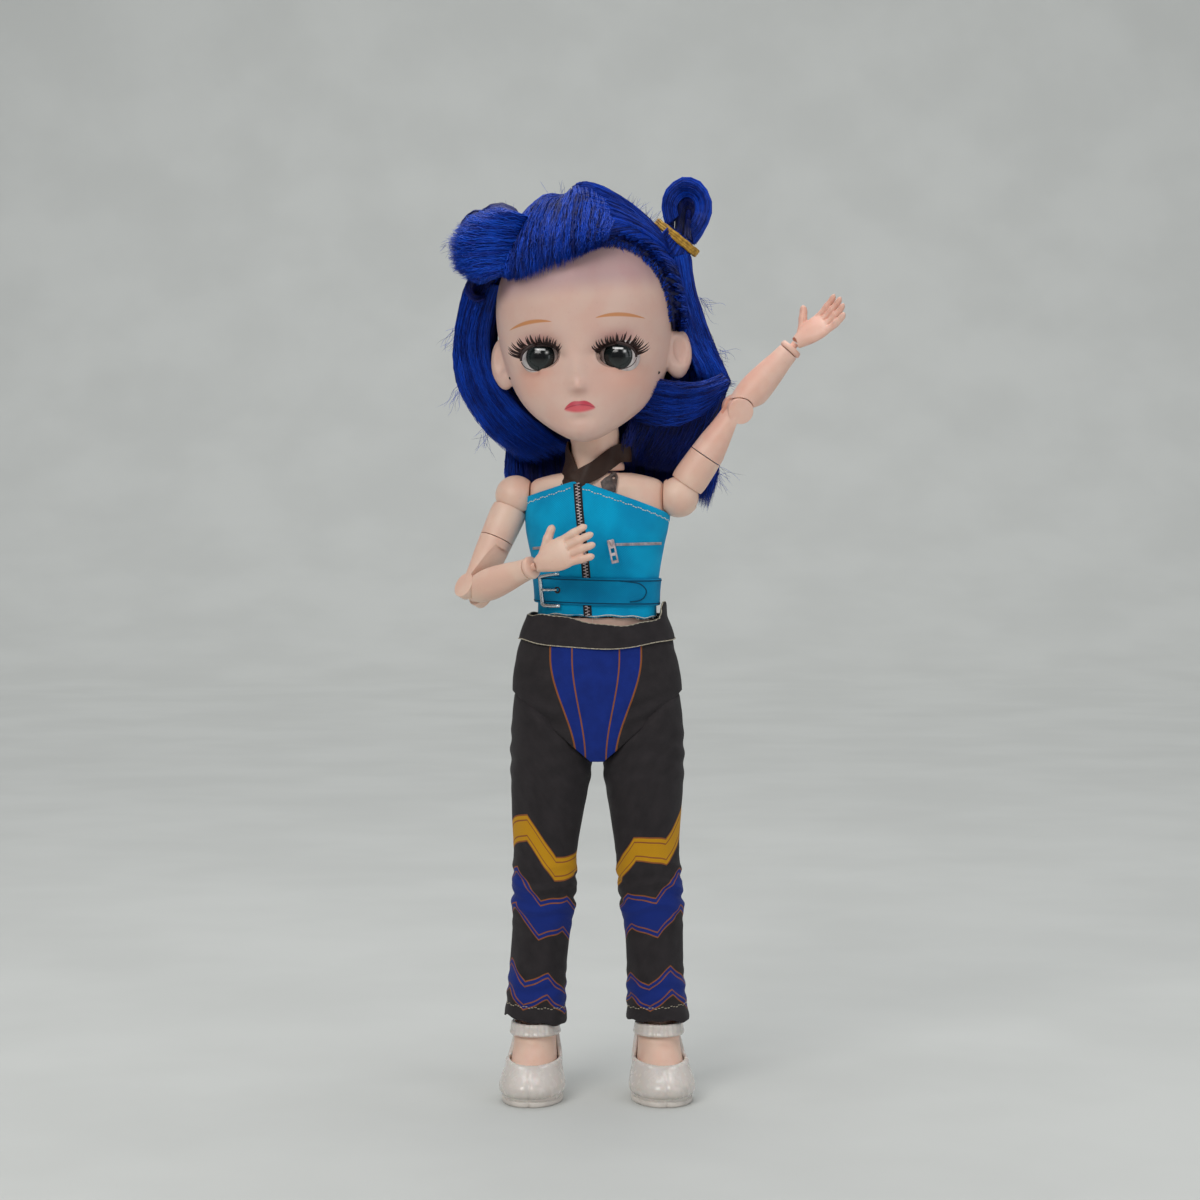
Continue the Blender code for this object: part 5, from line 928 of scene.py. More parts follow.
# Arms
for side, label, pose, look in ((1, "left", LEFT_ARM, PINK_SKIN), (-1, "right", RIGHT_ARM, SKIN)):
    rise = CHEST_HEIGHT - SHOULDER_DROP
    shoulder_at = below(
        waist_at, (side * (CHEST_WIDTH / 2 + SHOULDER_OFFSET), 0, rise), turned("X", -pose["swing"]),
    )
    raise_at = below(shoulder_at, (0, 0, 0), turned("Y", -side * pose["raise"]))
    sleeve_at = below(raise_at, (0, 0, -UPPER_ARM_LENGTH), turned("Z", side * pose["turn"]))
    elbow_at = below(sleeve_at, (0, 0, -SLEEVE_LENGTH), turned("X", -pose["elbow"]))
    wrist_at = below(elbow_at, (0, 0, -FOREARM_LENGTH), turned("Z", side * pose["wrist"]))
    hand_at = below(wrist_at, (0, 0, -WRIST_RING_HEIGHT - WRIST_BALL_DROP), turned("X", -pose["bend"]))

    # The ball keeps its flat inner side and the slot for the arm
    orb_piece = orb(SHOULDER_BALL, matrix=shoulder_at, sides=64)
    orb_piece.name = "shoulder_" + label + "_skin"
    orb_piece.data.materials.append(SKIN.material)
    inner = 4 * SHOULDER_BALL
    flat_tool = block([inner] * 3, (-side * (SHOULDER_OFFSET - GAP + inner / 2), 0, 0), shoulder_at)
    slot_reach = SHOULDER_BALL + 3 * mm
    inner_reach = 3.75 * mm
    slot_size = (slot_reach + inner_reach, 4.6 * mm, slot_reach + 3.3 * mm)
    slot_at = (side * (slot_reach - inner_reach) / 2, 0, (3.3 * mm - slot_reach) / 2)
    combine(orb_piece, "DIFFERENCE", flat_tool, block(slot_size, slot_at, shoulder_at))
    soften(orb_piece, 0.3 * mm, 40)
    finish_piece(orb_piece, "shoulder_" + label, "skin", "shoulder_ball_" + label)

    upper = limb(
        "upper_arm_" + label + "_skin", UPPER_ARM_SHARES, UPPER_ARM_LENGTH, ARM_WIDTH, ARM_WIDTH, SKIN,
        raise_at,
    )
    combine(upper, "DIFFERENCE", orb(SHOULDER_BALL + 0.35 * mm, matrix=raise_at, sides=64))
    tongue = bar(3.0 * mm, (0, -2.0 * mm, 0), (0, 2.0 * mm, 0), raise_at, 40)
    stalk = block((6 * mm, 4 * mm, 10 * mm), (0, 0, -5 * mm), raise_at)
    combine(upper, "UNION", tongue, stalk)
    soften(upper, 0.3 * mm, 40)
    finish_piece(upper, "upper_arm_" + label, "skin", "upper_arm_" + label)

    sleeve = limb(
        "arm_sleeve_" + label + "_skin", SLEEVE_SHARES, SLEEVE_LENGTH, ARM_WIDTH, ARM_WIDTH, look, sleeve_at,
        end=0.95, top=GAP,
    )
    corner = 4 * ELBOW_RADIUS
    notch_at = below(sleeve_at, (0, 0, -SLEEVE_LENGTH), turned("X", -74.0))
    combine(
        sleeve, "DIFFERENCE",
        block((6 * ELBOW_RADIUS, corner, corner), (0, -corner / 2, -corner / 2), notch_at),
    )
    half = ELBOW_WIDTH / 2
    knuckle = bar(ELBOW_RADIUS, (-half, 0, -SLEEVE_LENGTH), (half, 0, -SLEEVE_LENGTH), sleeve_at, 64)
    combine(sleeve, "UNION", knuckle)
    slot_top = 3.9 * mm
    slot_tall = slot_top + 2 * ELBOW_RADIUS
    slot_at = (0, 0, -SLEEVE_LENGTH + slot_top - slot_tall / 2)
    combine(sleeve, "DIFFERENCE", block((4.0 * mm, 6 * ELBOW_RADIUS, slot_tall), slot_at, sleeve_at))
    soften(sleeve, 0.3 * mm, 40)
    finish_piece(sleeve, "arm_sleeve_" + label, "skin", "arm_sleeve_" + label)

    forearm = limb(
        "forearm_" + label + "_skin", FOREARM_SHARES, FOREARM_LENGTH, FOREARM_WIDTH, FOREARM_WIDTH, look,
        elbow_at, top=2 * GAP,
    )
    room = bar(ELBOW_RADIUS + GAP, (-8 * mm, 0, 0), (8 * mm, 0, 0), elbow_at, 64)
    notch_at = below(elbow_at, (0, 0, 0), turned("X", -34.0))
    combine(
        forearm, "DIFFERENCE", room,
        block((6 * ELBOW_RADIUS, corner, corner), (0, -corner / 2, -corner / 2), notch_at),
    )
    tongue = bar(3.3 * mm, (-1.7 * mm, 0, 0), (1.7 * mm, 0, 0), elbow_at, 48)
    stalk = block((3.4 * mm, 4.95 * mm, 7.4 * mm), (0, 0, -3.7 * mm), elbow_at)
    combine(forearm, "UNION", tongue, stalk)
    soften(forearm, 0.3 * mm, 40)
    finish_piece(forearm, "forearm_" + label, "skin", "forearm_" + label)

    wrist_outline = [
        (2.6, -0.3), (3.3, -0.3), (3.55, -0.5), (3.7, -0.95), (3.7, -1.35), (3.5, -1.95), (3.2, -2.18),
        (1.2, -2.2), (1.2, -3.7),
    ]
    rows = [ring(z * mm, radius * mm, radius * mm, radius * mm, 48) for radius, z in wrist_outline]
    wrist = tidy_normals(surface("wrist_" + label + "_skin", rows, look, wrist_at), 60)
    finish_piece(wrist, "wrist_" + label, "skin", "wrist_" + label)

    # The visible hand is turned a little further on its ball than the solid, as the photograph shows it
    ahead, thumb_side, curling, growth = LEFT_HAND if side > 0 else RIGHT_HAND
    up = -Vector(ahead).normalized()
    out = -side * (Vector(thumb_side) - up * Vector(thumb_side).dot(up)).normalized()
    rolled_at = Matrix((out, up.cross(out), up)).transposed().to_4x4()
    rolled_at = Matrix.Translation(hand_at.translation) @ rolled_at @ Matrix.Scale(growth, 4)
    palm_shares = ((-0.035, 0.40, 0.74),) + PALM_SHARES
    shapes = [limb(
        "palm", palm_shares, PALM_LENGTH, PALM_WIDTH, PALM_THICKNESS, look, rolled_at, count=20, sides=40,
    )]
    knuckle_drop = 0.86 * PALM_LENGTH
    fingers = []
    for across, length, fan in FINGER_PLACE_SHARES:
        reach = length * FINGER_LENGTH + PALM_LENGTH - knuckle_drop
        fingers.append((across * side * PALM_WIDTH / 2, knuckle_drop, reach, fan * side * 10.0, FINGER_WIDTH))
    fingers.append((
        -side * 0.55 * PALM_WIDTH / 2, 0.30 * PALM_LENGTH, THUMB_LENGTH + 0.8 * mm, side * 48.0, THUMB_WIDTH,
    ))
    for x, drop, reach, fan, width in fingers:
        place = below(rolled_at, (x, 0, -drop), turned("Y", fan))
        rows = []
        for share in np.linspace(-0.10, 1.0, 20):
            wide, curl = between(FINGER_SHARES, share)
            joint_bump = (
                0.06 * math.exp(-(((share - 0.52) / 0.08) ** 2))
                + 0.04 * math.exp(-(((share - 0.78) / 0.06) ** 2))
            )
            radius = (wide + joint_bump) * width / 2
            rows.append(ring(-share * reach, radius, radius, radius, 20, 0, curl * curling * reach))
        shapes.append(tidy_normals(surface("finger", rows, look, place)))
    hand = merge("hand_" + label + "_skin", shapes, look)
    melt(hand, 0.24 * mm, 5)
    combine(hand, "DIFFERENCE", orb(2.1 * mm, matrix=hand_at, sides=24))
    finish_piece(hand, "hand_" + label, "skin", "hand_" + label)


# Head
def head_section(z, extra=0.0):
    wide, front, back = between(HEAD_SHARES, min(max((z + CHIN_DROP) / HEAD_HEIGHT, 0.0), 1.0))
    middle = (front + back) / 2 * HEAD_DEPTH
    deep = max((back - front) / 2 * HEAD_DEPTH + extra, GAP)
    return max(wide * HEAD_WIDTH / 2 + extra, GAP), middle - deep, middle + deep


def head_rows(extra, count, sides, relief):
    angle = np.linspace(0, 2 * math.pi, sides, endpoint=False)
    rows = []
    for i in range(count):
        share = (1 - math.cos(math.pi * i / (count - 1))) / 2
        z = share * HEAD_HEIGHT - CHIN_DROP
        half_width, front, back = head_section(z, extra)
        x = half_width * np.cos(angle)
        y = (front + back) / 2 + (back - front) / 2 * np.sin(angle)
        if relief:
            for across, up, push, wide, tall in FACE_SHARES:
                off = ((x / (HEAD_WIDTH / 2) - across) / wide) ** 2 + ((share - up) / tall) ** 2
                y = y - push * HEAD_DEPTH * np.exp(-off) * (np.sin(angle) < 0)
            x = x * 1.025 - (0.9 * mm - 0.025 * y)
        rows.append(np.stack([x, y, np.full(sides, z + (2 * share - 1) * extra)], 1))
    return rows


skull = tidy_normals(surface("skull", head_rows(0.0, 110, 144, True), FACE, head_at))
shapes = [skull]
ear_places = []
for side in (1, -1):
    half_width = head_section(EAR_RISE)[0]
    ear_places.append(below(
        head_at, (side * (half_width + 2.0 * mm), 1.2 * mm, EAR_RISE + 1.0 * mm), turned("Z", -side * 52.0),
    ))
for side, ear_at in zip((1, -1), ear_places):
    across = np.linspace(0, 2 * math.pi, 64, endpoint=False)
    rows = []
    for turn in np.linspace(0.02, math.pi - 0.02, 40):
        z = math.cos(turn)
        x = np.cos(across) * math.sin(turn)
        y = np.sin(across) * math.sin(turn)
        # The bowl and the fold behind the rim open outwards and forwards
        outward = np.clip(side * x - 0.15 * y, 0, 1)
        rim = np.sqrt((y / 0.9) ** 2 + (z - 0.10) ** 2)
        bowl = np.exp(-((rim / 0.52) ** 4)) * outward
        fold = np.exp(-(((rim - 0.72) / 0.10) ** 2)) * outward * (z > -0.45)
        thick = EAR_THICKNESS / 2 * x * (1 - 0.75 * bowl - 0.28 * fold)
        lobe = 1 - 0.22 * max(-z - 0.3, 0)
        rows.append(np.stack([thick, EAR_WIDTH / 2 * y * lobe, np.full(64, EAR_HEIGHT / 2 * z)], 1))
    ear = tidy_normals(surface("ear", rows, FACE, ear_at))
    shapes.append(ear)
head = merge("head_skin", shapes, FACE)
melt(head, 0.42 * mm, 4)


def lid_point(side, angle, grow):
    """The rim of an eye's opening: a high upper lid, a flatter lower one, and an outer corner that hangs."""
    across = math.cos(angle)
    up = math.sin(angle)
    tall = (LID_UPPER if up > 0 else LID_LOWER) + grow
    droop = -0.5 * mm * across * side
    x, z = EYE_CENTRES[side]
    wide = LID_HALF_WIDTH + grow
    return (
        x + LID_SHIFT * side + across * wide,
        z + up * abs(up) ** -0.12 * tall * (1 - 0.05 * abs(across) ** 4) + droop,
    )


eye_tools = []
for side in (1, -1):
    centre = Vector((EYE_CENTRES[side][0], -EYE_DEPTH, EYE_CENTRES[side][1]))
    eye_tools.append(orb(EYE_RADIUS + 0.05 * mm, centre, matrix=head_at, sides=64))
    rows = []
    for depth, grow in ((-3 * mm, 0.0), (4.6 * mm, 0.0), (7.5 * mm, 0.9 * mm), (20 * mm, 3.0 * mm)):
        outline = [lid_point(side, 2 * math.pi * (i + 0.5) / 48, grow) for i in range(48)]
        rows.append([(x, centre.y - depth, z) for x, z in outline])
    eye_tools.append(tidy_normals(surface("tool", rows, None, head_at)))
combine(head, "DIFFERENCE", *eye_tools)
head.data.shade_smooth()
head.data.set_sharp_from_angle(angle=math.radians(40))
finish_piece(head, "head", "skin", "head_face", "head_back")


# Eyes, and lashes that fan from the upper lid
def hairs(name, paths, radius, look, matrix, tints=None):
    """Fine hairs as three sided tubes. The paths are an array of hair, step and place."""
    paths = np.asarray(paths, float)
    count, steps = paths.shape[:2]
    ahead = np.gradient(paths, axis=1)
    ahead /= np.linalg.norm(ahead, axis=2, keepdims=True) + 1e-12
    side = np.cross(ahead, np.array([0.31, 0.52, 0.79]))
    side /= np.linalg.norm(side, axis=2, keepdims=True) + 1e-12
    other = np.cross(ahead, side)
    share = np.linspace(0, 1, steps)
    size = radius * np.minimum(1.0, (1.02 - share) * 3.5)
    turn = np.array([0, 2 * math.pi / 3, 4 * math.pi / 3])
    spread = (
        side[:, :, None] * np.cos(turn)[None, None, :, None]
        + other[:, :, None] * np.sin(turn)[None, None, :, None]
    )
    points = paths[:, :, None] + spread * size[None, :, None, None]
    k = np.arange(3)
    here = (np.arange(count * steps) * 3).reshape(count, steps)
    low = here[:, :-1, None] + k
    low_next = here[:, :-1, None] + (k + 1) % 3
    high = here[:, 1:, None] + k
    high_next = here[:, 1:, None] + (k + 1) % 3
    quads = np.stack([low, low_next, high_next, high], -1).reshape(-1, 4)
    mesh = bpy.data.meshes.new(name)
    mesh.vertices.add(count * steps * 3)
    mesh.vertices.foreach_set("co", points.ravel())
    mesh.loops.add(quads.size)
    mesh.loops.foreach_set("vertex_index", quads.ravel().astype(np.int32))
    mesh.polygons.add(len(quads))
    mesh.polygons.foreach_set("loop_start", np.arange(0, quads.size, 4, dtype=np.int32))
    mesh.update(calc_edges=True)
    tint = mesh.attributes.new("tint", "FLOAT", "POINT")
    if tints is None:
        tints = rng.random(count)
    tint.data.foreach_set("value", np.repeat(tints, steps * 3).astype(np.float32))
    return link(name, mesh, look, matrix)


bpy.context.view_layer.update()
head_tree = BVHTree.FromObject(head, bpy.context.evaluated_depsgraph_get())


def lid_edge(side, angle, grow):
    """A place on the skin by the rim of an eye's opening, well in front of the eye."""
    for _ in range(12):
        x, z = lid_point(side, angle, grow)
        hit = head_tree.ray_cast(Vector((x, -HEAD_DEPTH, z)), Vector((0, 1, 0)))[0]
        if hit and hit.y < -EYE_DEPTH - 2.2 * mm:
            return np.array(hit)
        grow += 0.06 * mm
    return np.array((x, -EYE_DEPTH - EYE_RADIUS, z))


for side, label in ((1, "left"), (-1, "right")):
    centre = Vector((EYE_CENTRES[side][0], -EYE_DEPTH, EYE_CENTRES[side][1]))
    ball_at = below(head_at, centre)
    eye = orb(EYE_RADIUS, matrix=ball_at, sides=96)
    eye.name = "eye_" + label + "_glass"
    eye.data.materials.append(EYE.material)
    finish_piece(eye, "head", "eye", "eye_" + label)
    # Lashes stand in small clumps that meet at their tips
    paths = []
    for i in range(30):
        turn = math.radians(4 + 168 * (i + rng.random() * 0.5) / 30)
        angle = turn if side > 0 else math.pi - turn
        outer = math.cos(turn)
        length = (2.5 + 1.5 * max(outer, 0) ** 1.5 + rng.random() * 0.8) * mm
        across = (math.cos(angle) * 0.85 + side * 0.12 + rng.normal() * 0.10) * length
        up = (0.35 + 0.60 * math.sin(angle) + rng.random() * 0.10) * length
        lid = lid_edge(side, angle, 0.05 * mm)
        # The rim lies deeper than the skin over it, so a lash first comes forward
        sunk = max(lid[1] - lid_edge(side, angle, 1.8 * mm)[1], 0)
        top = lid + np.array([across, -0.55 * length - sunk, up])
        for shift in np.linspace(-0.055, 0.055, 3):
            root = lid_edge(side, angle + shift, 0.05 * mm)
            path = []
            for t in np.linspace(0, 1, 8):
                sweep_out = np.array([
                    across * 0.1, -0.3 * length - 0.8 * sunk, -0.08 * length - 0.1 * sunk,
                ]) * 4 * t * (1 - t)
                path.append(root * (1 - t) + top * t + sweep_out)
            paths.append(path)
    lashes = hairs("lashes_" + label, paths, 0.13 * mm, LASH, head_at)
    finish_piece(lashes, "head", "lash", "lash_" + label)
    turns = np.radians(np.linspace(-6, 178, 56))
    rim = [
        lid_edge(side, turn if side > 0 else math.pi - turn, 0.05 * mm) - np.array([0, 0.35 * mm, 0])
        for turn in turns
    ]
    sizes = [0.62 * mm * (0.25 + 0.75 * math.sin(math.pi * min(0.15 + i / 62, 1.0))) for i in range(56)]
    root_line = tube("lash_root_" + label, rim, sizes, LASH, head_at)
    finish_piece(root_line, "head", "lash")
    turns = np.radians(np.linspace(190, 352, 40))
    rim = [lid_edge(side, turn, 0.10 * mm) - np.array([0, 0.02 * mm, 0]) for turn in turns]
    lower_line = tube("lash_lower_" + label, rim, 0.13 * mm, LASH, head_at)
    finish_piece(lower_line, "head", "lash")


def on_face(across, down):
    """The place on the skin of the head that a point of the picture shows, in the frame of the head."""
    near_point = head_at.inverted() @ photo(across, down, -60.0)
    far_point = head_at.inverted() @ photo(across, down, 60.0)
    hit = head_tree.ray_cast(near_point, (far_point - near_point).normalized())
    return hit[0], hit[1]


# A small dark dot stands for each ear hole, as painted shade inside the hole
for label, across, down in (("left", 658.5, 372.5), ("right", 510.5, 378.0)):
    place, _ = on_face(across, down)
    if place:
        hole = orb(0.5 * mm, place, (1, 0.6, 1), head_at, sides=24)
        hole.name = "ear_hole_" + label
        hole.data.materials.append(LASH.material)
        finish_piece(hole, "head", "skin")


# Hair: a combed shell on the skull, and locks that follow the lines of the photograph
SKULL_MIDDLE = np.array([0.0, 2.0, 28.0]) * mm
levels = np.linspace(-CHIN_DROP, HEAD_HEIGHT - CHIN_DROP, 240)
sections = np.array([head_section(z) for z in levels])
to_head = head_at.inverted()


def seen(*points):
    """Points of the picture, in the frame of the head."""
    return np.array([to_head @ photo(*point) for point in points])


def on_head(directions, lift):
    """Where rays from the middle of the skull leave it, and how far over it the hair lies."""
    directions = directions / np.linalg.norm(directions, axis=-1, keepdims=True)
    low = np.full(directions.shape[:-1], 5.0 * mm)
    high = np.full(directions.shape[:-1], 60.0 * mm)
    for _ in range(22):
        reach = (low + high) / 2
        place = SKULL_MIDDLE + directions * reach[..., None]
        half_width = np.interp(place[..., 2], levels, sections[:, 0])
        front = np.interp(place[..., 2], levels, sections[:, 1])
        back = np.interp(place[..., 2], levels, sections[:, 2])
        off = (
            (place[..., 0] / half_width) ** 2
            + ((place[..., 1] - (front + back) / 2) / ((back - front) / 2)) ** 2
        )
        outside = (off > 1) | (place[..., 2] > levels[-1]) | (place[..., 2] < levels[0])
        high = np.where(outside, reach, high)
        low = np.where(outside, low, reach)
    place = SKULL_MIDDLE + directions * low[..., None]
    share = (place[..., 2] + CHIN_DROP) / HEAD_HEIGHT
    off = place[..., 0] + 4.5 * mm
    lobe = (
        (1 - np.exp(-((off / (3.4 * mm)) ** 2)))
        * np.exp(-(((off - 1.5 * mm) / (15 * mm)) ** 2))
        * np.clip(2 * share - 1, 0, 1) ** 2
    )
    return place + directions * (lift + LOBE_RISE * lobe)[..., None]


def resample(curves, count):
    """Curves with more points, smooth through the given ones."""
    curves = np.asarray(curves, float)
    known = curves.shape[-2]
    at = np.linspace(0, known - 1, count)
    i = np.clip(at.astype(int), 0, known - 2)
    t = (at - i)[:, None]
    before, after = np.maximum(i - 1, 0), np.minimum(i + 2, known - 1)
    a, b = curves[..., i, :], curves[..., i + 1, :]
    p, q = curves[..., before, :], curves[..., after, :]
    return 0.5 * (2 * a + (b - p) * t + (2 * p - 5 * a + 4 * b - q) * t**2 + (3 * a - p - 3 * b + q) * t**3)


def strew(base, steps, starts, ends, wander, thick, outward):
    """Gives each hair its own length, depth in the lock, and slow waves."""
    count, fine = base.shape[:2]
    first = rng.random(count) * starts
    last = 1 - rng.random(count) ** 0.7 * ends
    share = np.linspace(0, 1, steps)
    at = (first[:, None] + (last - first)[:, None] * share) * (fine - 1)
    i = np.clip(at.astype(int), 0, fine - 2)
    t = (at - i)[..., None]
    rows = np.arange(count)[:, None]
    paths = base[rows, i] * (1 - t) + base[rows, i + 1] * t
    depth = (rng.random(count) - 0.5) * thick
    paths = paths + np.asarray(outward) * depth[:, None, None]
    for size, waves in ((1.0, 1.2), (0.45, 3.1)):
        phase = rng.random((count, 3)) * 2 * math.pi
        pace = waves * (0.7 + 0.6 * rng.random((count, 1)))
        sway = np.sin(phase[:, None, :] + (share[None, :] * 2 * math.pi * pace)[..., None])
        paths = paths + sway * wander * size * (0.25 + 0.75 * share[None, :, None])
    return paths


def clumped(count, groups, pull):
    """Places from 0 to 1 that gather a little in clumps, and the tint of each clump."""
    place = rng.random(count)
    middles = np.sort(rng.random(groups))
    tones = rng.random(groups)
    nearest = np.abs(place[:, None] - middles[None, :]).argmin(1)
    place = place * (1 - pull) + middles[nearest] * pull
    return place, np.clip(tones[nearest] * 0.6 + rng.random(count) * 0.4, 0, 1)


def across_guides(curves, place):
    curves = np.asarray(curves)
    at = place * (len(curves) - 1)
    i = np.clip(at.astype(int), 0, len(curves) - 2)
    t = (at - i)[:, None, None]
    return curves[i] * (1 - t) + curves[i + 1] * t


def strand_budget(count, steps):
    steps = max(round(steps * 0.66), 8)
    return min(round(count * 0.8), STRAND_PARTS // (steps - 1)), steps


def lock(
    name, guides, count, look, thick=3.0, wander=0.35, starts=0.04, ends=0.12, pull=0.5, radius=0.15,
    steps=14, outward=(0, -1, 0), dark=0.0,
):
    """Hairs that fill the sheet between guide curves."""
    count, steps = strand_budget(count, steps)
    fine = resample(guides, 60)
    place, tints = clumped(count, max(count // 40, 3), pull)
    base = across_guides(fine, place)
    paths = strew(base, steps, starts, ends, wander * mm, thick * mm, outward)
    obj = hairs(name, paths, radius * mm, look, head_at, tints=np.clip(tints - dark, 0, 1))
    return finish_piece(obj, "head", "hair")


def comb(
    name, roots, tips, count, look, lift=(3.2, 4.9), starts=0.10, ends=0.05, wander=0.25, radius=0.15,
    steps=16, pull=0.5, tip_lift=None,
):
    """Hairs that lie on the skull from a line of roots to a line of tips."""
    count, steps = strand_budget(count, steps)
    place, tints = clumped(count, max(count // 45, 3), pull)
    ends_of = [
        across_guides(resample(np.array([line, line]), 40).transpose(1, 0, 2), place)[:, 0]
        for line in (roots, tips)
    ]
    share = np.linspace(0, 1, 40)[None, :, None]
    one = ends_of[0] - SKULL_MIDDLE
    two = ends_of[1] - SKULL_MIDDLE
    directions = one[:, None] * (1 - share) + two[:, None] * share
    height = (lift[0] + rng.random(count) * (lift[1] - lift[0])) * mm
    height = height[:, None] * np.ones((1, 40))
    if tip_lift is not None:
        height = height + (np.linspace(0, 1, 40)[None] ** 2) * tip_lift * mm
    base = on_head(directions, height)
    paths = strew(base, steps, starts, ends, wander * mm, 0.0, (0, 0, 0))
    obj = hairs(name, paths, radius * mm, look, head_at, tints=tints)
    return finish_piece(obj, "head", "hair")


# The hairline follows the photograph in front, then runs over the ears to the nape
HAIRLINE_SEEN = (
    (494, 330), (493.5, 300), (495, 282), (506, 270), (524, 262), (548, 254), (579, 250), (600, 246),
    (618, 245.5), (636, 253), (650, 266), (660, 281), (666, 300), (669, 318), (671, 331),
)
line_turns = []
line_lifts = []
for across, down in HAIRLINE_SEEN:
    place, _ = on_face(across, down)
    if place:
        ray = np.array(place) - SKULL_MIDDLE
        line_turns.append(math.atan2(ray[0], -ray[1]))
        line_lifts.append(math.atan2(ray[2], math.hypot(ray[0], ray[1])))
order = np.argsort(line_turns)
line_turns = list(np.array(line_turns)[order])
line_lifts = list(np.array(line_lifts)[order])
# Angles of the unseen part of the hairline: over the ears and down to the nape
nape = [
    (math.radians(turn), math.radians(lift))
    for turn, lift in ((-180, -62), (-150, -58), (-125, -40), (-108, -12))
]
nape_left = [(-turn, lift) for turn, lift in reversed(nape)]
line_turns = [turn for turn, _ in nape] + line_turns + [turn for turn, _ in nape_left]
line_lifts = [lift for _, lift in nape] + line_lifts + [lift for _, lift in nape_left]


def hairline(turn):
    """A place on the hairline, by its angle from the front towards the left."""
    lift = float(np.interp(turn, line_turns, line_lifts))
    direction = np.array([math.sin(turn) * math.cos(lift), -math.cos(turn) * math.cos(lift), math.sin(lift)])
    return on_head(direction, np.array(0.4 * mm))


# Under the strands lies a shell in the darker hair colour, painted shade between the strands, that ends at the
# hairline
around = np.linspace(-math.pi, math.pi, 144, endpoint=False)
low = np.interp(around, line_turns, line_lifts)
shell_rows = []
for share, lift in (
    [(s, 2.6 * mm) for s in np.linspace(0, 0.995, 56)] + [(s, 0.35 * mm) for s in np.linspace(0.995, 0, 40)]
):
    rise = low + (math.pi / 2 - low) * share
    directions = np.stack([np.sin(around) * np.cos(rise), -np.cos(around) * np.cos(rise), np.sin(rise)], 1)
    edge_lift = lift - np.where(lift > mm, 1.7 * mm * np.exp(-share / 0.06), 0)
    shell_rows.append(on_head(directions, np.full(len(around), edge_lift)))
shell = tidy_normals(surface("hair_shell", shell_rows, SHADED_HAIR, head_at, loop=True))
shell_tools = []
for ear_at in ear_places:
    scale = (EAR_THICKNESS / EAR_HEIGHT * 1.3, EAR_WIDTH / EAR_HEIGHT * 1.1, 1)
    shell_tools.append(orb(EAR_HEIGHT / 2 + 0.8 * mm, scale=scale, matrix=ear_at))
combine(shell, "DIFFERENCE", *shell_tools)
shell.data.attributes.new("tint", "FLOAT", "POINT")
finish_piece(shell, "head", "hair", "hair_cap")

LOOP_LEFT = np.array([27.0, 3.0, 50.0]) * mm
LOOP_RIGHT = np.array([-27.0, 3.0, 50.0]) * mm


def near(point, spread):
    """A short line across a gathering point."""
    return np.array([
        point + np.array([0, -spread, -spread * 0.5]) * mm, point,
        point + np.array([0, spread, spread * 0.5]) * mm,
    ])


part_line = np.array([
    (-1.6, -23, 53), (-2.0, -18, 58), (-2.4, -10, 62), (-2.4, 0, 64), (-2.0, 12, 61), (0, 22, 54),
    (0, 29, 42), (0, 32, 28),
]) * mm
comb("hair_top_left", part_line + np.array([1.0, 0, 0]) * mm, near(LOOP_LEFT, 9), 5200, HAIR, wander=0.3)
comb(
    "hair_top_right", part_line[3:] - np.array([1.0, 0, 0]) * mm, near(LOOP_RIGHT, 9), 3000, HAIR,
    wander=0.3,
)

# The left half of the brow line is combed back to the loop, with a fuzz of short ends along it
turns = np.linspace(math.radians(-2), line_turns[-5], 16)
edge = np.array([hairline(turn) for turn in turns])
into = np.array([
    (20, -6, 55), (24, -3, 53), (27, 1, 51), (28, 5, 48), (28, 9, 43), (28, 13, 38), (27, 16, 32),
    (26, 19, 26),
]) * mm
comb("hair_edge_left", edge, into, 5200, HAIR, lift=(0.3, 4.2), starts=0.22, ends=0.0, wander=0.3)
comb("hair_edge_under_left", edge, into, 2400, SHADED_HAIR, lift=(0.2, 2.4), starts=0.05, ends=0.3, wander=0.3)
turns = np.linspace(line_turns[4], math.radians(-38), 8)
edge_right = np.array([hairline(turn) for turn in turns])
into_right = np.array([(-26, 19, 26), (-28, 14, 34), (-28, 9, 42), (-28, 4, 48)]) * mm
comb("hair_edge_right", edge_right, into_right, 2600, HAIR, lift=(0.3, 4.2), starts=0.2, ends=0.0, wander=0.3)
fuzz = []
fine_edge = resample(edge, 60)
for i in range(700):
    t = rng.random()
    root = fine_edge[int(t * 56)] + rng.normal(size=3) * np.array([0.5, 0.2, 0.5]) * mm
    aim = np.array([-0.30 - 0.1 * t + rng.normal() * 0.30, -0.20 - 0.2 * (1 - t), -0.85 + 0.45 * t])
    length = (1.0 + rng.random() * 3.0) * mm
    fuzz.append([
        root + aim * length * s + np.array([0, 0.30, 0]) * length * s * s for s in np.linspace(-0.6, 1, 7)
    ])
finish_piece(hairs("hair_fuzz_left", fuzz, 0.09 * mm, HAIR, head_at), "head", "hair")

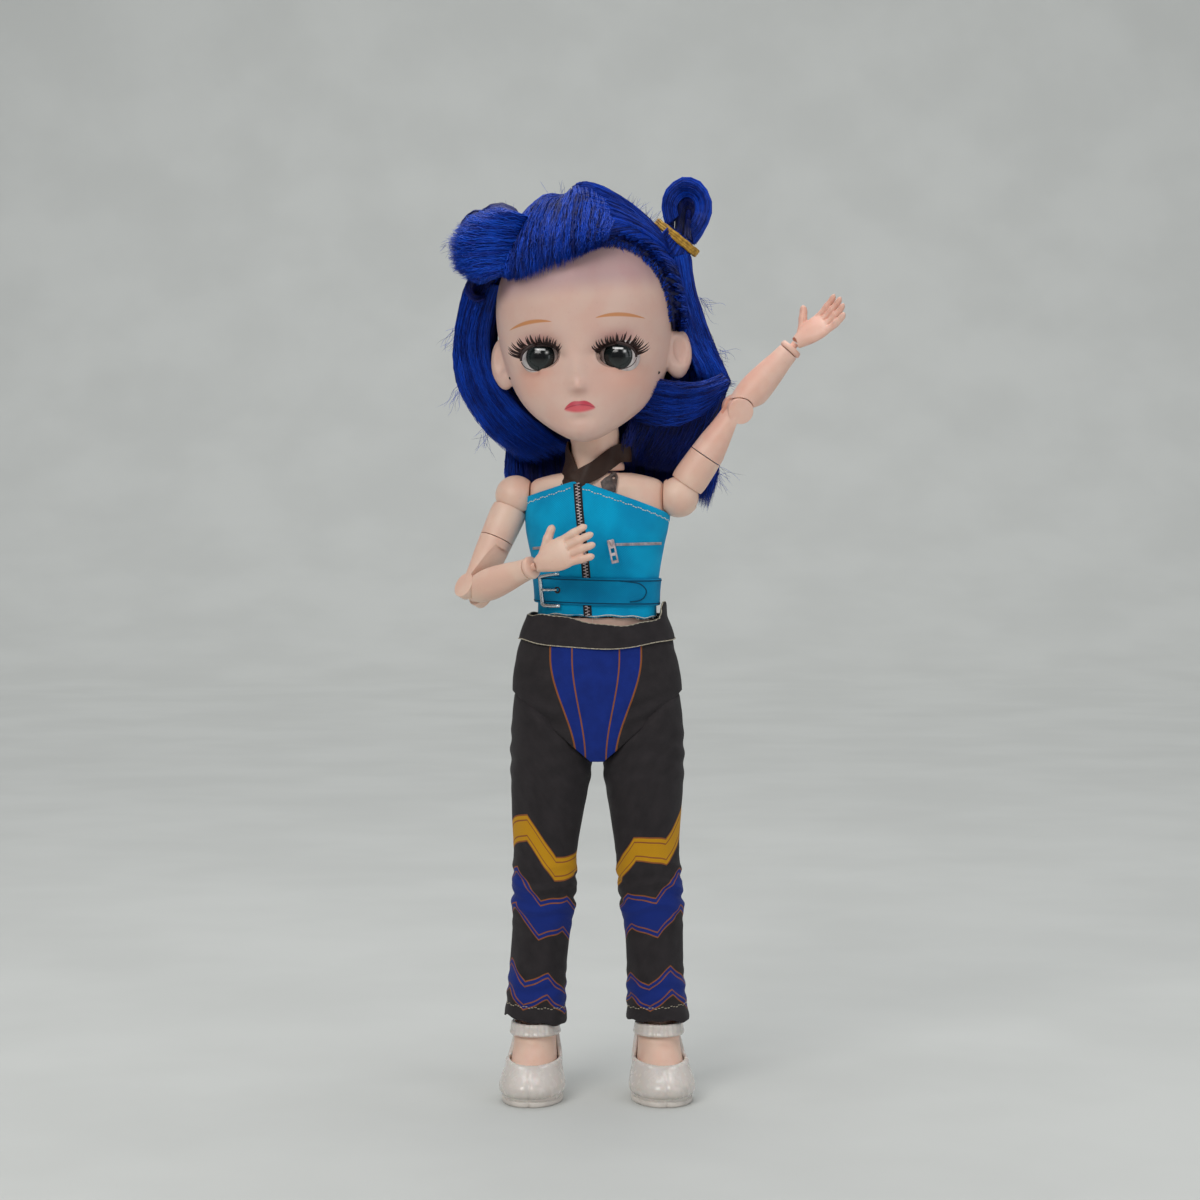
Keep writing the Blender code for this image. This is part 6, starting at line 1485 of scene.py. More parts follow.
# The fringe falls forwards and to the right from the parting, and is cut above the brow
roots = seen(
    (507, 243, -12), (522, 228, -12), (541, 213, -12), (560, 206, -12), (580, 214, -15), (598, 222, -19),
    (612, 232, -22),
)
tips = seen(
    (484, 269, -18), (498, 277, -22), (522, 281, -26), (549, 275, -29), (574, 264, -31), (590, 253, -31),
    (604, 246, -29),
)
comb(
    "hair_fringe_low", roots, tips, 5200, HAIR, lift=(1.2, 3.6), starts=0.30, ends=0.13, wander=0.40,
    tip_lift=0.6, pull=0.3,
)
comb(
    "hair_fringe_high", roots, tips, 5200, HAIR, lift=(3.0, 5.4), starts=0.65, ends=0.24, wander=0.60,
    tip_lift=2.0, pull=0.25,
)
crown = seen(
    (526, 214, -2), (540, 200, -2), (556, 193, -3), (570, 197, -4), (575, 204, -8), (592, 208, -12),
    (606, 216, -16),
)
comb(
    "hair_lobe_right", crown, tips * 0.45 + roots * 0.55, 3000, HAIR, lift=(3.2, 4.8), starts=0.2, ends=0.3,
    wander=0.3,
)
side_roots = part_line[3:6] - np.array([2.0, 0, 0]) * mm
side_tips = seen((478, 250, 8), (486, 262, 0), (494, 270, -8))
comb("hair_side_right", side_roots, side_tips, 2200, HAIR, lift=(2.8, 4.6), wander=0.3)

# The brush of cut ends, in the brighter hair colour as painted light, and the humps over it, in the darker one
# as painted shade, at the right loop
fan = []
fan_tips = (
    (478, 284), (464, 279), (453, 270), (449, 257), (449, 243), (455, 230), (467, 219), (482, 213),
    (496, 210),
)
fan_roots = (
    (512, 268), (514, 262), (515, 256), (515, 250), (515, 244), (516, 238), (517, 231), (519, 224),
    (521, 217),
)
for j, ((x, y), (from_x, from_y)) in enumerate(zip(fan_tips, fan_roots)):
    fan.append(seen(
        (from_x + 12, from_y + 2, -13), (from_x - 4, (from_y * 2 + y) / 3, -17),
        ((from_x + 2 * x) / 3, (from_y + 2 * y) / 3, -17), (x, y, -13 + 1.2 * j),
    ))
lock(
    "hair_brush_right", fan, 5200, LIT_HAIR, thick=9.0, wander=0.7, starts=0.5, ends=0.26, steps=10,
    pull=0.2,
)
hump = [
    seen((524, 234, -2), (519, 213, 0), (502, 205, 2), (486, 211, 3), (480, 228, 2), (488, 244, 0)),
    seen((518, 238, -6), (513, 220, -6), (500, 213, -5), (488, 218, -4), (485, 232, -4), (492, 246, -4)),
]
lock("hair_loop_right_strands", hump, 1800, SHADED_HAIR, thick=7.0, wander=0.25, ends=0.03)
hump = [
    hump[1],
    seen((512, 240, -4), (509, 226, -4), (501, 220, -4), (493, 223, -4), (490, 234, -4), (496, 248, -4)),
    seen((506, 242, -3), (504, 232, -3), (501, 228, -3), (498, 230, -3), (497, 238, -3), (501, 248, -3)),
]
lock("hair_loop_right_filling", hump, 1400, SHADED_HAIR, thick=6.0, wander=0.25, ends=0.03)
hump = [
    seen((498, 224, 4), (488, 213, 5), (475, 212, 6), (464, 222, 6), (460, 238, 5), (470, 252, 2)),
    seen((494, 232, 0), (486, 222, 0), (475, 221, 0), (468, 230, 0), (466, 242, 0), (474, 254, 0)),
]
hump.append(seen(
    (490, 240, -2), (484, 232, -2), (476, 231, -2), (472, 238, -2), (473, 246, -2), (480, 256, -2),
))
lock("hair_loop_right_outer", hump, 1800, SHADED_HAIR, thick=6.0, wander=0.25, ends=0.03)
knot = [
    seen((496, 276, -8), (482, 274, -8), (470, 280, -7), (467, 292, -6), (474, 301, -5), (486, 300, -4)),
    seen((494, 282, -6), (483, 280, -6), (475, 284, -6), (473, 291, -5), (477, 296, -4), (486, 296, -3)),
]
lock("hair_knot_right", knot, 1200, SHADED_HAIR, thick=5.0, wander=0.25, ends=0.05)
link_up = [
    seen((494, 262, -2), (486, 272, -2), (476, 282, 0), (470, 296, 1)),
    seen((504, 268, 0), (496, 280, 0), (488, 292, 1), (482, 306, 2)),
]
lock("hair_knot_link", link_up, 1200, SHADED_HAIR, thick=7.0, wander=0.4, ends=0.02)

# Curtain on the right side of the head
curtain = [
    seen(
        (470, 276, 2), (461, 304, 3), (455, 342, 5), (456, 372, 6), (466, 400, 6), (490, 434, 7),
        (524, 462, 9),
    ),
    seen(
        (480, 280, -1), (470, 306, 1), (463, 342, 4), (466, 372, 5), (478, 402, 6), (504, 436, 8),
        (540, 462, 10),
    ),
    seen(
        (490, 284, -3), (480, 308, 0), (473, 340, 3), (478, 370, 5), (494, 402, 7), (522, 434, 10),
        (556, 456, 12),
    ),
    seen(
        (500, 286, -5), (491, 312, -1), (487, 342, 3), (494, 376, 6), (514, 404, 8), (544, 432, 12),
        (572, 450, 14),
    ),
]
curtain = [curve + np.array([0, 3.5, 0]) * mm for curve in curtain]
lock("hair_curtain_right", curtain, 5200, HAIR, thick=7.0, wander=0.8, ends=0.16, steps=18, pull=0.35)
lock(
    "hair_curtain_right_shade", [curve + np.array([1.5, 6, 0]) * mm for curve in curtain], 2400, SHADED_HAIR,
    thick=9.0, wander=0.5, ends=0.2, steps=16
)

# Loop with its elastic on the left side of the head
rings_of_loop = []
for scale, depth in ((1.0, 0), (0.86, -1), (0.70, 0), (0.54, 2), (0.38, 4)):
    curve = []
    for x, y in ((-21, 16), (-25, -2), (-20, -20), (-4, -32), (14, -27), (24, -8), (20, 14), (7, 35)):
        curve.append((687 + x * scale, 211 + y * scale, 2 + depth))
    rings_of_loop.append(seen(*curve))
lock(
    "hair_loop_left_strands", rings_of_loop, 3600, HAIR, thick=6.5, wander=0.18, starts=0.0, ends=0.02,
    steps=22, pull=0.6,
)
core = [
    seen((676, 240, 3), (677, 222, 5), (684, 206, 6), (694, 206, 6), (698, 222, 5), (690, 244, 3)),
    seen((682, 240, 4), (683, 224, 6), (687, 213, 7), (692, 213, 7), (693, 224, 6), (688, 242, 4)),
]
lock("hair_loop_left_core", core, 1200, SHADED_HAIR, thick=4.0, wander=0.15, ends=0.02)
filling = [
    seen(
        (668, 236, 3), (668, 208, 4), (678, 190, 4), (690, 186, 4), (704, 198, 4), (707, 214, 4),
        (696, 240, 3),
    ),
    seen(
        (676, 238, 4), (678, 214, 5), (684, 200, 5), (690, 198, 5), (697, 206, 5), (698, 220, 5),
        (690, 242, 4),
    ),
    seen(
        (684, 240, 5), (685, 222, 6), (687, 212, 6), (689, 211, 6), (691, 213, 6), (690, 224, 6),
        (687, 242, 5),
    ),
]
filling += [
    seen(
        (686, 238, 3), (686, 230, 4), (687, 222, 4), (688, 219, 4), (689, 222, 4), (690, 230, 4),
        (690, 243, 3),
    ),
    seen(
        (692, 242, 3), (691, 232, 4), (690, 224, 4), (690, 221, 4), (691, 224, 4), (693, 232, 4),
        (694, 246, 3),
    ),
]
lock("hair_loop_left_filling", filling, 2400, SHADED_HAIR, thick=4.0, wander=0.15, starts=0.0, ends=0.02)
gather = [
    seen((640, 246, -12), (652, 240, -8), (662, 234, -4), (670, 226, 0)),
    seen((652, 264, -8), (662, 252, -5), (671, 242, -2), (678, 232, 1)),
    seen((664, 284, -4), (671, 266, -3), (679, 250, -1), (685, 238, 1)),
    seen((684, 292, 2), (687, 274, 1), (689, 258, 1), (692, 244, 2)),
]
lock("hair_gather_left", gather, 2200, HAIR, thick=6.0, wander=0.2, ends=0.03)
band_points = []
start, stop = seen((657, 223, 1), (696, 254, 1))
middle = (start + stop) / 2
half = (stop - start) / 2
deep = np.array([0, 5.2, 0]) * mm
for i in range(64):
    angle = 2 * math.pi * i / 64
    pucker = 0.10 * mm * math.sin(11 * angle)
    band_points.append(
        Vector(middle + half * math.cos(angle) + deep * math.sin(angle)) + Vector((0, 0, pucker))
    )
for k, shift in enumerate((-0.75, 0.0, 0.75)):
    up = Vector((half[2], 0, -half[0])).normalized() * shift * mm * -1.0
    band = tube(
        "hair_band_left_" + str(k), [point + up for point in band_points], 0.62 * mm, ELASTIC, head_at, 12,
        True
    )
    finish_piece(band, "head", "hair_elastic", "hair_band_left")
band_points = []
for i in range(48):
    angle = 2 * math.pi * i / 48
    band_points.append(
        to_head @ photo(494 + 11 * math.cos(angle), 245 + 5 * math.cos(angle), -2)
        + Vector((0, 4.5 * mm * math.sin(angle), 0))
    )
band = tube("hair_band_right_cord", band_points, 0.9 * mm, ELASTIC, head_at, 12, True)
finish_piece(band, "head", "hair_elastic", "hair_band_right")

# Tail on the left side, in the brighter hair colour as painted light: it swells to a blunt end at the cheek's
# height, and a mass in the darker hair colour, painted shade, falls behind it
tail = [
    seen((664, 262, -5), (672, 290, -3), (676, 318, 0), (686, 344, 3), (694, 362, 4), (700, 378, 4)),
    seen((674, 258, -3), (681, 288, 0), (688, 318, 2), (698, 346, 4), (708, 366, 5), (714, 382, 4)),
    seen((684, 256, -1), (688, 286, 2), (697, 318, 4), (708, 348, 5), (719, 370, 5), (724, 384, 4)),
    seen((690, 256, 1), (693, 284, 4), (703, 318, 5), (715, 350, 6), (726, 374, 5), (730, 384, 4)),
]
lock("hair_tail_left_strands", tail, 4200, LIT_HAIR, thick=8.0, wander=0.45, ends=0.06, steps=16)
lock(
    "hair_tail_left_shade", [curve + np.array([-2, 8, 0]) * mm for curve in tail], 2200, SHADED_HAIR,
    thick=9.0, wander=0.4, ends=0.05
)
inner_tail = [
    seen((664, 290, 8), (668, 316, 9), (672, 342, 10), (674, 368, 10), (668, 396, 9)),
    seen((676, 288, 8), (684, 320, 9), (690, 348, 10), (694, 372, 10), (690, 398, 9)),
    seen((688, 288, 8), (700, 322, 9), (712, 352, 10), (718, 376, 10), (714, 398, 9)),
]
lock("hair_tail_left_inner", inner_tail, 3000, HAIR, thick=7.0, wander=0.6, starts=0.0, ends=0.10, dark=0.1)
swath = [
    seen((722, 374, 1), (704, 382, -2), (684, 384, -4), (664, 382, -6), (645, 378, -9), (637, 374, -11)),
    seen((729, 381, 2), (708, 390, -2), (686, 393, -4), (664, 392, -6), (646, 388, -8), (638, 384, -10)),
    seen((728, 388, 3), (706, 402, 0), (684, 408, -2), (660, 408, -4), (642, 404, -6), (632, 400, -6)),
    seen((722, 398, 4), (702, 416, 2), (680, 424, 0), (656, 424, -1), (636, 420, -1), (624, 416, 0)),
]
lock(
    "hair_swath_left", swath, 3600, HAIR, thick=5.0, wander=0.9, starts=0.10, ends=0.30, steps=14,
    dark=0.12, pull=0.25,
)
crossing = [
    seen((640, 392, -7), (662, 398, -4), (688, 396, -1), (712, 388, 2), (728, 378, 4)),
    seen((632, 416, -3), (658, 416, -1), (684, 412, 1), (708, 404, 3), (726, 394, 4)),
]
lock(
    "hair_swath_crossing", crossing, 1500, HAIR, thick=5.0, wander=1.1, starts=0.4, ends=0.4, steps=10,
    dark=0.1, pull=0.1,
)
mass = [
    seen((640, 396, 2), (634, 412, 2), (628, 430, 0), (623, 446, -2), (622, 464, -2)),
    seen((662, 396, 2), (658, 416, 4), (650, 436, 6), (642, 452, 8), (640, 466, 9)),
    seen((690, 394, 2), (686, 416, 3), (678, 438, 5), (666, 456, 7), (656, 470, 8)),
    seen((724, 386, 3), (718, 408, 4), (706, 432, 5), (690, 454, 7), (674, 472, 8)),
]
lock("hair_mass_left", mass, 4800, SHADED_HAIR, thick=8.0, wander=0.6, starts=0.05, ends=0.12, steps=14)
behind = [
    seen((690, 380, 14), (690, 410, 16), (690, 440, 18), (688, 470, 18), (692, 496, 18)),
    seen((726, 384, 12), (722, 412, 15), (718, 444, 17), (716, 476, 18), (706, 512, 18)),
]
lock("hair_behind_left", behind, 1800, HAIR, thick=7.0, wander=0.8, starts=0.0, ends=0.22, steps=14)

# Back of the head, and the hair that falls from it
for side, label in ((1, "left"), (-1, "right")):
    gathering = LOOP_LEFT if side > 0 else LOOP_RIGHT
    low_line = np.array([
        (0, 32, 26), (side * 8, 32, 20), (side * 16, 29, 16), (side * 23, 22, 16), (side * 28, 12, 18),
    ]) * mm
    comb("hair_back_" + label, low_line, near(gathering, 10), 3000, HAIR, wander=0.3, lift=(3.0, 4.8))
    fall = []
    for x, y, drift in ((1, 33.5, 0.2), (9, 33, 0.4), (17, 30, 0.8), (24, 24, 1.4), (29, 15, 2.2)):
        fall.append(np.array([
            (side * x * 0.9, y - 1, 34), (side * x, y + 2.5, 22), (side * (x + 1.0), y + 2, 6),
            (side * (x + 1), y - 1, -8), (side * (x + drift), y - 4, -20),
            (side * (x * 0.96 + drift), y - 6, -30),
        ]) * mm)
    lock(
        "hair_fall_" + label, fall, 5200, HAIR, thick=4.0, wander=0.6, starts=0.10, ends=0.14, steps=16,
        outward=(0, 1, 0),
    )
    lock(
        "hair_fall_under_" + label, [curve - np.array([0, 4, 0]) * mm for curve in fall[:4]], 2200,
        SHADED_HAIR, thick=3.0, wander=0.5, starts=0.2, ends=0.1, steps=12
    )

# A thin layer of hairs that left their locks
for name, guides, count in (
    ("curtain", curtain, 900), ("tail", tail, 600), ("swath", swath, 700), ("mass", mass, 600),
    ("tuft", fan, 500),
):
    forward = [curve - np.array([0, 1.5, 0]) * mm for curve in guides]
    lock(
        "hair_fly_" + name, forward, count, HAIR, thick=6.0, wander=0.9, starts=0.3, ends=0.35, radius=0.06,
        pull=0.0, steps=12,
    )

# Loose hairs round the outline
loose = []


def stray(x, y, depth, dx, dy, length, curl, count, spread):
    for _ in range(count):
        root = np.array(seen((x + rng.normal() * spread * 0.45, y + rng.normal() * spread * 0.45, depth)))[0]
        turn = rng.normal() * 0.35
        aim = np.array([
            dx * math.cos(turn) - dy * math.sin(turn), rng.normal() * 0.25,
            -(dx * math.sin(turn) + dy * math.cos(turn)),
        ])
        side = np.array([-aim[2], 0, aim[0]])
        size = length * (0.3 + rng.random() * 0.45) * mm
        phase = rng.random() * 6.28
        path = []
        for s in np.linspace(0, 1, 16):
            wave = math.sin(phase + s * 3.2 * (0.6 + 0.5 * curl)) - math.sin(phase)
            path.append(root + aim * size * s + side * wave * curl * size * 0.16)
        loose.append(path)


stray(628, 214, -4, 0.45, -0.9, 10, 0.5, 26, 7)
stray(646, 228, -4, 0.35, -0.9, 12, 0.4, 22, 5)
stray(560, 196, -2, 0.1, -1.0, 8, 0.4, 8, 8)
stray(700, 300, 4, 0.7, 0.7, 12, 1.2, 16, 6)
stray(716, 350, 4, 0.6, 0.6, 12, 1.2, 16, 6)
stray(458, 330, 4, -0.5, 0.8, 12, 1.0, 14, 6)
stray(460, 390, 4, -0.5, 0.8, 13, 0.9, 16, 6)
stray(486, 430, 6, -0.3, 0.9, 14, 0.7, 16, 7)
stray(452, 245, -10, -0.9, 0.2, 5, 0.4, 30, 8)
stray(505, 215, 0, -0.3, -0.9, 6, 0.5, 14, 9)
stray(716, 470, 16, 0.4, 0.9, 13, 0.6, 22, 6)
stray(728, 384, 3, 0.9, 0.3, 4, 0.5, 20, 5)
finish_piece(hairs("hair_loose", loose, 0.045 * mm, HAIR, head_at), "head", "hair")
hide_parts("hair_fringe")
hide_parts("hair_loop_left")
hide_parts("hair_loop_right")
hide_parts("hair_tail_left")
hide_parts("hair_tail_right")


# Clothes: each is a closed wall of cloth between two edges
AROUND = 192


def sampled(section, low, high, count=160):
    """A section of the body as smooth functions of the height."""
    heights = np.linspace(low, high, count)
    values = np.array([section(z) for z in heights])

    def place(angle, z, extra):
        wide, front, back = (np.interp(z, heights, values[:, k]) + extra for k in range(3))
        deep = np.where(np.sin(angle) > 0, back, front)
        return np.stack([wide * np.cos(angle), deep * np.sin(angle), z], -1)

    return place


def level_at(height):
    return lambda angle: np.full(np.shape(angle), height)


def cloth_wall(name, place, low, high, inside, outside, look, matrix, rows=48, sides=AROUND, relief=None):
    angle = np.linspace(0, 2 * math.pi, sides, endpoint=False)
    bottom, top = low(angle), high(angle)
    half, middle = (outside - inside) / 2, (outside + inside) / 2
    turns = np.radians((30, 60, 90, 120, 150))
    profile = [(share, 1.0, 0.0) for share in np.linspace(0, 1, rows)]
    profile += [(1.0, math.cos(turn), math.sin(turn)) for turn in turns]
    profile += [(share, -1.0, 0.0) for share in np.linspace(1, 0, rows // 2)]
    profile += [(0.0, -math.cos(turn), -math.sin(turn)) for turn in turns]
    made = []
    for share, layer, lift in profile:
        z = bottom + (top - bottom) * share
        extra = np.full(sides, middle + half * layer)
        if relief:
            extra = extra + relief(angle, z) * (1 if layer > 0 else 0.6)
        made.append(place(angle, z + lift * half, extra))
    return tidy_normals(surface(name, made, look, matrix, loop=True))


def ripple(angle, centre, spread):
    """1 at an angle, falling off on both sides of it."""
    off = np.angle(np.exp(1j * (angle - centre)))
    return np.exp(-((off / spread) ** 2))


around_chest = sampled(chest_section, 0.0, CHEST_HEIGHT)
WALL = TOP_SLACK + CLOTH
TOP_PEAK = (waist_at.inverted() @ photo(577.5, 482, -12.0)).x
TOP_PEAK_RISE = (waist_at.inverted() @ photo(577.5, 481.5, -12.0)).z


def top_rim(angle):
    """The neckline falls in two straight lines from its peak over the zip, then runs level round the back."""
    off = CHEST_WIDTH / 2 * 1.03 * np.cos(angle) - TOP_PEAK
    slope = np.where(off > 0, 0.37, 0.36)
    fall = (
        slope * (np.sqrt(off**2 + (1.2 * mm) ** 2) - 1.2 * mm)
        + 0.9 * mm * np.clip(np.cos(angle), 0, 1) ** 6
    )
    front = np.clip(-np.sin(angle) / 0.25, 0, 1)
    return (TOP_PEAK_RISE - fall) * front + (TOP_SIDE_RISE + 1.6 * mm) * (1 - front)


def top_hem(angle):
    return (
        TOP_HEM - 1.1 * mm + 0.35 * mm * np.sin(5 * angle + 1) + 0.2 * mm * np.sin(13 * angle)
        + 0.9 * mm * ripple(angle, -1.9, 0.5)
    )


def top_relief(angle, z):
    under_edge = top_rim(angle) - z
    fold = 0.16 * mm * (1 / (1 + np.exp((under_edge - 1.7 * mm) / (0.12 * mm))))
    soft = 0.20 * mm * np.sin(3.1 * angle + z / (5 * mm)) + 0.10 * mm * np.sin(9 * angle - z / (3 * mm))
    bust = (
        0.5 * mm * (ripple(angle, -1.1, 0.35) + ripple(angle, -2.04, 0.35))
        * np.exp(-(((z - 27 * mm) / (7 * mm)) ** 2))
    )
    return fold + soft * 0.6 + bust


top = cloth_wall(
    "top_cloth", around_chest, top_hem, top_rim, TOP_SLACK, WALL, TEAL, waist_at, rows=90, relief=top_relief
)
finish_piece(top, "chest", "top_cloth", "halter_top")
to_waist = waist_at.inverted()


def on_top(across, down, out=0.0):
    """The place on the front of the top that a point of the picture shows, and the way it faces."""
    depth = -12.0
    for _ in range(4):
        point = to_waist @ photo(across, down, depth)
        half_width, front, _ = chest_section(point.z, WALL + out)
        off = min(abs(point.x / half_width), 0.97)
        y = -front * math.sqrt(1 - off**2)
        depth = (waist_at @ Vector((point.x, y, point.z))).y / mm
    facing = Vector((point.x / half_width**2, y / front**2, 0)).normalized()
    swell = 0.0
    if out < BELT_THICKNESS:
        swell = float(
            top_relief(np.array([math.atan2(y / front, point.x / half_width)]), np.array([point.z]))[0]
        )
    return Vector((point.x, y, point.z)) + facing * swell, facing


def trail(points, spacing):
    """Evenly spaced places along a line drawn on the front of the top."""
    fine = resample(np.array(points, float), 200)
    places = [on_top(across, down, 0.0) for across, down in fine]
    runs = [0.0]
    for (one, _), (two, _) in zip(places, places[1:]):
        runs.append(runs[-1] + (two - one).length)
    found = []
    for run in np.arange(0, runs[-1], spacing):
        i = min(int(np.searchsorted(runs, run)), len(places) - 2)
        point, facing = places[i]
        ahead = (places[i + 1][0] - places[max(i - 1, 0)][0]).normalized()
        found.append((point, facing, ahead))
    return found


def small_blocks(name, places, size, look, matrix, edge=0.08 * mm):
    """Small rounded blocks, each at (point, facing, ahead), in one mesh."""
    bm = bmesh.new()
    for point, facing, ahead in places:
        side = ahead.cross(facing).normalized()
        turn = Matrix((side, facing, ahead)).transposed().to_4x4()
        bmesh.ops.create_cube(
            bm, size=1.0, matrix=Matrix.Translation(point) @ turn @ Matrix.Diagonal((*size, 1.0)),
        )
    bmesh.ops.bevel(bm, geom=list(bm.edges), offset=edge, segments=2, affect="EDGES", profile=0.5)
    obj = from_bmesh(name, bm, look, matrix)
    obj.data.shade_smooth()
    return obj


def strip(name, places, width, thickness, look, matrix):
    """A flat tape along places on the cloth."""
    rows = []
    for point, facing, ahead in places:
        side = ahead.cross(facing).normalized() * width / 2
        lift = facing * thickness
        rows.append([tuple(p) for p in (
            point - side - lift, point + side - lift, point + side + lift,
            point + side * 0.9 + lift * 1.15, point - side * 0.9 + lift * 1.15, point - side + lift,
        )])
    return tidy_normals(surface(name, rows, look, matrix), 40)


# Zip down the front, hidden where the belt crosses it
TOOTH_PITCH = 1.04 * mm
for name, line in (
    ("upper", [(577.6, 483), (579, 505), (581, 525), (584, 550), (586.5, 578)]),
    ("lower", [(587, 601), (587.5, 608), (588, 617)]),
):
    places = trail(line, TOOTH_PITCH / 2)
    tape = strip("zip_tape_" + name, places, 2.7 * mm, 0.10 * mm, TAPE, waist_at)
    finish_piece(tape, "chest", "top_cloth")
    teeth = []
    for i, (point, facing, ahead) in enumerate(places):
        side = ahead.cross(facing).normalized() * (0.30 if i % 2 else -0.30) * mm
        teeth.append((point + facing * 0.18 * mm + side, facing, ahead))
    teeth = small_blocks(
        "zip_teeth_" + name, teeth, (0.90 * mm, 0.52 * mm, 0.30 * mm), METAL, waist_at, 0.05 * mm,
    )
    finish_piece(teeth, "chest", "joint_pin")


def pull(name, across, down, lean, cover):
    """A slider with its flat pull, which has two windows."""
    point, facing = on_top(across, down, 0.2 * mm)
    ahead = Vector((0, 0, 1)) - facing * facing.z
    ahead.normalize()
    side = ahead.cross(facing).normalized()
    place = Matrix((side, facing, ahead)).transposed().to_4x4()
    at = waist_at @ Matrix.Translation(point) @ place @ turned("Y", lean)
    parts = []
    if not cover:
        body = rounded(
            "slider", (2.3 * mm, 1.0 * mm, 2.5 * mm), METAL, at @ Matrix.Translation((0, 0.2 * mm, 0)),
            0.3 * mm,
        )
        bridge = rounded(
            "bridge", (0.8 * mm, 1.0 * mm, 1.7 * mm), METAL, at @ Matrix.Translation((0, 0.7 * mm, 0)),
            0.25 * mm,
        )
        parts += [body, bridge]
    plate = rounded(
        "plate", (2.3 * mm, 0.45 * mm, 5.6 * mm), METAL, at @ Matrix.Translation((0, 0.65 * mm, -3.6 * mm)),
        0.12 * mm,
    )
    windows = [
        ((1.2 * mm, 3 * mm, 1.5 * mm), (0, 0.65 * mm, -2.3 * mm)),
        ((1.3 * mm, 3 * mm, 1.5 * mm), (0, 0.65 * mm, -4.7 * mm)),
    ]
    combine(plate, "DIFFERENCE", *[block(size, centre, at) for size, centre in windows])
    parts.append(plate)
    made = merge(name, parts, METAL)
    return finish_piece(made, "chest", "joint_pin")


pull("pocket_pull_left", 611, 543, -12, False)
pull("pocket_pull_right", 559, 546, -4, False)
for name, line in (
    ("left", [(616, 544), (638, 543.5), (661, 543)]), ("right", [(534, 548), (545, 547), (555, 546)]),
):
    places = trail(line, 0.42 * mm)
    teeth = [(point + facing * 0.15 * mm, facing, ahead) for point, facing, ahead in places]
    row = small_blocks(
        "pocket_teeth_" + name, teeth, (0.9 * mm, 0.42 * mm, 0.26 * mm), METAL, waist_at, 0.05 * mm,
    )
    finish_piece(row, "chest", "joint_pin")

# Stitches under the neckline, and threads that stand off the raw hem
stitches = []
for i in range(76):
    angle = math.radians(-90 + (i - 37.5) * 2.25)
    path = []
    for step in (-0.30, -0.1, 0.1, 0.30):
        here = np.array([angle + math.radians(2.25) * step])
        z = top_rim(here) - (1.75 + 0.18 * math.sin(i * 1.7)) * mm
        lift = WALL + top_relief(here, z) + 0.03 * mm + 0.08 * mm * (0.3 - abs(step)) / 0.3
        path.append(around_chest(here, z, lift)[0])
    if abs(path[1][0] + 5.9 * mm) > 1.9 * mm:
        stitches.append(path)
finish_piece(many_tubes("neckline_stitches", stitches, 0.15 * mm, THREAD, waist_at), "chest", "top_cloth")
frays = []
for i in range(150):
    angle = np.array([rng.random() * 2 * math.pi])
    z = top_hem(angle)
    start = around_chest(angle, z, np.array([WALL - 0.3 * mm]))[0]
    aim = np.array([
        math.cos(angle[0]) * 0.5, math.sin(angle[0]) * 0.5, -0.8 + rng.normal() * 0.4,
    ]) + rng.normal(size=3) * 0.3
    length = (0.4 + rng.random() * 0.9) * mm
    frays.append([
        start + aim * length * share + np.array([0, 0, 1]) * 0.2 * length * share**2
        for share in (0, 0.35, 0.7, 1)
    ])
finish_piece(many_tubes("hem_frays", frays, 0.05 * mm, THREAD, waist_at, 5), "chest", "top_cloth")
edge_line = []
for i in range(AROUND):
    angle = np.array([2 * math.pi * i / AROUND])
    edge_line.append(around_chest(angle, top_hem(angle) + 0.05 * mm, np.array([WALL + 0.02 * mm]))[0])
finish_piece(tube("hem_edge", edge_line, 0.16 * mm, THREAD, waist_at, 8, True), "chest", "top_cloth")

# Belt with its printed outline, rounded tongue, buckle and eyelet
belt_inside = WALL + GAP
belt_outside = belt_inside + BELT_THICKNESS
belt_top = BELT_BOTTOM + BELT_HEIGHT


def belt_sway(angle):
    return 0.5 * mm * np.cos(angle + 0.2) * -1


def belt_relief(angle, z):
    return 0.10 * mm * np.sin(4 * angle + z / (3 * mm)) + 0.06 * mm * np.sin(11 * angle)


belt = cloth_wall(
    "belt_cloth", around_chest, lambda angle: BELT_BOTTOM + belt_sway(angle),
    lambda angle: belt_top + belt_sway(angle), belt_inside, belt_outside, BELT, waist_at, rows=24,
    relief=belt_relief,
)
finish_piece(belt, "chest", "top_cloth", "belt")
for name, height in (("low", BELT_BOTTOM + 0.3 * mm), ("high", belt_top - 0.3 * mm)):
    angle = np.linspace(0, 2 * math.pi, AROUND, endpoint=False)
    z = height + belt_sway(angle)
    line = around_chest(angle, z, belt_outside + belt_relief(angle, z) - 0.02 * mm)
    finish_piece(
        tube("belt_piping_" + name, line, 0.20 * mm, TEAL_LINE, waist_at, 8, True), "chest", "top_cloth",
    )
tip = [(588, 578.2), (612, 580), (630, 581.5), (641, 584), (646.5, 591), (642, 599), (630, 601.5), (612, 601)]
tip_line = [
    on_top(across, down, belt_outside - WALL + 0.05 * mm)[0]
    for across, down in resample(np.array(tip, float), 70)
]
finish_piece(tube("belt_tongue", tip_line[14:60], 0.19 * mm, TEAL_LINE, waist_at), "chest", "top_cloth")
over_belt = belt_outside - WALL + 0.45 * mm
corners = [
    (559, 573.5), (549, 574.5), (541.5, 576), (540, 577.5), (540.6, 584), (541.8, 596), (542.6, 603.5),
    (544, 605), (551, 605.5), (560, 605.5),
]
buckle_line = []
for one, two in zip(corners, corners[1:]):
    for share in (0, 0.34, 0.67):
        buckle_line.append(on_top(
            one[0] + (two[0] - one[0]) * share, one[1] + (two[1] - one[1]) * share, over_belt,
        )[0])
buckle_line.append(on_top(*corners[-1], over_belt)[0])
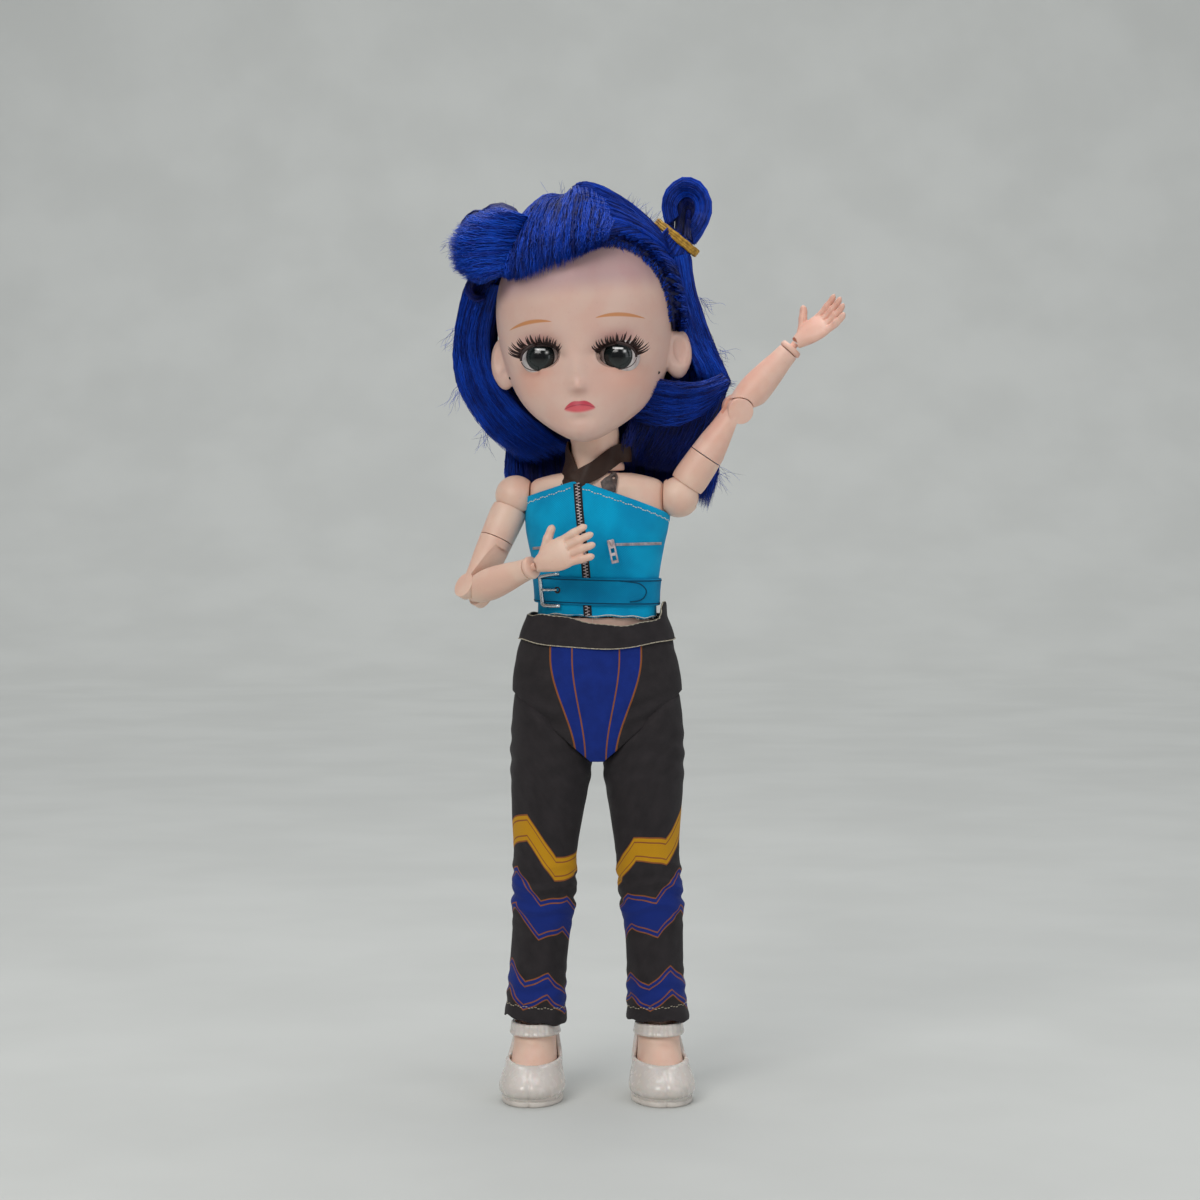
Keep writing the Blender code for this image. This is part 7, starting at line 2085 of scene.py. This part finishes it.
finish_piece(
    tube("buckle_frame", buckle_line, 0.62 * mm, SILVER, waist_at, 12, flat=0.8), "chest", "joint_pin",
)
prong = [on_top(across, 589.5, over_belt + 0.1 * mm)[0] for across in (541.5, 545, 549, 553, 556.5)]
finish_piece(
    tube(
        "buckle_prong", prong, [0.42 * mm, 0.42 * mm, 0.40 * mm, 0.36 * mm, 0.28 * mm], SILVER, waist_at, 12,
    ),
    "chest", "joint_pin",
)
point, facing = on_top(557.5, 589.5, belt_outside - WALL)
place = waist_at @ Matrix.Translation(point) @ facing.to_track_quat("Z", "Y").to_matrix().to_4x4()
eyelet_ring = [
    (0.85 * mm * math.cos(turn), 0.85 * mm * math.sin(turn), 0)
    for turn in np.linspace(0, 2 * math.pi, 32, endpoint=False)
]
finish_piece(tube("belt_eyelet", eyelet_ring, 0.32 * mm, EYELET, place, 12, True), "chest", "joint_pin")

# Neck straps, one over the other, and the small tab beside them
bpy.context.view_layer.update()
body_trees = []
for shape in (chest, neck):
    tree = BVHTree.FromObject(shape, bpy.context.evaluated_depsgraph_get())
    body_trees.append((tree, shape.matrix_world.copy()))


def on_body(across, down):
    """The place on the chest or the neck that a point of the picture shows, and the way it faces."""
    start, stop = photo(across, down, -60.0), photo(across, down, 60.0)
    best = None
    for tree, matrix in body_trees:
        one, two = matrix.inverted() @ start, matrix.inverted() @ stop
        hit, normal, _, reach = tree.ray_cast(one, (two - one).normalized())
        if hit and (best is None or reach < best[2]):
            to_here = to_waist @ matrix
            best = (to_here @ hit, (to_here.to_3x3() @ normal).normalized(), reach)
    return best[:2] if best else None


STRAP_LINES = {
    1: ((566, 491), (570.5, 486.6), (576, 482), (583, 477.3), (596, 469.5), (607, 461), (616, 453.5)),
    -1: ((580, 494), (575.5, 487), (571.5, 480), (567, 471), (563.5, 462), (563, 453)),
}
for side, label, layer in ((1, "left", 0.35 * mm + STRAP_THICKNESS), (-1, "right", 0.25 * mm)):
    knots = []
    for across, down in STRAP_LINES[side]:
        found = on_body(across, down)
        if found:
            point, normal = found
            rise = layer if down < 486 else -0.5 * mm
            knots.append((point + normal * rise, normal))
    for share in (0.60, 0.70, 0.80, 0.90, 1.0):
        turn, rise, out = between(STRAP_SHARES, share)
        angle = math.radians(-90 + side * 180 * turn)
        reach = NECK_FOOT + 0.5 * mm + layer
        z = CHEST_HEIGHT + (rise * 0.75 + 0.6) * STRAP_RISE
        normal = Vector((math.cos(angle), math.sin(angle), 0.12)).normalized()
        knots.append((Vector((reach * math.cos(angle), reach * math.sin(angle), z)), normal))
    places = resample(np.array([tuple(point) for point, _ in knots]), 110)
    facings = resample(np.array([tuple(normal) for _, normal in knots]), 110)
    rows = []
    for i in range(110):
        point = Vector(places[i])
        normal = Vector(facings[i]).normalized()
        ahead = Vector(places[min(i + 1, 109)] - places[max(i - 1, 0)])
        across = ahead.cross(normal).normalized() * STRAP_WIDTH * 0.53
        row = []
        for thick, order in ((0.75, np.linspace(-1, 1, 11)), (0.15, np.linspace(1, -1, 11))):
            for share in order:
                cup = 0.30 * mm * share**2 + 0.07 * mm * math.sin(i * 0.35 + share * 3)
                row.append(tuple(point + across * share + normal * (STRAP_THICKNESS * thick - cup)))
        rows.append(row)
    strap = tidy_normals(surface("strap_" + label, rows, RIBBON, waist_at), 50)
    finish_piece(strap, "chest", "ribbon", "halter_strap_" + label)
tab_outline = [
    (601, 482), (605, 478), (609, 476), (612, 473.4), (615.6, 473.6), (617.6, 477), (617, 484),
    (615.5, 492), (603, 492),
]
tab_rows = []
for out in (0.35, 1.0):
    row = []
    for across, down in tab_outline:
        point, normal = on_body(across, down)
        row.append(tuple(point + normal * out * mm))
    tab_rows.append(row)
tab = tidy_normals(surface("strap_tab", tab_rows, TAB, waist_at))
soften(tab, 0.16 * mm, 30, 3)
hole_at = on_body(613.8, 477.4)[0]
combine(
    tab, "DIFFERENCE",
    bar(0.42 * mm, hole_at + Vector((0, -3 * mm, 0)), hole_at + Vector((0, 3 * mm, 0)), waist_at),
)
finish_piece(tab, "chest", "ribbon")

# Leggings over the hips
hips_bottom = -CROTCH_DROP - LEGGING_SLACK - CLOTH
hips_top = WAIST_RISE - BAND_HEIGHT - 2 * GAP


def hips_section(z):
    share = (z - hips_bottom) / (WAIST_RISE - hips_bottom)
    wide, front, back = between(HIPS_SHARES, min(max(share, 0.0), 1.0))
    return wide * HIPS_WIDTH / 2, front * HIPS_DEPTH / 2, back * HIPS_DEPTH / 2


around_hips = sampled(hips_section, hips_bottom, WAIST_RISE)


def hips_relief(angle, z):
    """Soft pulls that run from the hips down to the crotch, and rumples under the waistband."""
    front = np.maximum(-np.sin(angle), 0)
    out = np.cos(angle)
    pulls = (
        np.sin((z / mm) * 1.05 - np.abs(out) * 13.0)
        * np.exp(-(((z - 1 * mm) / (7 * mm)) ** 2))
        * (0.3 + front)
    )
    pulls = pulls * np.exp(-(((np.abs(out) - 0.62) / 0.30) ** 2))
    rumple = np.sin(9 * angle + (z / mm) * 0.5) * np.exp(-(((z - 22 * mm) / (4 * mm)) ** 2)) * 0.22
    return (0.42 * pulls + rumple + 0.12 * np.sin(5 * angle + z / (4 * mm))) * mm


def hips_form(name, low, high, extra, look):
    angle = np.linspace(0, 2 * math.pi, AROUND, endpoint=False)
    rows = []
    for height in np.linspace(low, high, 90):
        z = np.full(AROUND, height)
        rows.append(around_hips(angle, z, extra + hips_relief(angle, z)))
    return tidy_normals(surface(name, rows, look, pelvis_at))


hips = hips_form("hips_cloth", hips_bottom, hips_top + 0.8 * mm, 0.25 * mm, HIPS)
combine(hips, "DIFFERENCE", hips_form("tool", hips_bottom + CLOTH, hips_top + CHEST_HEIGHT, -CLOTH, None))

# Each leg of the leggings is one tube that runs from the groin past the knee to the hem
leg_run = THIGH_TOP_LENGTH + THIGH_LENGTH
legs = []
for side, label, pose in ((1, "left", LEFT_LEG), (-1, "right", RIGHT_LEG)):
    hip_at = below(pelvis_at, (side * HIP_X, 0, 0))
    spread_at = below(hip_at, (0, 0, 0), turned("Y", -side * pose["spread"]))
    thigh_at = below(spread_at, (0, 0, -THIGH_TOP_LENGTH), turned("Z", side * pose["turn"]))
    knee_at = below(thigh_at, (0, 0, -THIGH_LENGTH))
    legs.append((side, label, pose, spread_at, thigh_at, knee_at))
    below_plane = (
        spread_at @ Matrix.Translation((0, 0, 0.2 * mm - GROIN_DROP)) @ turned("Y", -side * GROIN_TILT)
    )
    below_groin = block([leg_run] * 3, (0, 0, -leg_run / 2), below_plane)
    half_side = block([2 * leg_run] * 3, (side * (leg_run + GAP), 0, 0), pelvis_at)
    combine(below_groin, "INTERSECT", half_side)
    combine(hips, "DIFFERENCE", below_groin)
finish_piece(hips, "pelvis", "legging_cloth", "leggings_hips")

tube_heights = []
tube_radii = []
for share in np.linspace(0, 1, 60):
    wide, = between(UPPER_TUBE_SHARES, share)
    tube_heights.append(
        THIGH_TOP_LENGTH - share * (THIGH_LENGTH + THIGH_TOP_LENGTH - GAP) + 12 * mm * (1 - share)
    )
    tube_radii.append(wide * TUBE_TOP_WIDTH / 2)
for share in np.linspace(0.04, 1, 60):
    wide, = between(LOWER_TUBE_SHARES, share)
    tube_heights.append(-THIGH_LENGTH - GAP - share * (SHIN_LENGTH - HEM_RISE - GAP))
    tube_radii.append(wide * TUBE_HEM_WIDTH / 2)
tube_heights = np.array(tube_heights)[::-1]
tube_radii = np.array(tube_radii)[::-1]
hem_level = tube_heights[0]
groin_slope = math.tan(math.radians(GROIN_TILT))
for side, label, pose, spread_at, thigh_at, knee_at in legs:
    turn = math.radians(side * pose["turn"])
    phase = 1.3 if side > 0 else 0.0

    def groin(angle):
        x = TUBE_TOP_WIDTH / 2 * np.cos(angle + turn)
        return THIGH_TOP_LENGTH - GROIN_DROP + side * groin_slope * x

    def tube_top(angle):
        return groin(angle) + 4.0 * mm

    def tube_hem(angle):
        wave = 0.35 * mm * np.sin(4 * angle + phase) + 0.25 * mm * np.sin(9 * angle)
        return (
            hem_level + wave - 1.1 * mm * ripple(angle, -0.9 + phase * 0.4, 0.6)
            + 0.7 * mm * ripple(angle, -2.4, 0.5)
        )

    def tube_relief(angle, z):
        under = 1 / (1 + np.exp(-(z - groin(angle) - 0.3 * mm) / (0.35 * mm)))
        height = z / mm + 1.1 * np.sin(2 * angle + phase) + 0.7 * np.sin(3 * angle + 2 * phase)
        knee = np.exp(-(((z + THIGH_LENGTH - 1 * mm) / (9 * mm)) ** 2)) * (
            0.42 * np.sin(height * 0.95) + 0.22 * np.sin(height * 1.7 + 2 * angle)
        )
        thigh = (
            np.exp(-(((z - 4 * mm) / (9 * mm)) ** 2)) * 0.30
            * np.sin(height * 0.9 + side * 3 * np.cos(angle))
        )
        ankle = np.exp(-(((z - hem_level - 9 * mm) / (7 * mm)) ** 2)) * 0.26 * np.sin(height * 1.25 + phase)
        drape = 0.22 * np.sin(3 * angle + z / (9 * mm) + phase) + 0.10 * np.sin(7 * angle - z / (6 * mm))
        stitched = -0.22 * np.exp(-(((z - hem_level - 4.2 * mm) / (0.5 * mm)) ** 2))
        return (knee + thigh + ankle + drape + stitched - 1.5 * under) * mm

    def around_leg(angle, z, extra):
        radius = np.interp(z, tube_heights, tube_radii) + extra
        return np.stack([radius * np.cos(angle), radius * np.sin(angle), z], -1)

    leg = cloth_wall(
        "leg_cloth_" + label, around_leg, tube_hem, tube_top, -CLOTH * 0.8, 0.0, LEG, thigh_at, rows=200,
        sides=128, relief=tube_relief,
    )
    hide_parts("leggings_thigh_" + label, "leggings_shin_" + label)
    stitches = []
    for i in range(58):
        angle = 2 * math.pi * i / 58
        path = []
        for step in (-0.32, -0.1, 0.1, 0.32):
            here = np.array([angle + 2 * math.pi / 58 * step])
            z = np.array([hem_level + (4.2 + 0.25 * math.sin(i * 1.9)) * mm])
            lift = tube_relief(here, z) + 0.04 * mm + 0.10 * mm * (0.32 - abs(step)) / 0.32
            path.append(knee_at.inverted() @ thigh_at @ Vector(around_leg(here, z, lift)[0]))
        stitches.append(path)
    finish_piece(
        many_tubes("hem_stitches_" + label, stitches, 0.14 * mm, SEAM, knee_at), "shin_" + label,
        "legging_cloth",
    )
    knee_point = thigh_at @ Vector((0, 0, -THIGH_LENGTH))
    run = (thigh_at.to_3x3() @ Vector((0, 0, 1))).normalized() * 7 * mm
    "thigh_" + label
    "shin_" + label
    tuple(knee_point + run)
    tuple(knee_point - run)
    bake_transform(leg)

# Waistband: its raw edge dips in front and stands up at the left
band_low = hips_top + GAP
band_high = WAIST_RISE - GAP


def band_edge(angle):
    corner = 4.6 * mm * np.exp(-((np.angle(np.exp(1j * (angle + 0.22))) / 0.20) ** 4))
    wave = 0.24 * mm * np.sin(5 * angle + 0.6) + 0.16 * mm * np.sin(12 * angle)
    return band_high + 0.5 * mm - 3.4 * mm * ripple(angle, -1.22, 0.62) + corner + wave


def band_relief(angle, z):
    return 0.22 * mm * np.sin(4 * angle + z / (2 * mm)) + 0.12 * mm * np.sin(10 * angle)


def band_seam(angle):
    front = np.maximum(-np.sin(angle), 0)
    return band_low + 0.8 * mm - 2.6 * mm * front**2.5 + 0.2 * mm * np.sin(6 * angle)


band = cloth_wall(
    "waistband_cloth", around_hips, lambda angle: band_seam(angle), band_edge, BAND_SLACK - CLOTH,
    BAND_SLACK, BAND, pelvis_at, rows=30, relief=band_relief,
)
finish_piece(band, "pelvis", "legging_cloth", "waistband")
angle = np.linspace(0, 2 * math.pi, 2 * AROUND, endpoint=False)
for name, heights, lift, radius, look in (
    ("edge", band_edge(angle) + 0.35 * mm, BAND_SLACK - CLOTH / 2, 0.22 * mm, SEAM),
    ("seam", band_seam(angle) - 0.2 * mm, BAND_SLACK + 0.05 * mm, 0.16 * mm, SEAM),
):
    wobble = 0.12 * mm * np.sin(70 * angle)
    line = around_hips(angle, heights, lift + band_relief(angle, heights) + wobble)
    finish_piece(tube("waistband_" + name, line, radius, look, pelvis_at, 8, True), "pelvis", "legging_cloth")

# Feet and shoes
foot_table = np.array([between(FOOT_SHARES, share) for share in np.linspace(0, 1, 80)])
foot_heights = (np.linspace(0, 1, 80) - 1) * FOOT_HEIGHT


def around_foot(angle, z, extra):
    wide, front, back = (np.interp(z, foot_heights, foot_table[:, k]) for k in range(3))
    half_length = (front * FOOT_FRONT + back * FOOT_BACK) / 2
    middle = (back * FOOT_BACK - front * FOOT_FRONT) / 2
    lean = 1 - 0.14 * np.sin(angle) ** 2 * (np.sin(angle) > 0)
    x = (wide * FOOT_WIDTH / 2 * lean + extra) * np.cos(angle)
    y = middle + (half_length + extra) * np.sin(angle)
    return np.stack([x, y, z], -1)


def ease(value, low, high):
    share = np.clip((value - low) / (high - low), 0, 1)
    return share * share * (3 - 2 * share)


vamp_top = -FOOT_HEIGHT - GAP - SOLE + VAMP_HEIGHT - 1.8 * mm
strap_bottom = -SHOE_TOP - SHOE_STRAP + 1.8 * mm
shoe_floor = -FOOT_HEIGHT - GAP
for side, label, pose, spread_at, thigh_at, knee_at in legs:
    ankle_world = (knee_at @ Vector((0, 0, -SHIN_LENGTH)))
    heading = thigh_at.to_3x3().to_euler().z
    ankle_at = Matrix.Translation(ankle_world) @ Matrix.Rotation(heading, 4, "Z")
    angle = np.linspace(0, 2 * math.pi, 96, endpoint=False)
    foot_rows = [
        around_foot(angle, np.full(96, z), np.zeros(96)) for z in np.linspace(-FOOT_HEIGHT, -0.6 * mm, 60)
    ]
    foot = tidy_normals(surface("foot_skin_" + label, foot_rows, SKIN, ankle_at))
    combine(foot, "DIFFERENCE", orb(ANKLE_BALL + GAP, matrix=ankle_at, sides=48))
    soften(foot, 0.4 * mm, 40)
    finish_piece(foot, "foot_" + label, "skin", "foot_" + label)

    def shoe_edge(angle):
        y = around_foot(angle, np.full(np.shape(angle), vamp_top), np.zeros(np.shape(angle)))[..., 1]
        rise = ease(y, -3.0 * mm, 4.5 * mm)
        return (
            vamp_top + 0.5 * mm * np.cos(angle) ** 2 * (1 - rise)
            + (-SHOE_TOP - 0.8 * mm - vamp_top) * rise
        )

    def shoe_relief(angle, z):
        above_sole = z - shoe_floor
        groove = -0.28 * np.exp(-(((above_sole - 1.1 * mm) / (0.35 * mm)) ** 2))
        rim = 0.22 * np.exp(-(((shoe_edge(angle) - z) / (0.7 * mm)) ** 2))
        rand = 0.18 * (above_sole < 0.9 * mm)
        toe = np.maximum(-np.sin(angle), 0) ** 0.6 * np.exp(-(((above_sole - 3.5 * mm) / (5 * mm)) ** 2))
        return (groove + rim + rand + 2.0 * toe * np.abs(np.cos(angle)) ** 0.5) * mm

    upper = cloth_wall(
        "shoe_upper_" + label, around_foot, level_at(shoe_floor), shoe_edge, GAP, GAP + SHOE_WALL, VINYL,
        ankle_at, rows=70, sides=128, relief=shoe_relief,
    )
    sole_rows = []
    for z, grow in ((-0.0, -0.1), (-0.15, 0.12), (-0.5, 0.2), (-1.2, 0.2), (-1.45, 0.1), (-1.6, -0.2)):
        level = np.full(128, shoe_floor + z * mm)
        turn = np.linspace(0, 2 * math.pi, 128, endpoint=False)
        toe = 1.7 * np.maximum(-np.sin(turn), 0) ** 0.6 * np.abs(np.cos(turn)) ** 0.5
        row = around_foot(turn, np.full(128, shoe_floor), GAP + SHOE_WALL + (grow + toe) * mm)
        row[:, 2] = level
        sole_rows.append(row)
    sole = tidy_normals(surface("sole", sole_rows[::-1], SOLE_VINYL, ankle_at), 60)

    def strap_relief(angle, z):
        across = (z - strap_bottom) / SHOE_STRAP
        ends = 0.16 * (np.exp(-((across / 0.16) ** 2)) + np.exp(-(((1 - across) / 0.16) ** 2)))
        gathers = 0.14 * np.sin(26 * angle) * np.exp(-(((angle % (2 * math.pi)) - 1.5 * math.pi) / 0.7) ** 2)
        return (ends + gathers) * mm

    ankle_strap = cloth_wall(
        "shoe_strap_" + label, around_foot, level_at(strap_bottom), level_at(-SHOE_TOP + 0.9 * mm),
        GAP, GAP + SHOE_WALL, VINYL, ankle_at, rows=20, sides=160, relief=strap_relief,
    )
    # Bow on the vamp: two loops with a pinch, and a knot
    _, front_share, _ = between(FOOT_SHARES, 1 + vamp_top / FOOT_HEIGHT)
    bow_y = -front_share * FOOT_FRONT - SHOE_WALL
    bow_parts = []
    for way in (1, -1):
        rows = []
        for share in np.linspace(0, 1, 24):
            wide = (
                (0.9 + 1.5 * math.sin(math.pi * share**0.8) ** 0.8 + 0.2 * share) * (1 - 0.55 * share**6) * mm
            )
            thick = (0.55 + 0.55 * math.sin(math.pi * share)) * mm
            centre = np.array([
                way * (0.4 + 6.1 * share) * mm, bow_y + (0.1 + 1.6 * share**2) * mm,
                vamp_top - 2.2 * mm - 0.9 * share * mm,
            ])
            row = []
            for j in range(24):
                turn = 2 * math.pi * j / 24
                dent = (
                    1 - 0.25 * math.exp(-((math.sin(turn) / 0.35) ** 2)) * (math.cos(turn) < 0)
                    * math.sin(math.pi * share)
                )
                row.append(centre + np.array([0, thick * math.cos(turn) * dent, wide * math.sin(turn)]))
            rows.append(row)
        bow_parts.append(tidy_normals(surface("loop", rows, VINYL, ankle_at)))
    knot = rounded(
        "knot", (2.0 * mm, 1.9 * mm, 2.6 * mm), VINYL,
        ankle_at @ Matrix.Translation((0, bow_y - 0.2 * mm, vamp_top - 2.2 * mm)), 0.6 * mm,
    )
    shoe = merge("shoe_vinyl_" + label, [upper, ankle_strap] + bow_parts + [knot], VINYL)
    finish_piece(shoe, "foot_" + label, "shoe_vinyl", "shoe_" + label)
    sole.name = "shoe_sole_" + label
    finish_piece(sole, "foot_" + label, "shoe_vinyl")

# The joint parts that show only between pieces keep their solids
for name, obj in frame["nodes"].items():
    if name.startswith(("pelvis", "thigh", "hip_ball", "shin", "ankle_ball", "head_socket", "waist_axle")):
        obj.data.materials.clear()
        obj.data.materials.append(INNER.material)
    elif name.startswith(("elbow_pin", "knee_pin")):
        obj.data.materials.clear()
        obj.data.materials.append(METAL.material)


# Floor, backdrop and light
STAGE_HALF = 3.6
STAGE_BEND = 0.9
WALL_Y = 2.8


def stage_rows():
    rows = []
    outline = [(-STAGE_HALF, 0.0)]
    for t in np.linspace(0, math.pi / 2, 24):
        outline.append((WALL_Y - STAGE_BEND + STAGE_BEND * math.sin(t), STAGE_BEND - STAGE_BEND * math.cos(t)))
    outline += [(WALL_Y, STAGE_HALF)]
    for x in np.linspace(-STAGE_HALF, STAGE_HALF, 9):
        rows.append([(x, y, z) for y, z in outline])
    return rows


STAGE = plain_look("backdrop", rgb(197, 199, 196), rgb(203, 205, 202), 0.85, size=0.12, depth=0.05 * mm)
backdrop = tidy_normals(surface("backdrop", stage_rows(), STAGE, Matrix(), around=False))

world = bpy.data.worlds.new("studio")
bpy.context.scene.world = world
world.use_nodes = True
world.node_tree.nodes["Background"].inputs["Color"].default_value = (0.93, 0.96, 1.0, 1.0)
world.node_tree.nodes["Background"].inputs["Strength"].default_value = 0.27


def lamp(name, place, aim, size, power, colour=(1.0, 1.0, 1.0)):
    data = bpy.data.lights.new(name, "AREA")
    data.shape = "RECTANGLE"
    data.size, data.size_y = size
    data.energy = power
    data.color = colour
    obj = bpy.data.objects.new(name, data)
    bpy.context.scene.collection.objects.link(obj)
    obj.location = place
    obj.rotation_euler = (Vector(aim) - Vector(place)).to_track_quat("-Z", "Y").to_euler()


lamp("key", (-0.55, -1.05, 0.95), (0, 0, 0.16), (0.7, 0.5), 7.6, (1.0, 0.98, 0.95))
lamp("fill", (0.95, -0.80, 0.45), (0, 0, 0.15), (0.8, 0.8), 2.6, (0.95, 0.97, 1.0))
lamp("top", (0.0, 0.05, 1.25), (0, 0, 0.1), (0.9, 0.7), 6.0)
lamp("wall", (0.0, 1.7, 2.6), (0, WALL_Y, 0.7), (2.6, 0.5), 34.0)
bpy.context.scene.view_settings.view_transform = "Standard"
